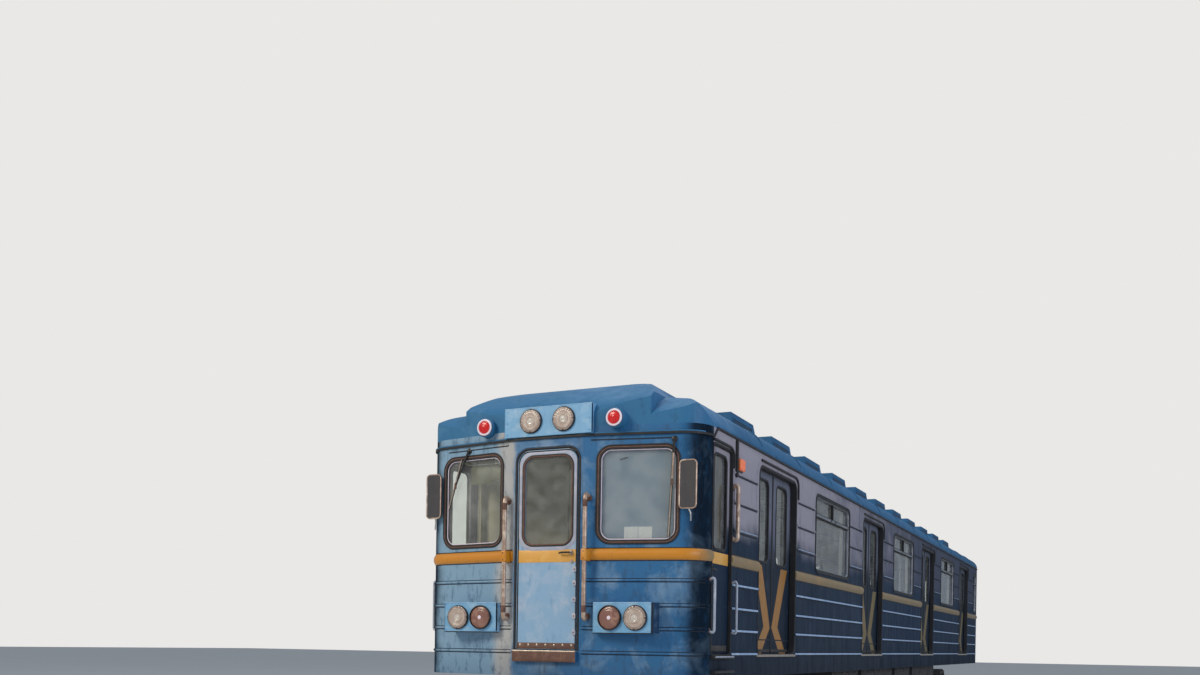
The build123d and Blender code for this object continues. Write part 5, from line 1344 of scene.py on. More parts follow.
@dataclass
class FrontDoor:
    """Trim of the nose door: seal, window rubber, ochre band, handle, catches, kick plate and step.

    Attributes:
        width: Width of the opening.
        bottom: Height of the opening's foot.
        top: Height of its top.
        corner: Radius of its upper corners.
        face: Y of the leaf's outer face.
        catches: Heights of the catches along its edge.
        catch_x: X of the catches.
    """

    width: float = 0.6
    bottom: float = 1.227
    top: float = 2.96
    corner: float = 0.11
    face: float = FRONT_Y + 0.004
    catches: tuple[float, ...] = (1.38, 1.52, 1.66, 1.8, 1.92)
    catch_x: float = 0.268

    def build(self) -> None:
        """Builds what rides on the leaf and what stays on the body."""
        self.jamb()
        self.leaf_trim()
        self.handle()
        self.step()

    def arch(self, grow: float, count: int = 10) -> Points:
        """Draws the line up one jamb, round both upper corners and down the other.

        Args:
            grow: How far outside the opening the line runs.
            count: Points on each corner's quarter circle.

        Returns:
            The points, as X and Z.
        """
        half = self.width / 2 + grow
        radius = self.corner + grow
        turn = np.linspace(0, math.pi / 2, count)
        right = np.stack(
            [half - radius + radius * np.cos(turn), self.top + grow - radius + radius * np.sin(turn)], axis=-1)
        left = right[::-1] * (-1, 1)
        foot = np.array([[half, self.bottom]])
        return np.concatenate([foot, right, left, foot * (-1, 1)])

    def seal(self, grow: float, width: float, face: float, height: float) -> Surface:
        """Draws a half-round rubber along the arch.

        Args:
            grow: How far outside the opening its middle runs.
            width: Width of the rubber.
            face: Y of the plane that it lies on.
            height: How far it stands out.

        Returns:
            The closed surface.
        """
        line = self.arch(grow)
        path = np.stack([line[:, 0], np.full(len(line), face), line[:, 1]], axis=-1)
        return carried(circle(10) * (width / 2, height), path, (0, -1.0, 0))

    def jamb(self) -> None:
        """Builds the black seal on the body and the pressed edge round it."""
        piece = Piece("front_door_jamb", BODY, "rubber_black")
        piece.add(RUBBER, self.seal(0.008, 0.018, FRONT_Y, 0.007))
        piece.add(BODY_BLUE, self.seal(0.026, 0.016, FRONT_Y + 0.002, 0.006))
        piece.build()

    def leaf_trim(self) -> None:
        """Builds the leaf's own edge rubber, window frame, ochre band, catches and kick plate."""
        piece = Piece("front_door_trim", "front_door", "body_blue")
        piece.add(RUBBER, self.seal(-0.017, 0.012, self.face, 0.005))
        window = (0, self.face, END_PANE_Z)
        pale = [(-0.052, -0.002), (-0.052, 0), (-0.048, 0.0022), (-0.014, 0.0022), (-0.014, -0.002)]
        for finish, section in ((RUBBER, PANE_RUBBER), (RUSTY, PANE_STRIP), (LILAC, pale)):
            piece.add(finish, rim(END_PANE, 0.095, section, window, FRONT, 8))
        band = (-0.002, self.face, BELT)
        piece.add(FADED_OCHRE, plate((0.556, 0.108), 0.004, BAND, band, FRONT, 2))
        for z in self.catches:
            place = (self.catch_x, self.face, z)
            piece.add(LILAC, plate((0.034, 0.052), 0.012, bevelled(0.01, 0.004), place, FRONT, 3))
            piece.add(RUSTY, bolt(0.006, 0.006, 0.0125, 0.003, 0.014, FRONT, place, 8))
        kick = plate((0.556, 0.052), 0.006, bevelled(0.003), (-0.002, self.face, 1.262), FRONT, 2)
        piece.add(RUSTY, kick)
        dimple = turned(
            [(0.013, 0.002), (0.012, 0.005), (0.008, 0.0075), (0.001, 0.0085)], (-0.002, self.face, 1.268), FRONT, 12)
        piece.add(WORN_STEEL, copies(dimple, [(x, 0, 0) for x in np.linspace(-0.25, 0.25, 7)]))
        piece.build()

    def handle(self) -> None:
        """Builds the lever handle and its lock."""
        piece = Piece("front_door_handle", "front_door", "chrome_rail")
        rose = turned(ROSE, (0.235, self.face, 2.062), FRONT, 18)
        lever = bent(
            [(0.24, self.face - 0.034, 2.062), (0.15, self.face - 0.036, 2.062), (0.128, self.face - 0.02, 2.058)],
            0.015)
        lock = turned(LOCK, (0.24, self.face, 1.985), FRONT, 16)
        piece.add(WORN_STEEL, rose, lock)
        piece.add(WIPER, tube(lever, 0.008, 10))
        piece.build()

    def step(self) -> None:
        """Builds the rusty tread over the step under the door."""
        piece = Piece("front_step_tread", BODY, "body_blue")
        front = FRONT_Y - 0.04
        tread = plate((0.612, 0.078), 0.006, bevelled(0.004), (0, front - 0.0005, 1.172), FRONT, 3)
        nosing = tube([(-0.306, front + 0.004, 1.216), (0.306, front + 0.004, 1.216)], 0.009, 12)
        top = plate((0.612, 0.04), 0.004, bevelled(0.003), (0, front + 0.021, 1.215), UP, 2)
        ribs = plate((0.6, 0.004), 0.001, [(0, 0), (0, 0.0055)], (0, front + 0.008, 1.215), UP, 1)
        lower = tube([(-0.306, front + 0.003, 1.13), (0.306, front + 0.003, 1.13)], 0.006, 10)
        piece.add(RUSTY, tread, lower)
        piece.add(WORN_STEEL, nosing, top, copies(ribs, [(0, 0, 0), (0, 0.009, 0), (0, 0.018, 0), (0, 0.027, 0)]))
        piece.build()


@dataclass
class Handrails:
    """Bent handrails beside the doors, with collars, wall flanges and belt brackets.

    Attributes:
        nose_x: X of the nose rails.
        nose_z: Lowest and highest point of the nose rails.
        stand: How far the nose rails stand off.
        radius: Radius of the thick rails.
        thin: Radius of the thin lower side rails.
        side_x: X of the side rails.
    """

    nose_x: float = 0.388
    nose_z: tuple[float, float] = (1.45, 2.59)
    stand: float = 0.062
    radius: float = 0.019
    thin: float = 0.012
    side_x: float = 1.395

    def build(self) -> None:
        """Builds all rails in place of the frame's plain ones."""
        piece = Piece("handrail_set", BODY, "chrome_rail")
        self.nose_pair(piece)
        self.side_set(piece)
        piece.build("handrails", smooth=50)

    def nose_pair(self, piece: Piece) -> None:
        """Adds the two long rails beside the nose door.

        Args:
            piece: The piece that takes them.
        """
        low, high = self.nose_z[0] + self.radius, self.nose_z[1] - self.radius
        x, y = self.nose_x, FRONT_Y - self.stand
        skin = nose_line(np.array([x]))[0][0]
        path = bent(
            [(x, skin + 0.012, low + 0.045), (x, y, low), (x, y, high), (x, skin + 0.012, high - 0.045)], 0.075, 10)
        rail = tube(path, self.radius, 16, (1, 0, 0))
        piece.both(CREAM_TUBE, rail)
        for z in (low + 0.048, high - 0.048):
            flange = turned(
                [(0.03, -0.006), (0.03, 0.004), (0.026, 0.008), (0.022, 0.01), (0.021, 0.02), (0.018, 0.02)],
                (x, skin, z), FRONT, 18)
            piece.both(RUSTY, flange)
        for z in (low + 0.11, high - 0.1):
            piece.both(
                RUSTY, turned([(0.0185, -0.03), (0.0215, -0.026), (0.0215, 0.026), (0.0185, 0.03)], (x, y, z), UP, 18)
            )
        z = BELT
        knuckle = plate(
            (0.056, 0.104), 0.016, [(0, -0.065), (0, 0.014), (0.004, 0.021), (0.012, 0.024)], (x, y, z), FRONT, 5)
        piece.both(STRIPE, knuckle)
        screws = turned([(0.006, 0.022), (0.006, 0.026), (0.001, 0.027)], (x, y, z), FRONT, 8)
        piece.both(RUSTY, copies(screws, [(0, 0, 0.03), (0, 0, -0.03)]))

    def side_set(self, piece: Piece) -> None:
        """Adds the rails beside the crew doors: two thin low ones and a thick upper one.

        Args:
            piece: The piece that takes them.
        """
        x = self.side_x
        rows = (
            (-9.0, 1.37, 1.88, self.thin, WHITE_TUBE), (-8.41, 1.37, 1.88, self.thin, WHITE_TUBE),
            (-8.41, 2.19, 2.74, self.radius, CREAM_TUBE))
        for y, low, high, radius, finish in rows:
            bottom, top = low + radius, high - radius
            path = bent(
                [
                    (HALF_WIDTH - 0.01, y, bottom + 0.03), (x, y, bottom), (x, y, top),
                    (HALF_WIDTH - 0.01, y, top - 0.03)],
                0.045, 8)
            piece.both(finish, tube(path, radius, 14, (0, 1, 0)))
            for z in (bottom + 0.03, top - 0.03):
                foot = turned(
                    [
                        (radius + 0.01, -0.004), (radius + 0.01, 0.003), (radius + 0.004, 0.006),
                        (radius - 0.001, 0.01)],
                    (HALF_WIDTH, y, z), LEFT, 14)
                piece.both(RUSTY, foot)


@dataclass
class SideTrim:
    """Gaskets, jamb liners, drip rails, window trim, painted highlights and shadows along the beads, and lamps of the
    side walls.

    Attributes:
        head: Height of the doorways' tops.
        doorway: Width of a doorway.
        runs: Lengths of plain wall as start and end along Y.
        windows: Fixed windows as centre along Y and width.
        high_beads: Heights of the beads beside the windows.
        window_z: Middle height of the windows.
        vent_z: Height of the windows' vent rail.
        crew_y: Y of the middle of the crew doors.
        drip: X of the drip rails' middle.
        skin: X where a thin line lies on the wall.
    """

    head: float = 3.0
    doorway: float = 1.3
    runs: tuple[tuple[float, float], ...] = (
        (-8.455, -7.619), (-6.319, -2.973), (-1.673, 1.673), (2.973, 6.319), (7.619, 9.215))
    windows: tuple[tuple[float, float], ...] = ((-4.646, 1.71), (0, 1.71), (4.646, 1.71), (8.86, 0.53))
    high_beads: tuple[float, ...] = (2.32, 2.575, 2.83)
    window_z: float = 2.5725
    vent_z: float = 2.776
    crew_y: float = -8.705
    drip: float = 1.359
    skin: float = 1.3505

    def build(self) -> None:
        """Builds the trim of both walls."""
        self.doorways()
        self.window_trim()
        self.ridges()
        self.cab_door_surround()
        self.repeaters()

    def doorways(self) -> None:
        """Builds each doorway's gasket, dark liner, threshold and bent drip rail."""
        piece = Piece("doorway_trim", BODY, "rubber_black")
        size = (self.doorway, self.head - SILL)
        middle = (HALF_WIDTH, 0, (self.head + SILL) / 2)
        gasket = rim(
            size, 0.09,
            [(-0.022, -0.004), (-0.022, 0.003), (-0.016, 0.007), (-0.006, 0.007), (0.002, 0.003), (0.002, -0.004)],
            middle, LEFT, 6)
        liner = rim(size, 0.09, [(0, -0.056), (0, 0.001), (0.005, 0.001), (0.005, -0.056)], middle, LEFT, 6)
        nosing = plate((self.doorway + 0.05, 0.022), 0.004, bevelled(0.014), (HALF_WIDTH, 0, SILL - 0.012), LEFT, 2)
        corners = ((-0.62, 3.06), (0.63, 3.06), (0.705, 3.015), (0.712, 2.84))
        line = bent([(self.drip, y, z) for y, z in corners], 0.05, 6)
        drip = carried(rounded_loop(0.022, 0.018, 0.004, 2), line, (1.0, 0, 0))
        shifts = [(0, y, 0) for y in DOORWAYS]
        piece.both(RUBBER, *(copies(part, shifts) for part in (gasket, liner, drip)))
        piece.both(WORN_STEEL, copies(nosing, shifts))
        piece.build(smooth=40)

    def window_trim(self) -> None:
        """Builds the outer lip, inner ring and vent rail of each fixed window, and the wide ones' catches."""
        piece = Piece("side_window_trim", BODY, "rubber_black")
        for y, width in self.windows:
            middle = (HALF_WIDTH, y, self.window_z)
            size = (width, 0.895)
            piece.both(RUBBER, rim(size, 0.11, lip(0.016, 0.007, 0.004), middle, LEFT, 7))
            inner = [(0.038, -0.03), (0.038, -0.004), (0.041, -0.002), (0.047, -0.002), (0.05, -0.006), (0.05, -0.03)]
            piece.both(GREY_ALLOY, rim(size, 0.11, inner, middle, LEFT, 7))
            rail = plate(
                (width - 0.08, 0.026), 0.004, [(0, -0.012), (0, 0), (0.003, 0.003)],
                (HALF_WIDTH - 0.004, y, self.vent_z), LEFT, 2)
            piece.both(GREY_ALLOY, rail)
            if width > 1.0:
                catches = plate(
                    (0.03, 0.018), 0.004, bevelled(0.01), (HALF_WIDTH - 0.004, y - 0.1, self.vent_z), LEFT, 2)
                piece.both(WIPER, copies(catches, [(0, 0, 0), (0, 0.2, 0)]))
        piece.build(smooth=40)

    def ridges(self) -> None:
        """Builds the painted highlight along the beads' tops and the painted shadow lines under and over them, and
        the dark lines along the belt, of which the lower is painted shadow.
        """
        piece = Piece("bead_painted_light", BODY, "body_blue")
        # ridge is the section of the painted highlight along a bead's top, and dirt the section of the painted shadow
        # line under it
        ridge = rounded_loop(0.01, 0.019, 0.0045, 3)
        dirt = rounded_loop(0.0016, 0.008, 0.0008, 1)
        for start, end in self.runs:
            for z in BEADS:
                path = np.array([(1.3575, y, z + 0.003) for y in (start + 0.03, end - 0.03)])
                piece.both(RIB_HIGHLIGHT, carried(ridge, path))
                piece.both(SHADOW_AND_SEAM_LINE, carried(dirt, path + (-0.007, 0, -0.019)))
        # painted shadow under each bead beside the windows, and a painted highlight on the lowest of them
        broad, narrow = rounded_loop(0.004, 0.022, 0.0014, 1), rounded_loop(0.01, 0.012, 0.0045, 3)
        for start, end in self.plain_runs():
            for z in self.high_beads:
                path = np.array([(self.skin, y, z - 0.018) for y in (start + 0.03, end - 0.03)])
                piece.both(SHADOW_AND_SEAM_LINE, carried(broad, path))
                if z == self.high_beads[0]:
                    piece.both(RIB_HIGHLIGHT, carried(narrow, path + (0.0055, 0, 0.021)))
        reach = (0.345, 1.3495)
        # painted shadow lines under and over each bead round the nose
        for z in BEADS:
            for shift, width in BEAD_SHADOW_LINES:
                line = nose_path(*reach, z + shift, 0.0003, 60)
                piece.both(SHADOW_AND_SEAM_LINE, carried(rounded_loop(0.002, width, 0.0009, 1), line))
        # dark lines along the belt moulding in the rubber finish: the one under it is painted shadow, with a thinner
        # dark line over it
        for z, width in ((1.99, 0.01), (2.096, 0.008)):
            loop = rounded_loop(0.003, width, 0.0012, 1)
            piece.both(RUBBER, carried(loop, nose_path(*reach, z, 0.0003, 60)))
            for start, end in self.runs:
                piece.both(RUBBER, carried(loop, np.array([(self.skin, start, z), (self.skin, end, z)])))
        piece.build(smooth=50)

    def plain_runs(self) -> list[tuple[float, float]]:
        """Finds the lengths of wall beside the windows: each run is cut at both edges of its windows.

        Returns:
            Start and end of each length along Y.
        """
        found = []
        for start, end in self.runs:
            edges = [start + 0.05, end - 0.05]
            edges += [
                y + way * (width / 2 + 0.012) for y, width in self.windows if start < y < end for way in (-1, 1)]
            edges.sort()
            found += list(zip(edges[::2], edges[1::2]))
        return found

    def cab_door_surround(self) -> None:
        """Builds the gasket, drip rail, step and conduit beside each crew door."""
        piece = Piece("crew_door_surround", BODY, "rubber_black")
        middle = (HALF_WIDTH, self.crew_y, 2.1025)
        size = (0.5, 1.785)
        piece.both(
            RUBBER,
            rim(
                size, 0.03,
                [(-0.016, -0.004), (-0.016, 0.004), (-0.01, 0.008), (0, 0.006), (0.002, -0.02), (-0.004, -0.02)],
                middle, LEFT, 4))
        corners = ((-8.965, 3.03), (-8.5, 3.03), (-8.425, 2.985), (-8.42, 2.86))
        line = bent([(self.drip, y, z) for y, z in corners], 0.05, 6)
        piece.both(RUBBER, carried(rounded_loop(0.022, 0.018, 0.004, 2), line, (1.0, 0, 0)))
        conduit = plate((0.04, 0.33), 0.012, bevelled(0.022, 0.004), (HALF_WIDTH, -8.352, 2.955), LEFT, 3)
        piece.both(RUBBER, conduit)
        ledge = plate((0.54, 0.034), 0.006, bevelled(0.045, 0.004), (HALF_WIDTH, self.crew_y, 1.188), LEFT, 3)
        lower = plate((0.52, 0.022), 0.006, bevelled(0.052, 0.004), (HALF_WIDTH, self.crew_y, 1.06), LEFT, 3)
        tread = plate(
            (0.5, 0.01), 0.003, [(0, 0.044), (0, 0.0465), (0.001, 0.047)], (HALF_WIDTH, self.crew_y, 1.19), LEFT, 2)
        piece.both(RUBBER, ledge, lower)
        piece.both(WHITE_TUBE, tread)
        piece.build(smooth=40)

    def repeaters(self) -> None:
        """Builds the orange lamps: dark base, ribbed lens and two screws."""
        piece = Piece("repeater_lamp_lenses", BODY, "lamp_orange")
        middle = (HALF_WIDTH, -8.25, 2.91)
        base = plate((0.15, 0.12), 0.012, [(0, 0), (0, 0.01), (0.003, 0.013)], middle, LEFT, 4)
        lens = plate((0.132, 0.104), 0.01, [(0, 0.01), (0, 0.03), (0.004, 0.035), (0.012, 0.036)], middle, LEFT, 4)
        rib = bar((0, -0.04), (0, 0.04), 0.007, 0.034, 0.0378, middle, LEFT)
        piece.both(WIPER, base)
        piece.both(ORANGE, lens, copies(rib, [(0, y, 0) for y in np.linspace(-0.046, 0.046, 7)]))
        piece.build("repeater_lamps", smooth=35)


@dataclass
class Leaves:
    """What rides on the sliding leaves: painted chevrons, pane rubbers, edge rubbers and seams.

    Attributes:
        face: X of the leaves' outer faces.
        bottom: Height of the leaves' feet.
        top: Height of the leaves' tops.
        pane: Width, bottom, top and corner radius of a pane.
    """

    face: float = 1.284
    bottom: float = 1.212
    top: float = 3.0
    pane: tuple[float, float, float, float] = (0.38, 2.12, 2.915, 0.07)

    def build(self) -> None:
        """Builds one piece for each group of four leaves."""
        for end, way in (("front", -1), ("rear", 1)):
            self.group(end, way)

    def surfaces(self, way: int) -> list[tuple[Finish, Surface]]:
        """Draws one left leaf with its doorway's middle at Y = 0.

        Args:
            way: -1 for the leaf that opens forwards, 1 for the other.

        Returns:
            Finishes and surfaces.
        """
        origin = (self.face, 0, 0)
        band = np.array([(0.335, 2.085), (0.57, 2.085), (0.245, 1.485), (0.56, 1.213), (0.325, 1.213), (0.03, 1.475)])
        band = band * (way, 1)
        wide, low, high, corner = self.pane
        middle = (self.face, way * 0.325, (low + high) / 2)
        rubber = [
            (-0.014, -0.003), (-0.014, 0.003), (-0.008, 0.0048), (0.002, 0.0048), (0.006, 0.002), (0.006, -0.02),
            (0, -0.02)]
        edge = plate(
            (0.016, self.top - self.bottom - 0.02), 0.004, [(0, 0), (0, 0.003), (0.004, 0.0048)],
            (self.face, way * 0.012, (self.top + self.bottom) / 2), LEFT, 2)
        seam = plate(
            (0.64, 0.012), 0.003, [(0, 0), (0, 0.0022), (0.001, 0.003)], (self.face, way * 0.335, 1.352), LEFT, 2)
        kick = plate(
            (0.6, 0.03), 0.006, [(0, 0), (0, 0.002), (0.001, 0.003)], (self.face, way * 0.335, 1.245), LEFT, 2)
        return [
            (LEAF_OCHRE, slab(band, 0, 0.0012, origin, LEFT)),
            (RUBBER, rim((wide, high - low), corner, rubber, middle, LEFT, 6)), (RUBBER, edge), (SHADOW_AND_SEAM_LINE, seam),
            (UNDERFRAME, kick)]

    def group(self, end: str, way: int) -> None:
        """Builds the trim of the leaves that slide one way, on both sides.

        Args:
            end: Which leaves, by the end that they open towards.
            way: -1 or 1 along Y.
        """
        shifts = [(0, y, 0) for y in DOORWAYS]
        for side in ("left", "right"):
            piece = Piece(f"leaf_trim_{side}_{end}", f"leaves_{side}_{end}", "body_blue")
            for finish, surface in self.surfaces(way):
                piece.add(finish, on_side(copies(surface, shifts), side))
            piece.build()


@dataclass
class CrewDoors:
    """Trim that rides on the two crew doors.

    Attributes:
        face: X of the left door's outer face.
        middle: Y of its pane.
        lever: Y and height of the lever's pivot.
    """

    face: float = 1.326
    middle: float = -8.705
    lever: tuple[float, float] = (-8.905, 1.935)

    def build(self) -> None:
        """Builds the pane rubber, worn ochre patch, lever, lock and kick plate of each door."""
        surfaces = self.surfaces()
        for side in ("left", "right"):
            piece = Piece(f"crew_door_trim_{side}", f"cab_door_{side}", "body_blue")
            for finish, surface in surfaces:
                piece.add(finish, on_side(surface, side))
            piece.build()

    def surfaces(self) -> list[tuple[Finish, Surface]]:
        """Draws the left door's trim.

        Returns:
            Finishes and surfaces.
        """
        window = (self.face, self.middle, 2.525)
        rubber = [
            (-0.016, -0.003), (-0.016, 0.004), (-0.01, 0.008), (0, 0.008), (0.006, 0.004), (0.006, -0.016),
            (0, -0.016)]
        patch = plate(
            (0.476, 0.1), 0.004, [(0, 0), (0, 0.0012), (0.001, 0.0018)], (self.face, self.middle, 2.04), LEFT, 2)
        y, z = self.lever
        lever = bent([(self.face + 0.004, y, z), (self.face + 0.018, y, z), (self.face + 0.018, -8.815, z)], 0.01)
        rose = turned([(0.02, 0), (0.02, 0.004), (0.014, 0.008), (0.001, 0.008)], (self.face, y, z), LEFT, 16)
        lock = turned([(0.012, 0), (0.012, 0.004), (0.008, 0.006), (0.001, 0.006)], (self.face, y, 1.87), LEFT, 14)
        kick = plate((0.46, 0.05), 0.006, bevelled(0.003), (self.face, self.middle, 1.262), LEFT, 2)
        return [
            (RUBBER, rim((0.33, 0.81), 0.06, rubber, window, LEFT, 6)), (FADED_OCHRE, patch), (WORN_STEEL, rose),
            (WORN_STEEL, lock), (WIPER, tube(lever, 0.007, 10)), (UNDERFRAME, kick)]


@dataclass
class RoofTrim:
    """Seam straps across the roof, and the grilles of the air scoops.

    Attributes:
        first: Y of the first scoop's nose.
        pitch: Distance between scoops.
        count: Scoops along each side.
        length: Length of a scoop.
    """

    first: float = FRONT_Y + 2.06
    pitch: float = 1.42
    count: int = 11
    length: float = 1.0

    def build(self) -> None:
        """Builds the straps and grilles."""
        self.straps()
        self.grilles()

    def section(self) -> Points:
        """Draws the left half of the roof's outline: an arc at the eave, a step, and the wide arc of the crown.

        Returns:
            The points from the eave upwards, as X and Z.
        """
        turn = np.linspace(0, 1.0, 14)
        centre, radius = np.array([1.0993, 3.1187]), 0.2566
        low, high = math.atan2(3.154 - centre[1], 1.354 - centre[0]), math.atan2(3.375 - centre[1], 1.11 - centre[0])
        angle = low + (high - low) * turn
        eave = centre + radius * np.stack([np.cos(angle), np.sin(angle)], axis=-1)
        eave = eave[eave[:, 0] < HALF_WIDTH - 0.002]
        x = np.linspace(0.77, 0.35, 10)
        reach = 2.876
        top = np.stack([x, 3.65 - reach + np.sqrt(reach**2 - x**2)], axis=-1)
        return np.concatenate([eave, [(0.9, 3.42)], top])

    def straps(self) -> None:
        """Builds the folded seam straps: a flat bar carried over the roof's outline."""
        piece = Piece("roof_straps", BODY, "roof_blue")
        line = self.section()
        path = np.stack([line[:, 0], np.zeros(len(line)), line[:, 1]], axis=-1)
        strap = carried(rounded_loop(0.044, 0.005, 0.002, 1), path)
        thin = carried(rounded_loop(0.008, 0.012, 0.003, 1), path)
        places = [self.first - 0.21 + k * self.pitch for k in range(self.count + 1)]
        piece.both(ROOF_BLUE, copies(strap, [(0, y, 0) for y in places]))
        piece.both(ROOF_BLUE, copies(thin, [(0, y, -0.001) for y in places]))
        piece.build(smooth=45)

    def grilles(self) -> None:
        """Builds the slotted grille and its frame on the outer face of each scoop."""
        piece = Piece("scoop_grilles", BODY, "roof_blue")
        middle = (0.93, self.first + self.length / 2 - 0.06, 3.515)
        frame = rim(
            (0.62, 0.11), 0.012, [(0, -0.004), (0, 0.004), (0.004, 0.006), (0.01, 0.006), (0.012, -0.004)], middle,
            LEFT, 3)
        dark = plate((0.6, 0.09), 0.006, [(0, -0.003), (0, 0.0015)], middle, LEFT, 2)
        slat = bar((-0.29, 0), (0.29, 0), 0.008, 0.001, 0.005, middle, LEFT)
        shifts = [(0, k * self.pitch, 0) for k in range(self.count)]
        slats = copies(slat, [(0, 0, z) for z in (-0.03, -0.01, 0.01, 0.03)])
        piece.both(ROOF_BLUE, copies(frame, shifts), copies(slats, shifts))
        piece.both(WIPER, copies(dark, shifts))
        piece.build(smooth=35)


@dataclass
class Bogies:
    """Small gear of both bogies: coils, box caps, clamps, brakes, dampers, motor bands and shoe gear.

    Attributes:
        pivots: Name and pivot Y of each end.
        axle: Distance of an axle from the pivot.
        beam: X of a side beam's middle.
        level: Height of the axles.
        wheel: Radius of a wheel's tread.
        block: X of the brake blocks.
        hinge: X and height of the collector shoe's hinge.
    """

    pivots: tuple[tuple[str, float], ...] = (("front", -6.3), ("rear", 6.3))
    axle: float = 1.05
    beam: float = 0.96
    level: float = 0.39
    wheel: float = 0.39
    block: float = 0.812
    hinge: tuple[float, float] = (1.222, 0.252)

    def build(self) -> None:
        """Builds everything on both bogies."""
        for end, pivot in self.pivots:
            self.coils(end, pivot)
            self.boxes(end, pivot)
            self.brakes(end, pivot)
            self.motor_gear(end, pivot)
            self.shoe_gear(end, pivot)
            for number, way in ((1, -1), (2, 1)):
                self.treads(f"wheelset_{end}_{number}", pivot + way * self.axle)

    def coils(self, end: str, pivot: float) -> None:
        """Builds four real coils with closed ends, their seats and the rubber stop inside each.

        The wire's middle runs round the axis while its height rises evenly, except over the first and
        last part turn, where it lies almost flat.

        Args:
            end: Name of the bogie's end.
            pivot: Y of its pivot.
        """
        piece = Piece(f"coils_{end}", f"bogie_{end}", "spring_steel")
        low, high, wire = 0.568, 0.782, 0.0125
        share = np.linspace(0, 1, 118)
        rise = np.interp(share, (0, 0.12, 0.88, 1), (0, 0.045, 0.955, 1))
        angle = share * 2 * math.pi * 5.2
        line = np.stack(
            [0.086 * np.cos(angle), 0.086 * np.sin(angle), low + wire + (high - low - 2 * wire) * rise], axis=-1)
        seat = [(0.04, 0), (0.104, 0), (0.104, 0.006), (0.1, 0.009), (0.07, 0.009), (0.066, 0.018), (0.04, 0.018)]
        stop = [(0.02, 0), (0.05, 0), (0.05, 0.1), (0.04, 0.125), (0.02, 0.125)]
        parts = (
            (SPRING, tube(line, wire, 9)), (CAST, turned(seat, (0, 0, 0.56), UP, 28)),
            (CAST, turned(seat, (0, 0, 0.79), DOWN, 28)), (RUBBER, turned(stop, (0, 0, 0.562), UP, 16)))
        places = [(self.beam, pivot - 0.15, 0), (self.beam, pivot + 0.15, 0)]
        for finish, surface in parts:
            piece.both(finish, copies(surface, places))
        piece.build(f"springs_{end}", smooth=50)

    def boxes(self, end: str, pivot: float) -> None:
        """Builds the bolted caps of the axle boxes, the timber beam's clamps and the dampers.

        Args:
            end: Name of the bogie's end.
            pivot: Y of its pivot.
        """
        piece = Piece(f"box_caps_{end}", f"bogie_{end}", "bogie_grey")
        spots = [(0, pivot - self.axle, 0), (0, pivot + self.axle, 0)]
        upper = plate((0.256, 0.128), 0.03, bevelled(0.016, 0.005), (1.085, 0, 0.535), LEFT, 4)
        lower = plate((0.256, 0.058), 0.02, bevelled(0.016, 0.005), (1.085, 0, 0.288), LEFT, 4)
        label = plate((0.09, 0.05), 0.006, [(0, 0.014), (0, 0.018), (0.001, 0.019)], (1.085, 0, 0.535), LEFT, 2)
        clamp = plate((0.064, 0.16), 0.008, bevelled(0.011, 0.003), (1.135, 0, 0.39), LEFT, 2)
        nut = turned(
            [(0.013, 0), (0.013, 0.01), (0.011, 0.012), (0.007, 0.012), (0.006, 0.017), (0.001, 0.017)], (0, 0, 0),
            LEFT, 6)
        washer = turned([(0.018, -0.002), (0.018, 0.003), (0.006, 0.003)], (0, 0, 0), LEFT, 14)
        cap_spots = [(1.101, y, z) for y in (-0.105, 0.105) for z in (0.495, 0.576)]
        cap_spots += [(1.101, y, 0.288) for y in (-0.105, 0.105)]
        clamp_spots = [(1.146, y, z) for y in (-0.08, 0.08) for z in (0.342, 0.438)]
        for surface in (upper, lower, copies(clamp, [(0, -0.08, 0), (0, 0.08, 0)])):
            piece.both(CAST, copies(surface, spots))
        piece.both(WORN_STEEL, copies(label, spots))
        for surface in (nut, washer):
            piece.both(RUSTY, copies(copies(surface, cap_spots + clamp_spots), spots))
        self.dampers(piece, pivot)
        piece.build(smooth=40)

    def dampers(self, piece: Piece, pivot: float) -> None:
        """Adds the upright dampers beside the bolster, with their eyes and lugs.

        Args:
            piece: The piece that takes them.
            pivot: Y of the bogie's pivot.
        """
        stay = tube([(1.055, 0, 0.452), (1.055, 0, 0.812)], 0.012, 10, (1, 0, 0))
        shell = turned(
            [
                (0.012, 0), (0.022, 0), (0.029, 0.012), (0.029, 0.18), (0.024, 0.188), (0.024, 0.2), (0.034, 0.204),
                (0.034, 0.33), (0.028, 0.34), (0.012, 0.34)],
            (1.058, 0, 0.462), UP, 18)
        eye = turned([(0.01, -0.022), (0.024, -0.022), (0.024, 0.022), (0.01, 0.022)], (1.058, 0, 0.462), LEFT, 14)
        lug = plate((0.07, 0.06), 0.01, bevelled(0.055, 0.004), (1.02, 0, 0.462), LEFT, 3)
        here = [(0, pivot, 0)]
        piece.both(CAST, copies(lug, here))
        piece.both(
            SPRING, copies(shell, here), copies(stay, here), copies(eye, here), copies(eye, [(0, pivot, 0.335)]))

    def brakes(self, end: str, pivot: float) -> None:
        """Builds the tread brakes: block, holder, hanger and cylinder at each wheel, and the pipe over them.

        Args:
            end: Name of the bogie's end.
            pivot: Y of its pivot.
        """
        piece = Piece(f"tread_brakes_{end}", f"bogie_{end}", "bogie_grey")
        for way in (-1, 1):
            self.brake(piece, pivot, way)
        pipe = bent(
            [(0.6, pivot - 0.3, 0.6), (0.6, pivot - 0.1, 0.66), (0.6, pivot + 0.1, 0.66), (0.6, pivot + 0.3, 0.6)],
            0.05)
        piece.both(WORN_STEEL, tube(pipe, 0.009, 8, (1, 0, 0)))
        piece.build(smooth=38)

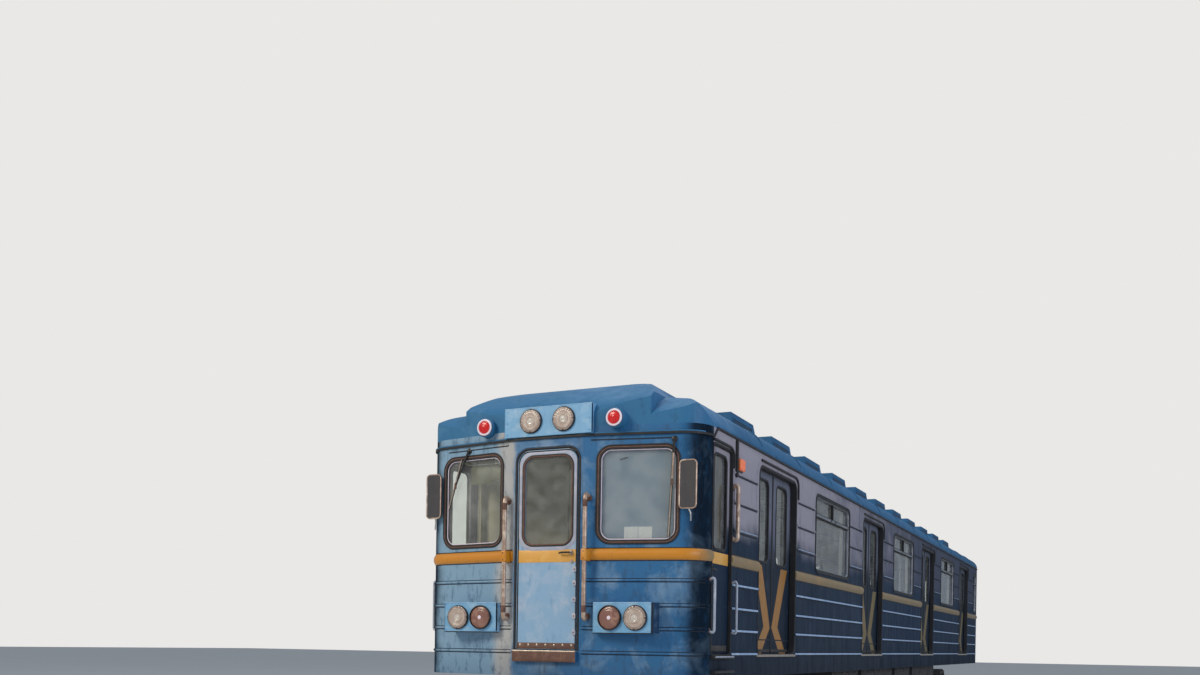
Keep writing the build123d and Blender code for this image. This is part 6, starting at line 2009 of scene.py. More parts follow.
    def brake(self, piece: Piece, pivot: float, way: int) -> None:
        """Adds the brakes of one axle.

        Args:
            piece: The piece that takes them.
            pivot: Y of the bogie's pivot.
            way: -1 for the front axle, 1 for the rear one.
        """
        centre = pivot + way * self.axle
        angle = np.radians(np.linspace(-23, 23, 14))
        reach = self.wheel + 0.028
        arc = np.stack(
            (np.full(14, self.block), centre - way * reach * np.cos(angle), self.level + reach * np.sin(angle)), -1)
        block = carried(rounded_loop(0.038, 0.072, 0.004, 2), arc, (1, 0, 0))
        face = FRONT if way > 0 else REAR
        back = centre - way * (reach + 0.012)
        holder = plate((0.062, 0.21), 0.014, bevelled(0.034, 0.006), (self.block, back, self.level), face, 3)
        key = plate((0.02, 0.15), 0.004, bevelled(0.012), (self.block, back - way * 0.034, self.level), face, 2)
        hang = back - way * 0.026
        line = bent([(self.block, hang, self.level), (self.block, hang, 0.6), (0.905, hang - way * 0.01, 0.64)], 0.03)
        hanger = tube(line, 0.014, 10, (0.2, 1, 0))
        pin = turned(
            [(0.004, -0.05), (0.016, -0.05), (0.018, -0.046), (0.018, 0.046), (0.016, 0.05), (0.004, 0.05)],
            (self.block, hang, self.level), LEFT, 12)
        cylinder = turned(
            [
                (0.03, -0.01), (0.09, -0.01), (0.09, 0.01), (0.08, 0.014), (0.08, 0.115), (0.09, 0.119),
                (0.09, 0.132), (0.06, 0.145), (0.026, 0.15), (0.018, 0.185), (0.018, 0.25), (0.004, 0.25)],
            (0.7, pivot + way * 0.215, 0.49), REAR if way > 0 else FRONT, 24)
        link = bar((0, 0), (0, 0.19), 0.03, -0.007, 0.007, (0.735, pivot + way * 0.47, self.level - 0.01), LEFT)
        rod = tube([(0.735, pivot + way * 0.47, self.level), (0.8, hang, self.level)], 0.011, 10, (0, 0, 1))
        piece.both(RUSTY, block, key, pin)
        piece.both(CAST, holder, hanger, cylinder, link, rod)

    def motor_gear(self, end: str, pivot: float) -> None:
        """Builds the bands, bolted end covers, hatches and terminal boxes of the traction motors.

        Args:
            end: Name of the bogie's end.
            pivot: Y of its pivot.
        """
        piece = Piece(f"motor_gear_{end}", f"bogie_{end}", "underbody_grey")
        band = [(0.25, 0), (0.269, 0), (0.271, 0.003), (0.271, 0.015), (0.269, 0.018), (0.25, 0.018)]
        cover = [
            (0.1, -0.002), (0.205, -0.002), (0.205, 0.01), (0.2, 0.014), (0.12, 0.016), (0.112, 0.034), (0.07, 0.038),
            (0.06, 0.05), (0.001, 0.05)]
        screw = bolt(0.011, 0, 0.009, 0.006, 0.011, LEFT)
        ring = [(0.323, 0.18 * math.cos(a), 0.18 * math.sin(a)) for a in np.linspace(0, 2 * math.pi, 9)[:-1]]
        hatch = plate((0.24, 0.17), 0.016, bevelled(0.012, 0.003), (0, 0, -0.2645), DOWN, 3)
        latch = plate((0.05, 0.02), 0.004, bevelled(0.012, 0.003), (0, 0, -0.2765), DOWN, 2)
        terminals = plate((0.16, 0.12), 0.014, bevelled(0.045, 0.006), (0.16, 0, 0.245), UP, 3)
        stud = bolt(0.009, -0.002, 0.006, 0.005, 0.008, UP)
        studs = [(0.16 + x, y, 0.2905) for x in (-0.06, 0.06) for y in (-0.04, 0.04)]
        for way in (-1, 1):
            shift = [(0, pivot + way * 0.49, 0.43)]
            rings = copies(turned(band, (0, 0, 0), LEFT, 44), [(x, 0, 0) for x in (0.2, 0.085, -0.009)])
            piece.both(CAST, copies(rings, shift), copies(turned(cover, (0.31, 0, 0), LEFT, 36), shift))
            piece.both(RUSTY, copies(copies(screw, ring), shift))
            piece.add(UNDERFRAME, copies(hatch, shift))
            piece.add(WORN_STEEL, copies(copies(latch, [(-0.07, 0, 0), (0.07, 0, 0)]), shift))
            piece.both(UNDERFRAME, copies(terminals, shift))
            piece.both(RUSTY, copies(copies(stud, studs), shift))
        piece.build(smooth=38)

    def shoe_gear(self, end: str, pivot: float) -> None:
        """Builds the hinge, springs and fuse box of the collector shoes.

        Args:
            end: Name of the bogie's end.
            pivot: Y of its pivot.
        """
        piece = Piece(f"shoe_gear_{end}", f"bogie_{end}", "collector_timber")
        here = [(0, pivot, 0)]
        x, z = self.hinge
        hinge = tube([(x, -0.15, z), (x, 0.15, z)], 0.015, 12)
        nut = [(0.004, 0), (0.022, 0), (0.022, 0.014), (0.018, 0.017), (0.004, 0.017)]
        nuts = [turned(nut, (x, y, z), face, 6) for y, face in ((0.15, REAR), (-0.15, FRONT))]
        ribs = plate((0.175, 0.014), 0.004, bevelled(0.02, 0.004), (1.315, 0, 0.2385), UP, 2)
        wear = plate((0.15, 0.2), 0.01, [(0, -0.002), (0, 0.0012), (0.002, 0.002)], (1.34, 0, 0.2105), DOWN, 2)
        share = np.linspace(0, 1, 60)
        angle = share * 2 * math.pi * 6
        coil = np.stack([1.235 + 0.016 * np.cos(angle), 0.016 * np.sin(angle), 0.262 + 0.12 * share], axis=-1)
        arm = bar((0, 0), (0, 0.12), 0.036, -0.004, 0.006, (1.216, 0, 0.275), LEFT)
        box = plate((0.15, 0.11), 0.014, bevelled(0.07, 0.008), (1.136, 0.36, 0.395), LEFT, 4)
        lid = plate((0.134, 0.094), 0.01, bevelled(0.006, 0.002), (1.206, 0.36, 0.395), LEFT, 3)
        screw = bolt(0.012, 0, 0.009, 0.006, 0.011, LEFT)
        pair = [(0, -0.085, 0), (0, 0.085, 0)]
        bolt_spots = [(1.2155, y, z) for y in (-0.048, 0.048) for z in (0.29, 0.385)]
        rows = (
            (CAST, hinge, copies(ribs, [(0, -0.08, 0), (0, 0, 0), (0, 0.08, 0)]), copies(arm, pair), box),
            (WORN_STEEL, wear, lid), (SPRING, copies(tube(coil, 0.0035, 6), pair)),
            (RUSTY, *nuts, copies(screw, bolt_spots)))
        for finish, *surfaces in rows:
            piece.both(finish, *(copies(surface, here) for surface in surfaces))
        piece.build(smooth=38)

    def treads(self, body: str, y: float) -> None:
        """Builds the polished band of each tread, the hub's lip and the rusty ring on the wheel's web.

        Args:
            body: The wheelset's body.
            y: Y of its axle.
        """
        piece = Piece(f"treads_{body}", body, "wheel_steel")
        inner = 0.72
        turns = np.linspace(0, 2 * math.pi, 72, endpoint=False)
        sections = (
            (
                WORN_STEEL,
                ((0.045, 0.386), (0.045, 0.3912), (0.05, 0.3922), (0.1, 0.3905), (0.104, 0.389), (0.104, 0.384))),
            (WHEEL, ((0.113, 0.1), (0.113, 0.118), (0.12, 0.118), (0.122, 0.112), (0.122, 0.1))),
            (RUSTY, ((0.07, 0.318), (0.078, 0.318), (0.078, 0.302), (0.07, 0.302))))
        for finish, section in sections:
            rows = [
                [(inner + x, y + radius * math.cos(a), self.level + radius * math.sin(a)) for x, radius in section]
                for a in turns]
            piece.both(finish, lattice(np.array(rows), closed=True))
        piece.build(smooth=35)


@dataclass
class Underside:
    """Case doors, reservoir straps, bearers, pipes and coupler details under the floor.

    Attributes:
        room: Half the length that the equipment cases share.
        deep: Full depth of a case.
        face: X of the cases' doors.
        lid: Height of the doors' upper edge.
        door: About how wide a case door is.
        bare: How much of a case's depth its door leaves bare.
        tank: X and height of the air reservoirs' middle.
        tank_y: Y of the middle of each reservoir.
        tank_half: Half the length between their ends.
        bearer_y: Y of the cross-bearers.
        left: Start, length and depth shares of the cases on the left side.
        right: The same on the right side.
    """

    room: float = 4.15
    deep: float = 0.62
    face: float = 1.24
    lid: float = 0.97
    door: float = 0.72
    bare: float = 0.09
    tank: tuple[float, float] = (0.26, 0.7)
    tank_y: tuple[float, ...] = (-2.6, 0, 2.6)
    tank_half: float = 0.7
    bearer_y: tuple[float, ...] = (-8.0, -7.2, -5.0, -4.3, -3.5, -1.75, -0.95, 0.95, 1.75, 3.5, 4.3, 5.0, 7.2, 8.0)
    left: tuple[tuple[float, float, float], ...] = (
        (-1.0, 0.361, 0.919), (-0.59, 0.53, 1.0), (0, 0.313, 0.871), (0.373, 0.554, 0.968))
    right: tuple[tuple[float, float, float], ...] = (
        (-0.976, 0.506, 0.968), (-0.41, 0.289, 0.855), (-0.06, 0.578, 1.0), (0.578, 0.361, 0.919))

    def build(self) -> None:
        """Builds everything under the floor."""
        self.cases()
        self.tanks()
        self.bearers()
        for end, turn in (("rear", False), ("front", True)):
            self.coupler(end, turn)

    def cases(self) -> None:
        """Builds the doors, hinges, catches, louvres and hanging straps of the equipment cases."""
        piece = Piece("case_doors", BODY, "underbody_grey")
        for side, table in (("left", self.left), ("right", self.right)):
            for start, length, depth in table:
                count = max(1, round(length * self.room / self.door))
                width = length * self.room / count
                for number in range(count):
                    y = start * self.room + (number + 0.5) * width
                    for finish, surface in self.case_door(y, width, depth * self.deep - self.bare, number):
                        piece.add(finish, on_side(surface, side))
        piece.build(smooth=35)

    def case_door(self, y: float, width: float, tall: float, number: int) -> list[tuple[Finish, Surface]]:
        """Draws one case door on the left side, with the strap at its edge; every other one has louvres.

        Args:
            y: Y of its middle.
            width: Width of its bay.
            tall: Height of the door.
            number: Its number in the case, from 0.

        Returns:
            Finishes and surfaces.
        """
        middle = self.lid - tall / 2
        low = middle - tall / 2 + 0.035
        door = plate((width - 0.036, tall), 0.014, bevelled(0.006, 0.003), (self.face, y, middle), LEFT, 2)
        fold = rim(
            (width - 0.076, tall - 0.05), 0.012, [(0, 0.004), (0, 0.009), (0.006, 0.01), (0.012, 0.004)],
            (self.face, y, middle), LEFT, 2)
        hinge = tube([(1.249, -0.035, 0), (1.249, 0.035, 0)], 0.008, 8)
        pull = turned(
            [(0.02, 0), (0.02, 0.005), (0.012, 0.008), (0.008, 0.016), (0.001, 0.016)], (1.246, 0, 0), LEFT, 12)
        wing = bar((-0.022, 0), (0.022, 0), 0.011, 0.012, 0.02, (1.246, 0, 0), LEFT)
        across = (y - width * 0.28, y + width * 0.28)
        spots = [(0, place, low) for place in across]
        rows = [
            (UNDERFRAME, door), (UNDERFRAME, fold),
            (CAST, copies(hinge, [(0, place, self.lid - 0.004) for place in across])),
            (WORN_STEEL, copies(pull, spots)), (WORN_STEEL, copies(wing, spots))]
        if number % 2 == 0:
            slot = bar((-width * 0.26, 0), (width * 0.26, 0), 0.016, 0.004, 0.013, (self.face, y, 0), LEFT)
            rows.append((CAST, copies(slot, [(0, 0, middle + z) for z in (-0.06, -0.02, 0.02, 0.06)])))
        edge = y - width / 2 + (0.012 if number == 0 else 0.0)
        strap = plate((0.03, tall + 0.06), 0.004, bevelled(0.01, 0.002), (self.face, edge, middle), LEFT, 1)
        rivet = turned([(0.01, 0), (0.01, 0.007), (0.001, 0.009)], (1.25, 0, 0), LEFT, 6)
        return rows + [(CAST, strap), (RUSTY, copies(rivet, [(0, edge, self.lid - 0.01), (0, edge, low - 0.03)]))]

    def tanks(self) -> None:
        """Builds the domed ends, weld beads, straps and drain cocks of the six air reservoirs."""
        piece = Piece("tank_fittings", BODY, "underbody_grey")
        x, z = self.tank
        dome = [
            (0.08, -0.002), (0.134, -0.002), (0.132, 0.008), (0.112, 0.024), (0.07, 0.038), (0.03, 0.043),
            (0.028, 0.056), (0.001, 0.056)]
        ring = [(0.17, -0.006), (0.1825, -0.006), (0.1845, 0), (0.1825, 0.006), (0.17, 0.006)]
        strap = [(0.17, -0.025), (0.184, -0.025), (0.1855, -0.022), (0.1855, 0.022), (0.184, 0.025), (0.17, 0.025)]
        cock = turned(
            [
                (0.01, -0.01), (0.018, -0.01), (0.018, 0.012), (0.01, 0.016), (0.01, 0.04), (0.016, 0.044),
                (0.016, 0.056), (0.001, 0.056)],
            (x, 0, z - 0.178), DOWN, 10)
        handle = bar((-0.006, 0), (0.05, 0), 0.012, -0.003, 0.003, (x, 0, z - 0.222), DOWN)
        for y in self.tank_y:
            parts = [
                (UNDERFRAME, turned(dome, (x, y - self.tank_half, z), FRONT, 32)),
                (UNDERFRAME, turned(dome, (x, y + self.tank_half, z), REAR, 32)),
                (CAST, copies(turned(ring, (x, y, z), REAR, 40), [(0, -0.6, 0), (0, 0, 0), (0, 0.6, 0)])),
                (RUSTY, copies(turned(strap, (x, y, z), REAR, 40), [(0, -0.45, 0), (0, 0.45, 0)])),
                (WORN_STEEL, copies(cock, [(0, y + 0.3, 0)])), (RED, copies(handle, [(0, y + 0.3, 0)]))]
            for finish, surface in parts:
                piece.both(finish, surface)
        piece.build(smooth=40)

    def bearers(self) -> None:
        """Builds the pressed cross-bearers under the floor and the long pipes between them."""
        piece = Piece("cross_bearers", BODY, "underbody_grey")
        web = plate((2.38, 0.078), 0.004, [(0, -0.004), (0, 0.004)], (0, 0, 1.125), REAR, 1)
        foot = plate((2.38, 0.06), 0.004, [(0, 0), (0, 0.006), (0.001, 0.007)], (0, 0.026, 1.092), DOWN, 1)
        gusset = plate((0.01, 0.07), 0.002, [(0, 0), (0, 0.05), (0.002, 0.052)], (0, 0.004, 1.127), REAR, 1)
        places = [(0, y, 0) for y in self.bearer_y]
        piece.add(UNDERFRAME, copies(web, places), copies(foot, places))
        piece.add(UNDERFRAME, copies(copies(gusset, [(x, 0, 0) for x in (-1.0, -0.6, 0.6, 1.0)]), places))
        for x, z, radius in ((0.47, 1.076, 0.017), (0.52, 1.078, 0.012), (0.555, 1.078, 0.012)):
            piece.both(CAST, tube([(x, -7.75, z), (x, 0, z), (x, 7.75, z)], radius, 10))
        clip = plate((0.13, 0.02), 0.004, bevelled(0.004, 0.001), (0.512, 0, 1.06), DOWN, 2)
        elbow = turned([(0.01, -0.02), (0.026, -0.02), (0.026, 0.02), (0.01, 0.02)], (0.47, 0, 1.076), REAR, 12)
        piece.both(RUSTY, copies(clip, places), copies(elbow, [(0, y, 0) for y in (-6.1, -2.3, 2.3, 6.1)]))
        piece.build(smooth=38)

    def coupler(self, end: str, turn: bool) -> None:
        """Builds one coupler's face ring, air ports, contact box, collars and lever.

        Args:
            end: Name of the end.
            turn: Whether it is turned half round from the rear end.
        """
        piece = Piece(f"coupler_gear_{end}", f"coupler_{end}", "bogie_grey")
        z, face = 0.862, 9.545
        frame = rim(
            (0.31, 0.248), 0.034,
            [(0, -0.004), (0, 0.003), (0.003, 0.005), (0.011, 0.005), (0.014, 0.001), (0.014, -0.004)],
            (0, face, z - 0.001), REAR, 4)
        mouth = rim(
            (0.148, 0.148), 0.074,
            [(0, -0.004), (0, 0.006), (0.004, 0.009), (0.012, 0.009), (0.0155, 0.004), (0.0155, -0.004)],
            (0.085, face, z), REAR, 8)
        skirt = turned(
            [(0.04, -0.002), (0.066, -0.002), (0.064, 0.006), (0.056, 0.009), (0.04, 0.009)], (-0.085, face, z), REAR,
            28)
        port = turned(
            [(0.02, -0.003), (0.02, 0.008), (0.017, 0.012), (0.011, 0.012), (0.01, 0.004), (0.001, 0.004)],
            (0, face, z), REAR, 18)
        box = plate((0.27, 0.118), 0.018, [(0, -0.24), (0, 0), (0.005, 0.005)], (0, 9.5, z - 0.198), REAR, 4)
        cover = plate((0.25, 0.098), 0.012, bevelled(0.014, 0.004), (0, 9.505, z - 0.198), REAR, 4)
        ear = plate((0.06, 0.18), 0.01, bevelled(0.012, 0.003), (0, 9.3, z - 0.11), LEFT, 3)
        collar = [(0.05, -0.012), (0.072, -0.012), (0.074, -0.009), (0.074, 0.009), (0.072, 0.012), (0.05, 0.012)]
        collars = copies(turned(collar, (0, 0, z), REAR, 28), [(0, y, 0) for y in (8.52, 8.62, 8.72, 8.98)])
        lever = bent(
            [(0.165, 9.33, z + 0.05), (0.23, 9.33, z + 0.05), (0.262, 9.25, z - 0.01), (0.262, 9.12, z - 0.03)], 0.03)
        screw = bolt(0.011, 0, 0.008, 0.006, 0.01, REAR)
        spots = [(x, face, z + h) for x in (-0.138, 0.138) for h in (-0.105, 0.103)]
        rows = (
            (WORN_STEEL, frame), (WORN_STEEL, mouth), (WORN_STEEL, skirt),
            (RUSTY, copies(port, [(0, 0, 0.098), (0, 0, -0.098)])), (UNDERFRAME, box), (RUBBER, cover),
            (CAST, copies(ear, [(-0.128, 0, 0), (0.116, 0, 0)])), (CAST, collars),
            (RUSTY, tube(lever, 0.01, 10, (0.1, 0.2, 1))), (RUSTY, copies(screw, spots)))
        for finish, surface in rows:
            piece.add(finish, turned_end(surface) if turn else surface)
        piece.build(smooth=38)


def cushion(
    start: Sequence[float], along: Sequence[float], across: Sequence[float], out: Sequence[float], seams: int,
    steps: int
) -> tuple[Surface, Surface]:
    """Crowned cushion with sewn channels, and the piping round its edge.

    Seen from above it is a rectangle whose sides pull in between the seams; its section is a rounded
    oblong that swells most in the middle of each channel, with a flat back. The top sinks sharply at
    every seam, by a bell curve of the distance from it.

    Args:
        start: Middle of the cushion's back.
        along: Half of its length, as a vector.
        across: Half of its width, as a vector.
        out: Its thickness at the crown, as a vector.
        seams: Number of channels.
        steps: Rows of points in each channel.

    Returns:
        The cushion and its piping.
    """
    middle, length, width, thick = (np.array(way, float) for way in (start, along, across, out))
    share = np.linspace(-1, 1, seams * steps + 1)
    place = (share + 1) / 2 * seams
    gap = np.abs(place - np.round(place)) / seams * 2 * np.linalg.norm(length)
    end = (1 - np.abs(share) ** 14 * 0.999) ** (1 / 5)
    sunk = 1 - 0.22 * np.exp(-((gap / 0.014) ** 2)) - 0.07 * np.cos(place * 2 * math.pi)
    angle = np.linspace(0, 2 * math.pi, 28, endpoint=False)
    side = np.sign(np.cos(angle)) * np.abs(np.cos(angle)) ** 0.3
    rise = np.where(np.sin(angle) > 0, np.abs(np.sin(angle)) ** 0.55, 0)
    crown = rise * (1 + 0.1 * (1 - side**2))
    pull = end * (1 - 0.012 * np.cos(place * 2 * math.pi) ** 2)
    rows = (
        middle + share[:, None, None] * length + (pull[:, None] * side)[..., None] * width + (
            end[:, None] * sunk[:, None] * crown)[..., None] * thick)
    lift = 0.62 * thick
    edge = np.array([(-0.985, -0.97), (-0.985, 0.97), (0.985, 0.97), (0.985, -0.97)])
    corners = np.concatenate([edge, edge[:1]])
    line = np.concatenate([np.linspace(a, b, 8, endpoint=False) for a, b in zip(corners[:-1], corners[1:])])
    path = middle + lift + line[:, :1] * length + line[:, 1:] * width
    ring = np.linspace(0, 2 * math.pi, 6, endpoint=False)
    sides = path - middle - lift
    sides = sides / np.linalg.norm(sides, axis=1, keepdims=True)
    up = thick / np.linalg.norm(thick)
    piping = path[:, None] + 0.005 * (np.cos(ring)[None, :, None] * sides[:, None] + np.sin(ring)[None, :, None] * up)
    return lattice(rows), lattice(piping, closed=True)


@dataclass
class Interior:
    """Benches, driver's place, ceiling, floor covering and lamps that show through the glass.

    Attributes:
        runs: Start and end of each bench along Y.
        ceiling: Height of the ceiling at the middle.
        span: Half width of the ceiling.
        drop: How much lower the ceiling is at its sides.
        pitch: Distance between ceiling joints, and between lamps.
        chair: X and Y of the driver's seat.
    """

    runs: tuple[tuple[float, float], ...] = ((-6.259, -3.033), (-1.613, 1.613), (3.033, 6.259), (7.679, 9.155))
    ceiling: float = 3.4
    span: float = 1.222
    drop: float = 0.256
    pitch: float = 1.42
    chair: tuple[float, float] = (-0.57, FRONT_Y + 0.69)

    @property
    def radius(self) -> float:
        """Radius of the ceiling's arc, from its span and its drop."""
        return (self.span**2 + self.drop**2) / (2 * self.drop)

    def build(self) -> None:
        """Builds the saloon and the cab."""
        self.benches()
        self.linings()
        self.lamps()
        self.driver()

    def benches(self) -> None:
        """Builds the bench shells, and each padded seat and back as its own cushion."""
        shell = Piece("bench_shells", BODY, "seat_brown")
        foot = np.array(
            [
                (1.221, 1.211), (0.842, 1.211), (0.772, 1.5), (0.772, 1.56), (1.15, 1.545), (1.1905, 2.05),
                (1.2, 2.06), (1.221, 2.06)])
        trim = np.array(
            [(0.7695, 1.545), (0.7665, 1.548), (0.7665, 1.562), (0.7695, 1.565), (0.774, 1.562), (0.774, 1.548)])
        for start, end in self.runs:
            shell.both(DESK, prism(foot, start + 0.004, end - 0.004))
            shell.both(WORN_STEEL, prism(trim, start + 0.01, end - 0.01))
            arm = bent([(1.15, 0, 1.7), (0.8, 0, 1.7), (0.8, 0, 1.56)], 0.05)
            shell.both(CHROME, copies(tube(arm, 0.012, 10, (0, 1, 0)), [(0, start + 0.016, 0), (0, end - 0.016, 0)]))
        shell.build("saloon_seats")
        for number, (start, end) in enumerate(self.runs):
            half = (0, (end - start) / 2 - 0.034, 0)
            seams = max(2, round((end - start) / 0.46))
            shapes = {
                "seat": ((0.947, (start + end) / 2, 1.553), half, (0.17, 0, -0.01), (0.005, 0, 0.083)),
                "back": ((1.17, (start + end) / 2, 1.842), half, (0.0175, 0, 0.208), (-0.047, 0, 0.004))}
            for name, (middle, along, across, out) in shapes.items():
                pad, piping = cushion(middle, along, across, out, seams, 12)
                for side in ("left", "right"):
                    piece = Piece(f"bench_{name}_{number}_{side}", BODY, "seat_brown")
                    for finish, surface in ((SEAT, pad), (PIPING, piping)):
                        piece.add(finish, on_side(surface, side))
                    piece.build(smooth=60)

    def linings(self) -> None:
        """Builds the arched ceiling lining, its joint strips and the floor covering."""
        piece = Piece("ceiling_lining", BODY, "lining_cream")
        x = np.linspace(-self.span + 0.012, self.span - 0.012, 37)
        arch = np.stack([x, self.ceiling - 0.004 - self.radius + np.sqrt(self.radius**2 - x**2)], axis=-1)
        under = arch[::-1] - (0, 0.004)
        piece.add(LINING, prism(np.concatenate([arch, under]), -8.3, 9.195))
        strip = prism(np.concatenate([under, (under - (0, 0.004))[::-1]]), -0.015, 0.015)
        piece.add(GREY_ALLOY, copies(strip, [(0, y, 0) for y in np.arange(-7.6, 9.0, self.pitch)]))
        piece.build(smooth=30)
        floor = Piece("floor_covering", BODY, "underbody_grey")
        cover = plate((2.4, 17.45), 0.02, [(0, -0.001), (0, 0.003), (0.002, 0.004)], (0, 0.43, 1.21), UP, 2)
        seam = plate((0.03, 17.4), 0.004, [(0, 0.003), (0, 0.006), (0.003, 0.007)], (0, 0.43, 1.21), UP, 1)
        floor.add(LINOLEUM, cover)
        floor.add(GREY_ALLOY, copies(seam, [(-0.45, 0, 0), (0.45, 0, 0)]))
        floor.build()

    def lamps(self) -> None:
        """Builds the two rows of ceiling lamps, and the brackets at the ends of the grab rails."""
        piece = Piece("ceiling_lamps", BODY, "lining_cream")
        x = 0.56
        z = self.ceiling - self.radius + math.sqrt(self.radius**2 - x**2) - 0.01
        tray = plate((0.18, 0.64), 0.03, [(0, -0.004), (0, 0.014), (0.006, 0.02)], (x, 0, z), DOWN, 5)
        shade = plate(
            (0.156, 0.616), 0.026, [(0, 0.014), (0, 0.034), (0.008, 0.05), (0.03, 0.06)], (x, 0, z), DOWN, 5)
        places = [(0, y, 0) for y in np.arange(-7.4, 9.0, self.pitch)]
        piece.both(GREY_ALLOY, copies(tray, places))
        piece.both(SHADE, copies(shade, places))
        bracket = turned(
            [(0.01, 0), (0.03, 0), (0.03, 0.006), (0.018, 0.012), (0.017, 0.05), (0.01, 0.05)], (0.74, 0, 3.296),
            DOWN, 14)
        piece.both(
            GREY_ALLOY, copies(bracket, [(0, y + way * 0.04, 0) for run in self.runs for y, way in zip(run, (1, -1))])
        )
        piece.build(smooth=40)

    def driver(self) -> None:
        """Builds the driver's desk with its instruments, and the padded seat on its post."""
        piece = Piece("driver_desk", BODY, "desk_grey")
        piece.add(DESK, self.desk())
        self.dials(piece)
        self.controls(piece)
        x, y = self.chair
        post = turned(
            [
                (0.16, 0), (0.16, 0.008), (0.15, 0.014), (0.06, 0.02), (0.045, 0.03), (0.045, 0.33), (0.06, 0.335),
                (0.06, 0.4), (0.02, 0.4)],
            (x, y, 1.214), UP, 22)
        pan = plate((0.33, 0.31), 0.04, [(0, 0), (0, 0.01), (0.004, 0.014)], (x, y - 0.01, 1.606), UP, 5)
        stay = bent([(x, y + 0.01, 1.612), (x, y + 0.142, 1.612), (x, y + 0.142, 2.0)], 0.03)
        piece.add(CAST, post, pan, tube(stay, 0.012, 10, (1, 0, 0)))
        piece.build("cab_fittings", smooth=38)
        shapes = {
            "seat": ((x, y - 0.014, 1.622), (0.166, 0, 0), (0, 0.152, 0), (0, 0, 0.072)),
            "back": ((x, y + 0.139, 1.905), (0.16, 0, 0), (0, 0, 0.205), (0, -0.048, 0))}
        for name, (middle, along, across, out) in shapes.items():
            pad, piping = cushion(middle, along, across, out, 3, 12)
            part = Piece(f"driver_{name}_pad", BODY, "seat_brown")
            part.add(SEAT, pad)
            part.add(PIPING, piping)
            part.build(smooth=60)

    def desk(self) -> Surface:
        """Draws the desk: its section carried across the cab, with its front kept inside the nose.

        Returns:
            The closed surface.
        """
        x = np.linspace(-1.15, -0.362, 14)
        wall = nose_line(x)[0] + 0.075
        side = np.array(
            [(0.04, 1.212), (0.3, 1.212), (0.34, 1.75), (0.4, 1.9), (0.388, 1.915), (0.22, 2.01), (0.04, 2.038)])
        y = np.maximum(FRONT_Y + side[None, :, 0], wall[:, None] + np.arange(7)[None] * 1e-4)
        y = np.where(np.isin(np.arange(7), (0, 6))[None], wall[:, None], y)
        rows = np.stack(
            [np.broadcast_to(x[:, None], y.shape), y, np.broadcast_to(side[None, :, 1], y.shape)], axis=-1)
        return lattice(rows)

    def dials(self, piece: Piece) -> None:
        """Adds the four round instruments, each square to the desk's slope.

        Args:
            piece: The piece that takes them.
        """
        tilt = math.atan2(0.095, 0.168)
        slope = np.array([-0.755, FRONT_Y + 0.3, 1.966])
        way_up = np.array([0, -math.cos(tilt), math.sin(tilt)])
        way_out = np.array([0, math.sin(tilt), math.cos(tilt)])
        angle = np.linspace(0, 2 * math.pi, 24, endpoint=False)
        for shift, size in ((-0.26, 0.042), (-0.15, 0.052), (-0.02, 0.052), (0.09, 0.042)):
            for finish, profile in (
                (WIPER, [(1.0, -0.004), (1.0, 0.012), (0.92, 0.016), (0.86, 0.01), (0.5, 0.009)]),
                (CARD, [(0.85, 0.008), (0.85, 0.0105), (0.4, 0.0108)])
            ):
                dial = [
                    slope + (shift, 0, 0) + size * r * (
                        np.cos(angle)[:, None] * np.array([1.0, 0, 0]) + np.sin(angle)[:, None] * way_up
                    ) + h * way_out
                    for r, h in profile]
                piece.add(finish, lattice(np.stack(dial)))

    def controls(self, piece: Piece) -> None:
        """Adds the three knobs and the controller with its handle.

        Args:
            piece: The piece that takes them.
        """
        knob = turned(
            [
                (0.012, -0.004), (0.012, 0.01), (0.006, 0.014), (0.005, 0.03), (0.009, 0.034), (0.009, 0.044),
                (0.003, 0.048)],
            (-0.5, FRONT_Y + 0.13, 2.024), UP, 12)
        piece.add(WIPER, copies(knob, [(dx, 0, -dy * 0.1) for dy, dx in enumerate((0, 0.04, 0.08))]))
        drum = turned(
            [(0.07, -0.01), (0.07, 0.06), (0.064, 0.07), (0.02, 0.072), (0.02, 0.095), (0.01, 0.098)],
            (-0.98, FRONT_Y + 0.29, 1.985), UP, 24)
        handle = bent(
            [(-0.98, FRONT_Y + 0.29, 2.08), (-0.88, FRONT_Y + 0.32, 2.085), (-0.86, FRONT_Y + 0.325, 2.13)], 0.02)
        piece.add(GREY_ALLOY, drum)
        piece.add(WIPER, tube(handle, 0.011, 10, (0.1, 1, 0)))


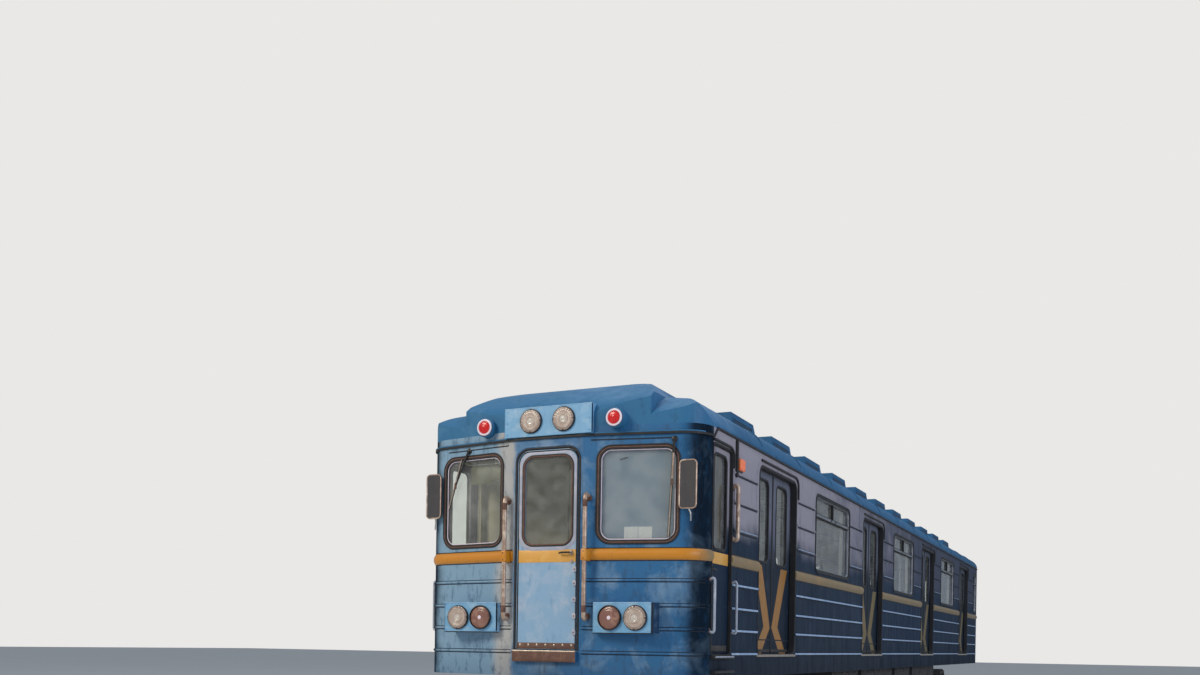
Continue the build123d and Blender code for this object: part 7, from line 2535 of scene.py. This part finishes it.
@dataclass
class RearEnd:
    """Trim of the rear wall and its door: seals, pane rubber, grips, sockets, lamps and air cocks.

    Attributes:
        wall: Y of the rear wall's face.
        leaf: Y of the leaf's face.
        socket: X and height of the sockets.
        valve: X and height of the air cocks.
        grip_x: X of the grips.
    """

    wall: float = REAR_Y
    leaf: float = REAR_Y - 0.004
    socket: tuple[float, float] = (0.76, 1.48)
    valve: tuple[float, float] = (0.33, 1.08)
    grip_x: float = 0.42

    def build(self) -> None:
        """Builds what stays on the wall and what rides on the leaf."""
        self.on_wall()
        self.on_leaf()

    def on_wall(self) -> None:
        """Builds the seal, rain bead, lamps, grips, sockets, step and closed air cocks."""
        piece = Piece("rear_wall_trim", BODY, "rubber_black")
        self.around_door(piece)
        self.tail_lamps(piece)
        self.grips(piece)
        self.sockets(piece)
        # painted shadow lines under and over each bead beside the door
        for z in BEADS:
            for shift, width in BEAD_SHADOW_LINES:
                path = np.array([(x, self.wall + 0.0003, z + shift) for x in (0.39, 1.19)])
                piece.both(SHADOW_AND_SEAM_LINE, carried(rounded_loop(0.002, width, 0.0009, 1), path))
        piece.build(smooth=40)

    def around_door(self, piece: Piece) -> None:
        """Adds the door's seal, the rain bead over it and the step under it.

        Args:
            piece: The piece that takes them.
        """
        door = (0, self.wall, END_DOOR_Z)
        seal = [(-0.018, -0.004), (-0.018, 0.004), (-0.013, 0.007), (-0.004, 0.007), (0.001, 0.003), (0.001, -0.004)]
        piece.add(RUBBER, rim(END_DOOR, 0.03, seal, door, REAR, 4))
        bead = bent(
            [
                (-0.4, self.wall + 0.004, 2.985), (-0.36, self.wall + 0.004, 3.035), (0.36, self.wall + 0.004, 3.035),
                (0.4, self.wall + 0.004, 2.985)],
            0.03)
        piece.add(RUBBER, carried(rounded_loop(0.02, 0.016, 0.004, 2), bead, (0, 1.0, 0)))
        tread = plate((0.612, 0.066), 0.006, bevelled(0.034, 0.004), (0, self.wall, 1.18), REAR, 3)
        nosing = tube([(-0.3, self.wall + 0.034, 1.212), (0.3, self.wall + 0.034, 1.212)], 0.007, 10)
        piece.add(RUSTY, tread)
        piece.add(WORN_STEEL, nosing)

    def tail_lamps(self, piece: Piece) -> None:
        """Adds the red lamps: base, ring and ribbed dome.

        Args:
            piece: The piece that takes them.
        """
        lamp = (0.95, self.wall, 2.9)
        base = turned([(0.05, -0.004), (0.078, -0.004), (0.078, 0.02), (0.072, 0.026), (0.05, 0.026)], lamp, REAR, 30)
        lens = turned(domed(0.066, 0.02, 0.026, 0.024, 0.0006, 18, 0, 89, 16), lamp, REAR, 30)
        ring = turned([(0.05, 0.022), (0.074, 0.022), (0.072, 0.031), (0.064, 0.033), (0.05, 0.03)], lamp, REAR, 30)
        piece.both(REAR_BLUE, base)
        piece.both(PALE_TRIM, ring)
        piece.both(RED, lens)

    def grips(self, piece: Piece) -> None:
        """Adds the upright grips beside the door, on their flanges.

        Args:
            piece: The piece that takes them.
        """
        grip = bent(
            [
                (self.grip_x, self.wall - 0.004, 1.53), (self.grip_x, self.wall + 0.055, 1.53),
                (self.grip_x, self.wall + 0.055, 2.47), (self.grip_x, self.wall - 0.004, 2.47)],
            0.045, 8)
        foot = turned(
            [(0.01, -0.003), (0.028, -0.003), (0.028, 0.004), (0.02, 0.008), (0.01, 0.008)],
            (self.grip_x, self.wall, 1.53), REAR, 16)
        piece.both(CREAM_TUBE, tube(grip, 0.015, 12, (1, 0, 0)))
        piece.both(RUSTY, foot, copies(foot, [(0, 0, 0.94)]))

    def sockets(self, piece: Piece) -> None:
        """Adds the sockets with their sprung lids, and the air cocks with their levers.

        Args:
            piece: The piece that takes them.
        """
        socket = plate(
            (0.17, 0.15), 0.02, [(0, -0.004), (0, 0.04), (0.006, 0.05), (0.014, 0.054)],
            (self.socket[0], self.wall, self.socket[1]), REAR, 4)
        lid = turned(
            [
                (0.02, 0.05), (0.052, 0.05), (0.052, 0.064), (0.046, 0.07), (0.02, 0.072), (0.016, 0.078),
                (0.004, 0.078)],
            (self.socket[0], self.wall, self.socket[1]), REAR, 24)
        spring = tube([(0.7, self.wall + 0.06, 1.53), (0.82, self.wall + 0.06, 1.53)], 0.008, 8)
        piece.both(CAST, socket, lid)
        piece.both(WORN_STEEL, spring)
        valve = turned(
            [
                (0.012, -0.01), (0.03, -0.01), (0.03, 0.02), (0.022, 0.026), (0.022, 0.07), (0.03, 0.074),
                (0.03, 0.09), (0.004, 0.09)],
            (self.valve[0], self.wall, self.valve[1]), REAR, 16)
        lever = bar((0, 0), (0, 0.08), 0.014, -0.004, 0.004, (self.valve[0], self.wall + 0.045, self.valve[1]), REAR)
        piece.both(CAST, valve)
        piece.both(RED, lever)

    def on_leaf(self) -> None:
        """Builds the pane rubber, lever, lock, kick plate and edge seal of the rear door."""
        piece = Piece("rear_door_trim", "rear_door", "body_blue")
        window = (0, self.leaf, END_PANE_Z)
        piece.add(RUBBER, rim(END_PANE, 0.06, PANE_RUBBER, window, REAR, 7))
        piece.add(RUSTY, rim(END_PANE, 0.06, PANE_STRIP, window, REAR, 7))
        edge = [(0.004, -0.002), (0.004, 0.003), (0.008, 0.0055), (0.014, 0.0055), (0.018, 0.003), (0.018, -0.002)]
        piece.add(RUBBER, rim(END_DOOR, 0.024, edge, (0, self.leaf, END_DOOR_Z), REAR, 4))
        band = plate((0.54, 0.108), 0.004, BAND, (0, self.leaf, BELT), REAR, 2)
        kick = plate((0.54, 0.16), 0.006, bevelled(0.003), (0, self.leaf, 1.33), REAR, 2)
        rose = turned(ROSE, (0.225, self.leaf, 1.93), REAR, 18)
        lever = bent(
            [(0.228, self.leaf + 0.034, 1.93), (0.14, self.leaf + 0.036, 1.93), (0.118, self.leaf + 0.02, 1.926)],
            0.015)
        lock = turned(LOCK, (0.225, self.leaf, 1.85), REAR, 16)
        screw = turned([(0.006, 0), (0.006, 0.0045), (0.001, 0.0055)], (0, 0, 0), REAR, 8)
        spots = [(x, self.leaf, z) for x in np.linspace(-0.25, 0.25, 6) for z in (1.265, 1.395)]
        piece.add(FADED_OCHRE, band)
        piece.add(WORN_STEEL, kick, rose, lock)
        piece.add(WIPER, tube(lever, 0.008, 10))
        piece.add(RUSTY, copies(screw, spots))
        piece.build(smooth=38)


@dataclass
class Dressing:
    """Gives the frame's own nodes their finishes.

    Attributes:
        finishes: Finish and material slot for each node name or name start.
    """

    finishes: tuple[tuple[str, Finish | Glazing, str], ...] = (
        ("front_mask", BODY_BLUE, "body_blue"), ("rear_wall", REAR_BLUE, "body_blue"),
        ("side_wall", SIDE_BLUE, "body_blue"), ("roof", ROOF_BLUE, "roof_blue"), ("gutters", RUBBER, "rubber_black"),
        ("belt_moulding", STRIPE, "stripe_ochre"), ("bulkhead", LINING, "lining_cream"),
        ("saloon_seats", SEAT, "seat_brown"), ("grab_rails", CHROME, "chrome_rail"),
        ("body_glass", SMOKED, "window_glass"), ("window_rubbers", RUBBER, "rubber_black"),
        ("lamp_boxes", LAMP_FACE, "body_blue"), ("headlamps", CREAM, "lamp_cream"), ("marker_lamps", RED, "lamp_red"),
        ("handrails", CHROME, "chrome_rail"), ("mirrors", WIPER, "wiper_black"), ("wipers", WIPER, "wiper_black"),
        ("cab_fittings", DESK, "desk_grey"), ("repeater_lamps", ORANGE, "lamp_orange"),
        ("equipment_boxes", UNDERFRAME, "underbody_grey"), ("air_tanks", UNDERFRAME, "underbody_grey"),
        ("underframe", UNDERFRAME, "underbody_grey"), ("front_door_glass", CLEAR, "window_glass"),
        ("front_door", DOOR_BLUE, "body_blue"), ("rear_door_glass", CLEAR, "window_glass"),
        ("rear_door", REAR_BLUE, "body_blue"), ("bulkhead_door", LINING, "lining_cream"),
        ("cab_door_left_glass", CLEAR, "window_glass"), ("cab_door_right_glass", CLEAR, "window_glass"),
        ("cab_door", SIDE_BLUE, "body_blue"), ("leaves", LEAF_BLUE, "body_blue"),
        ("leaf_glass", SMOKED, "window_glass"), ("coupler", CAST, "bogie_grey"), ("bogie_frame", CAST, "bogie_grey"),
        ("bolster", CAST, "bogie_grey"), ("springs", SPRING, "spring_steel"),
        ("motors", UNDERFRAME, "underbody_grey"), ("collectors", TIMBER, "collector_timber"),
        ("wheelset", WHEEL, "wheel_steel"))

    def finish_of(self, name: str) -> tuple[Finish | Glazing, str]:
        """Finds the finish of a node: the longest name start that fits.

        Args:
            name: The node's name.

        Returns:
            The finish and the record's material slot.
        """
        fitting = [row for row in self.finishes if name.startswith(row[0])]
        return max(fitting, key=lambda row: len(row[0]))[1:]

    def apply(self) -> None:
        """Puts each finish on its nodes."""
        for name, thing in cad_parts.items():
            finish, slot = self.finish_of(name)
            thing.data.materials.clear()
            thing.data.materials.append(finish.build())
        LOG.info("dressed %d nodes", len(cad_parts))


@dataclass
class Studio:
    """Floor, lights, world and camera.

    Attributes:
        eye: Camera position.
        yaw: Turn to the left from +Y, in degrees.
        pitch: Turn up from level, in degrees.
        roll: Turn about the line of sight, in degrees.
        lens: Focal length for a 36 mm wide sensor.
        shift: Shift of the picture, as shares of the sensor's width.
    """

    eye: tuple[float, float, float] = (4.553, -18.108, 1.302)
    yaw: float = 25.79
    pitch: float = -0.41
    roll: float = -0.888
    lens: float = 34.19
    shift: tuple[float, float] = (0.0161, 0.263)

    def build(self) -> None:
        """Builds the whole studio."""
        self.camera()
        self.floor()
        self.world()
        self.lamp("key_from_front_left", (-9.0, -24.0, 13.0), (0, -6.0, 1.6), 7.0, 2600.0, "FFF1DE")
        self.lamp("sky_from_above", (2.0, 0, 16.0), (0, 0, 2.0), 14.0, 1500.0, "E6F0FF")
        self.lamp("fill_from_right", (16.0, -14.0, 6.0), (0, -3.0, 1.6), 9.0, 1000.0, "F1F0FF")
        self.lamp("rear_fill", (-10.0, 20.0, 8.0), (0, 4.0, 1.6), 9.0, 900.0, "FFFFFF")

    def camera(self) -> None:
        """Sets the camera where the photograph was taken from."""
        data = bpy.data.cameras.new("photo_camera")
        data.sensor_width = 36.0
        data.lens = self.lens
        data.shift_x, data.shift_y = self.shift
        data.clip_end = 500.0
        camera = bpy.data.objects.new("photo_camera", data)
        camera.location = self.eye
        camera.rotation_euler = tuple(map(math.radians, (90 + self.pitch, self.roll, self.yaw)))
        bpy.context.scene.collection.objects.link(camera)
        bpy.context.scene.camera = camera

    def floor(self) -> None:
        """Lays a wide pale floor on the level that the wheels stand on."""
        reach = 120.0
        corners = [(-reach, -reach, 0), (reach, -reach, 0), (reach, reach, 0), (-reach, reach, 0)]
        mesh = bpy.data.meshes.new("studio_floor")
        mesh.from_pydata(corners, [], [(0, 1, 2, 3)])
        floor = bpy.data.objects.new("studio_floor", mesh)
        bpy.context.scene.collection.objects.link(floor)
        # matt paint rolled on screed: a pale, faintly clouded grey that takes soft shadows
        material = bpy.data.materials.new("pale_floor_paint")
        material.use_nodes = True
        tree = material.node_tree
        shader = tree.nodes["Principled BSDF"]
        where = node(tree, "TexCoord").outputs["Object"]
        cloud = node(tree, "TexNoise", {"Scale": 0.4, "Detail": 4.0}, {"Vector": where})
        colour = node(
            tree, "Mix", {6: linear("CCCAC6"), 7: linear("D6D4D0")}, {0: cloud.outputs["Fac"]}, data_type="RGBA"
        ).outputs[2]
        tree.links.new(colour, shader.inputs["Base Color"])
        shader.inputs["Roughness"].default_value = 0.85
        mesh.materials.append(material)

    def world(self) -> None:
        """Lights the world softly, and shows a pale backdrop to the camera and through glass."""
        world = bpy.data.worlds.new("studio_world")
        world.use_nodes = True
        bpy.context.scene.world = world
        tree = world.node_tree
        tree.nodes.clear()
        path = node(tree, "LightPath")
        seen = node(
            tree, "Math", links={0: path.outputs["Is Camera Ray"], 1: path.outputs["Is Transmission Ray"]},
            operation="MAXIMUM")
        soft = node(tree, "Background", {"Color": linear("C9D6E6"), "Strength": 0.55})
        pale = node(tree, "Background", {"Color": linear("E9E8E6"), "Strength": 1.0})
        mixed = node(tree, "MixShader", links={0: seen.outputs[0], 1: soft.outputs[0], 2: pale.outputs[0]})
        tree.links.new(mixed.outputs[0], node(tree, "OutputWorld").inputs["Surface"])

    @staticmethod
    def lamp(
        name: str, place: tuple[float, float, float], aim: tuple[float, float, float], size: float, power: float,
        colour: str
    ) -> None:
        """Adds one soft square lamp.

        Args:
            name: The lamp's name.
            place: Where it hangs.
            aim: The point that it faces.
            size: Side of the square.
            power: Power in watts.
            colour: sRGB hex colour.
        """
        data = bpy.data.lights.new(name, "AREA")
        data.size = size
        data.energy = power
        data.color = linear(colour)[:3]
        lamp = bpy.data.objects.new(name, data)
        gap = np.array(aim) - np.array(place)
        lamp.location = place
        lamp.rotation_euler = (math.atan2(math.hypot(gap[0], gap[1]), -gap[2]), 0, math.atan2(-gap[0], gap[1]))
        bpy.context.scene.collection.objects.link(lamp)


def main() -> None:
    """Builds the studio, dresses the frame and adds every piece."""
    logging.basicConfig(level=logging.INFO, format="%(message)s")
    bpy.context.scene.view_settings.view_transform = "Standard"
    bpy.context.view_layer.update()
    Studio().build()
    Dressing().apply()
    for assembly in (
        NoseLamps(), CabWindows(), Wipers(), Mirrors(), FrontDoor(), Handrails(), SideTrim(), Leaves(), CrewDoors(),
        RoofTrim(), Bogies(), Underside(), Interior(), RearEnd()
    ):
        assembly.build()


if __name__ == "__main__":
    main()
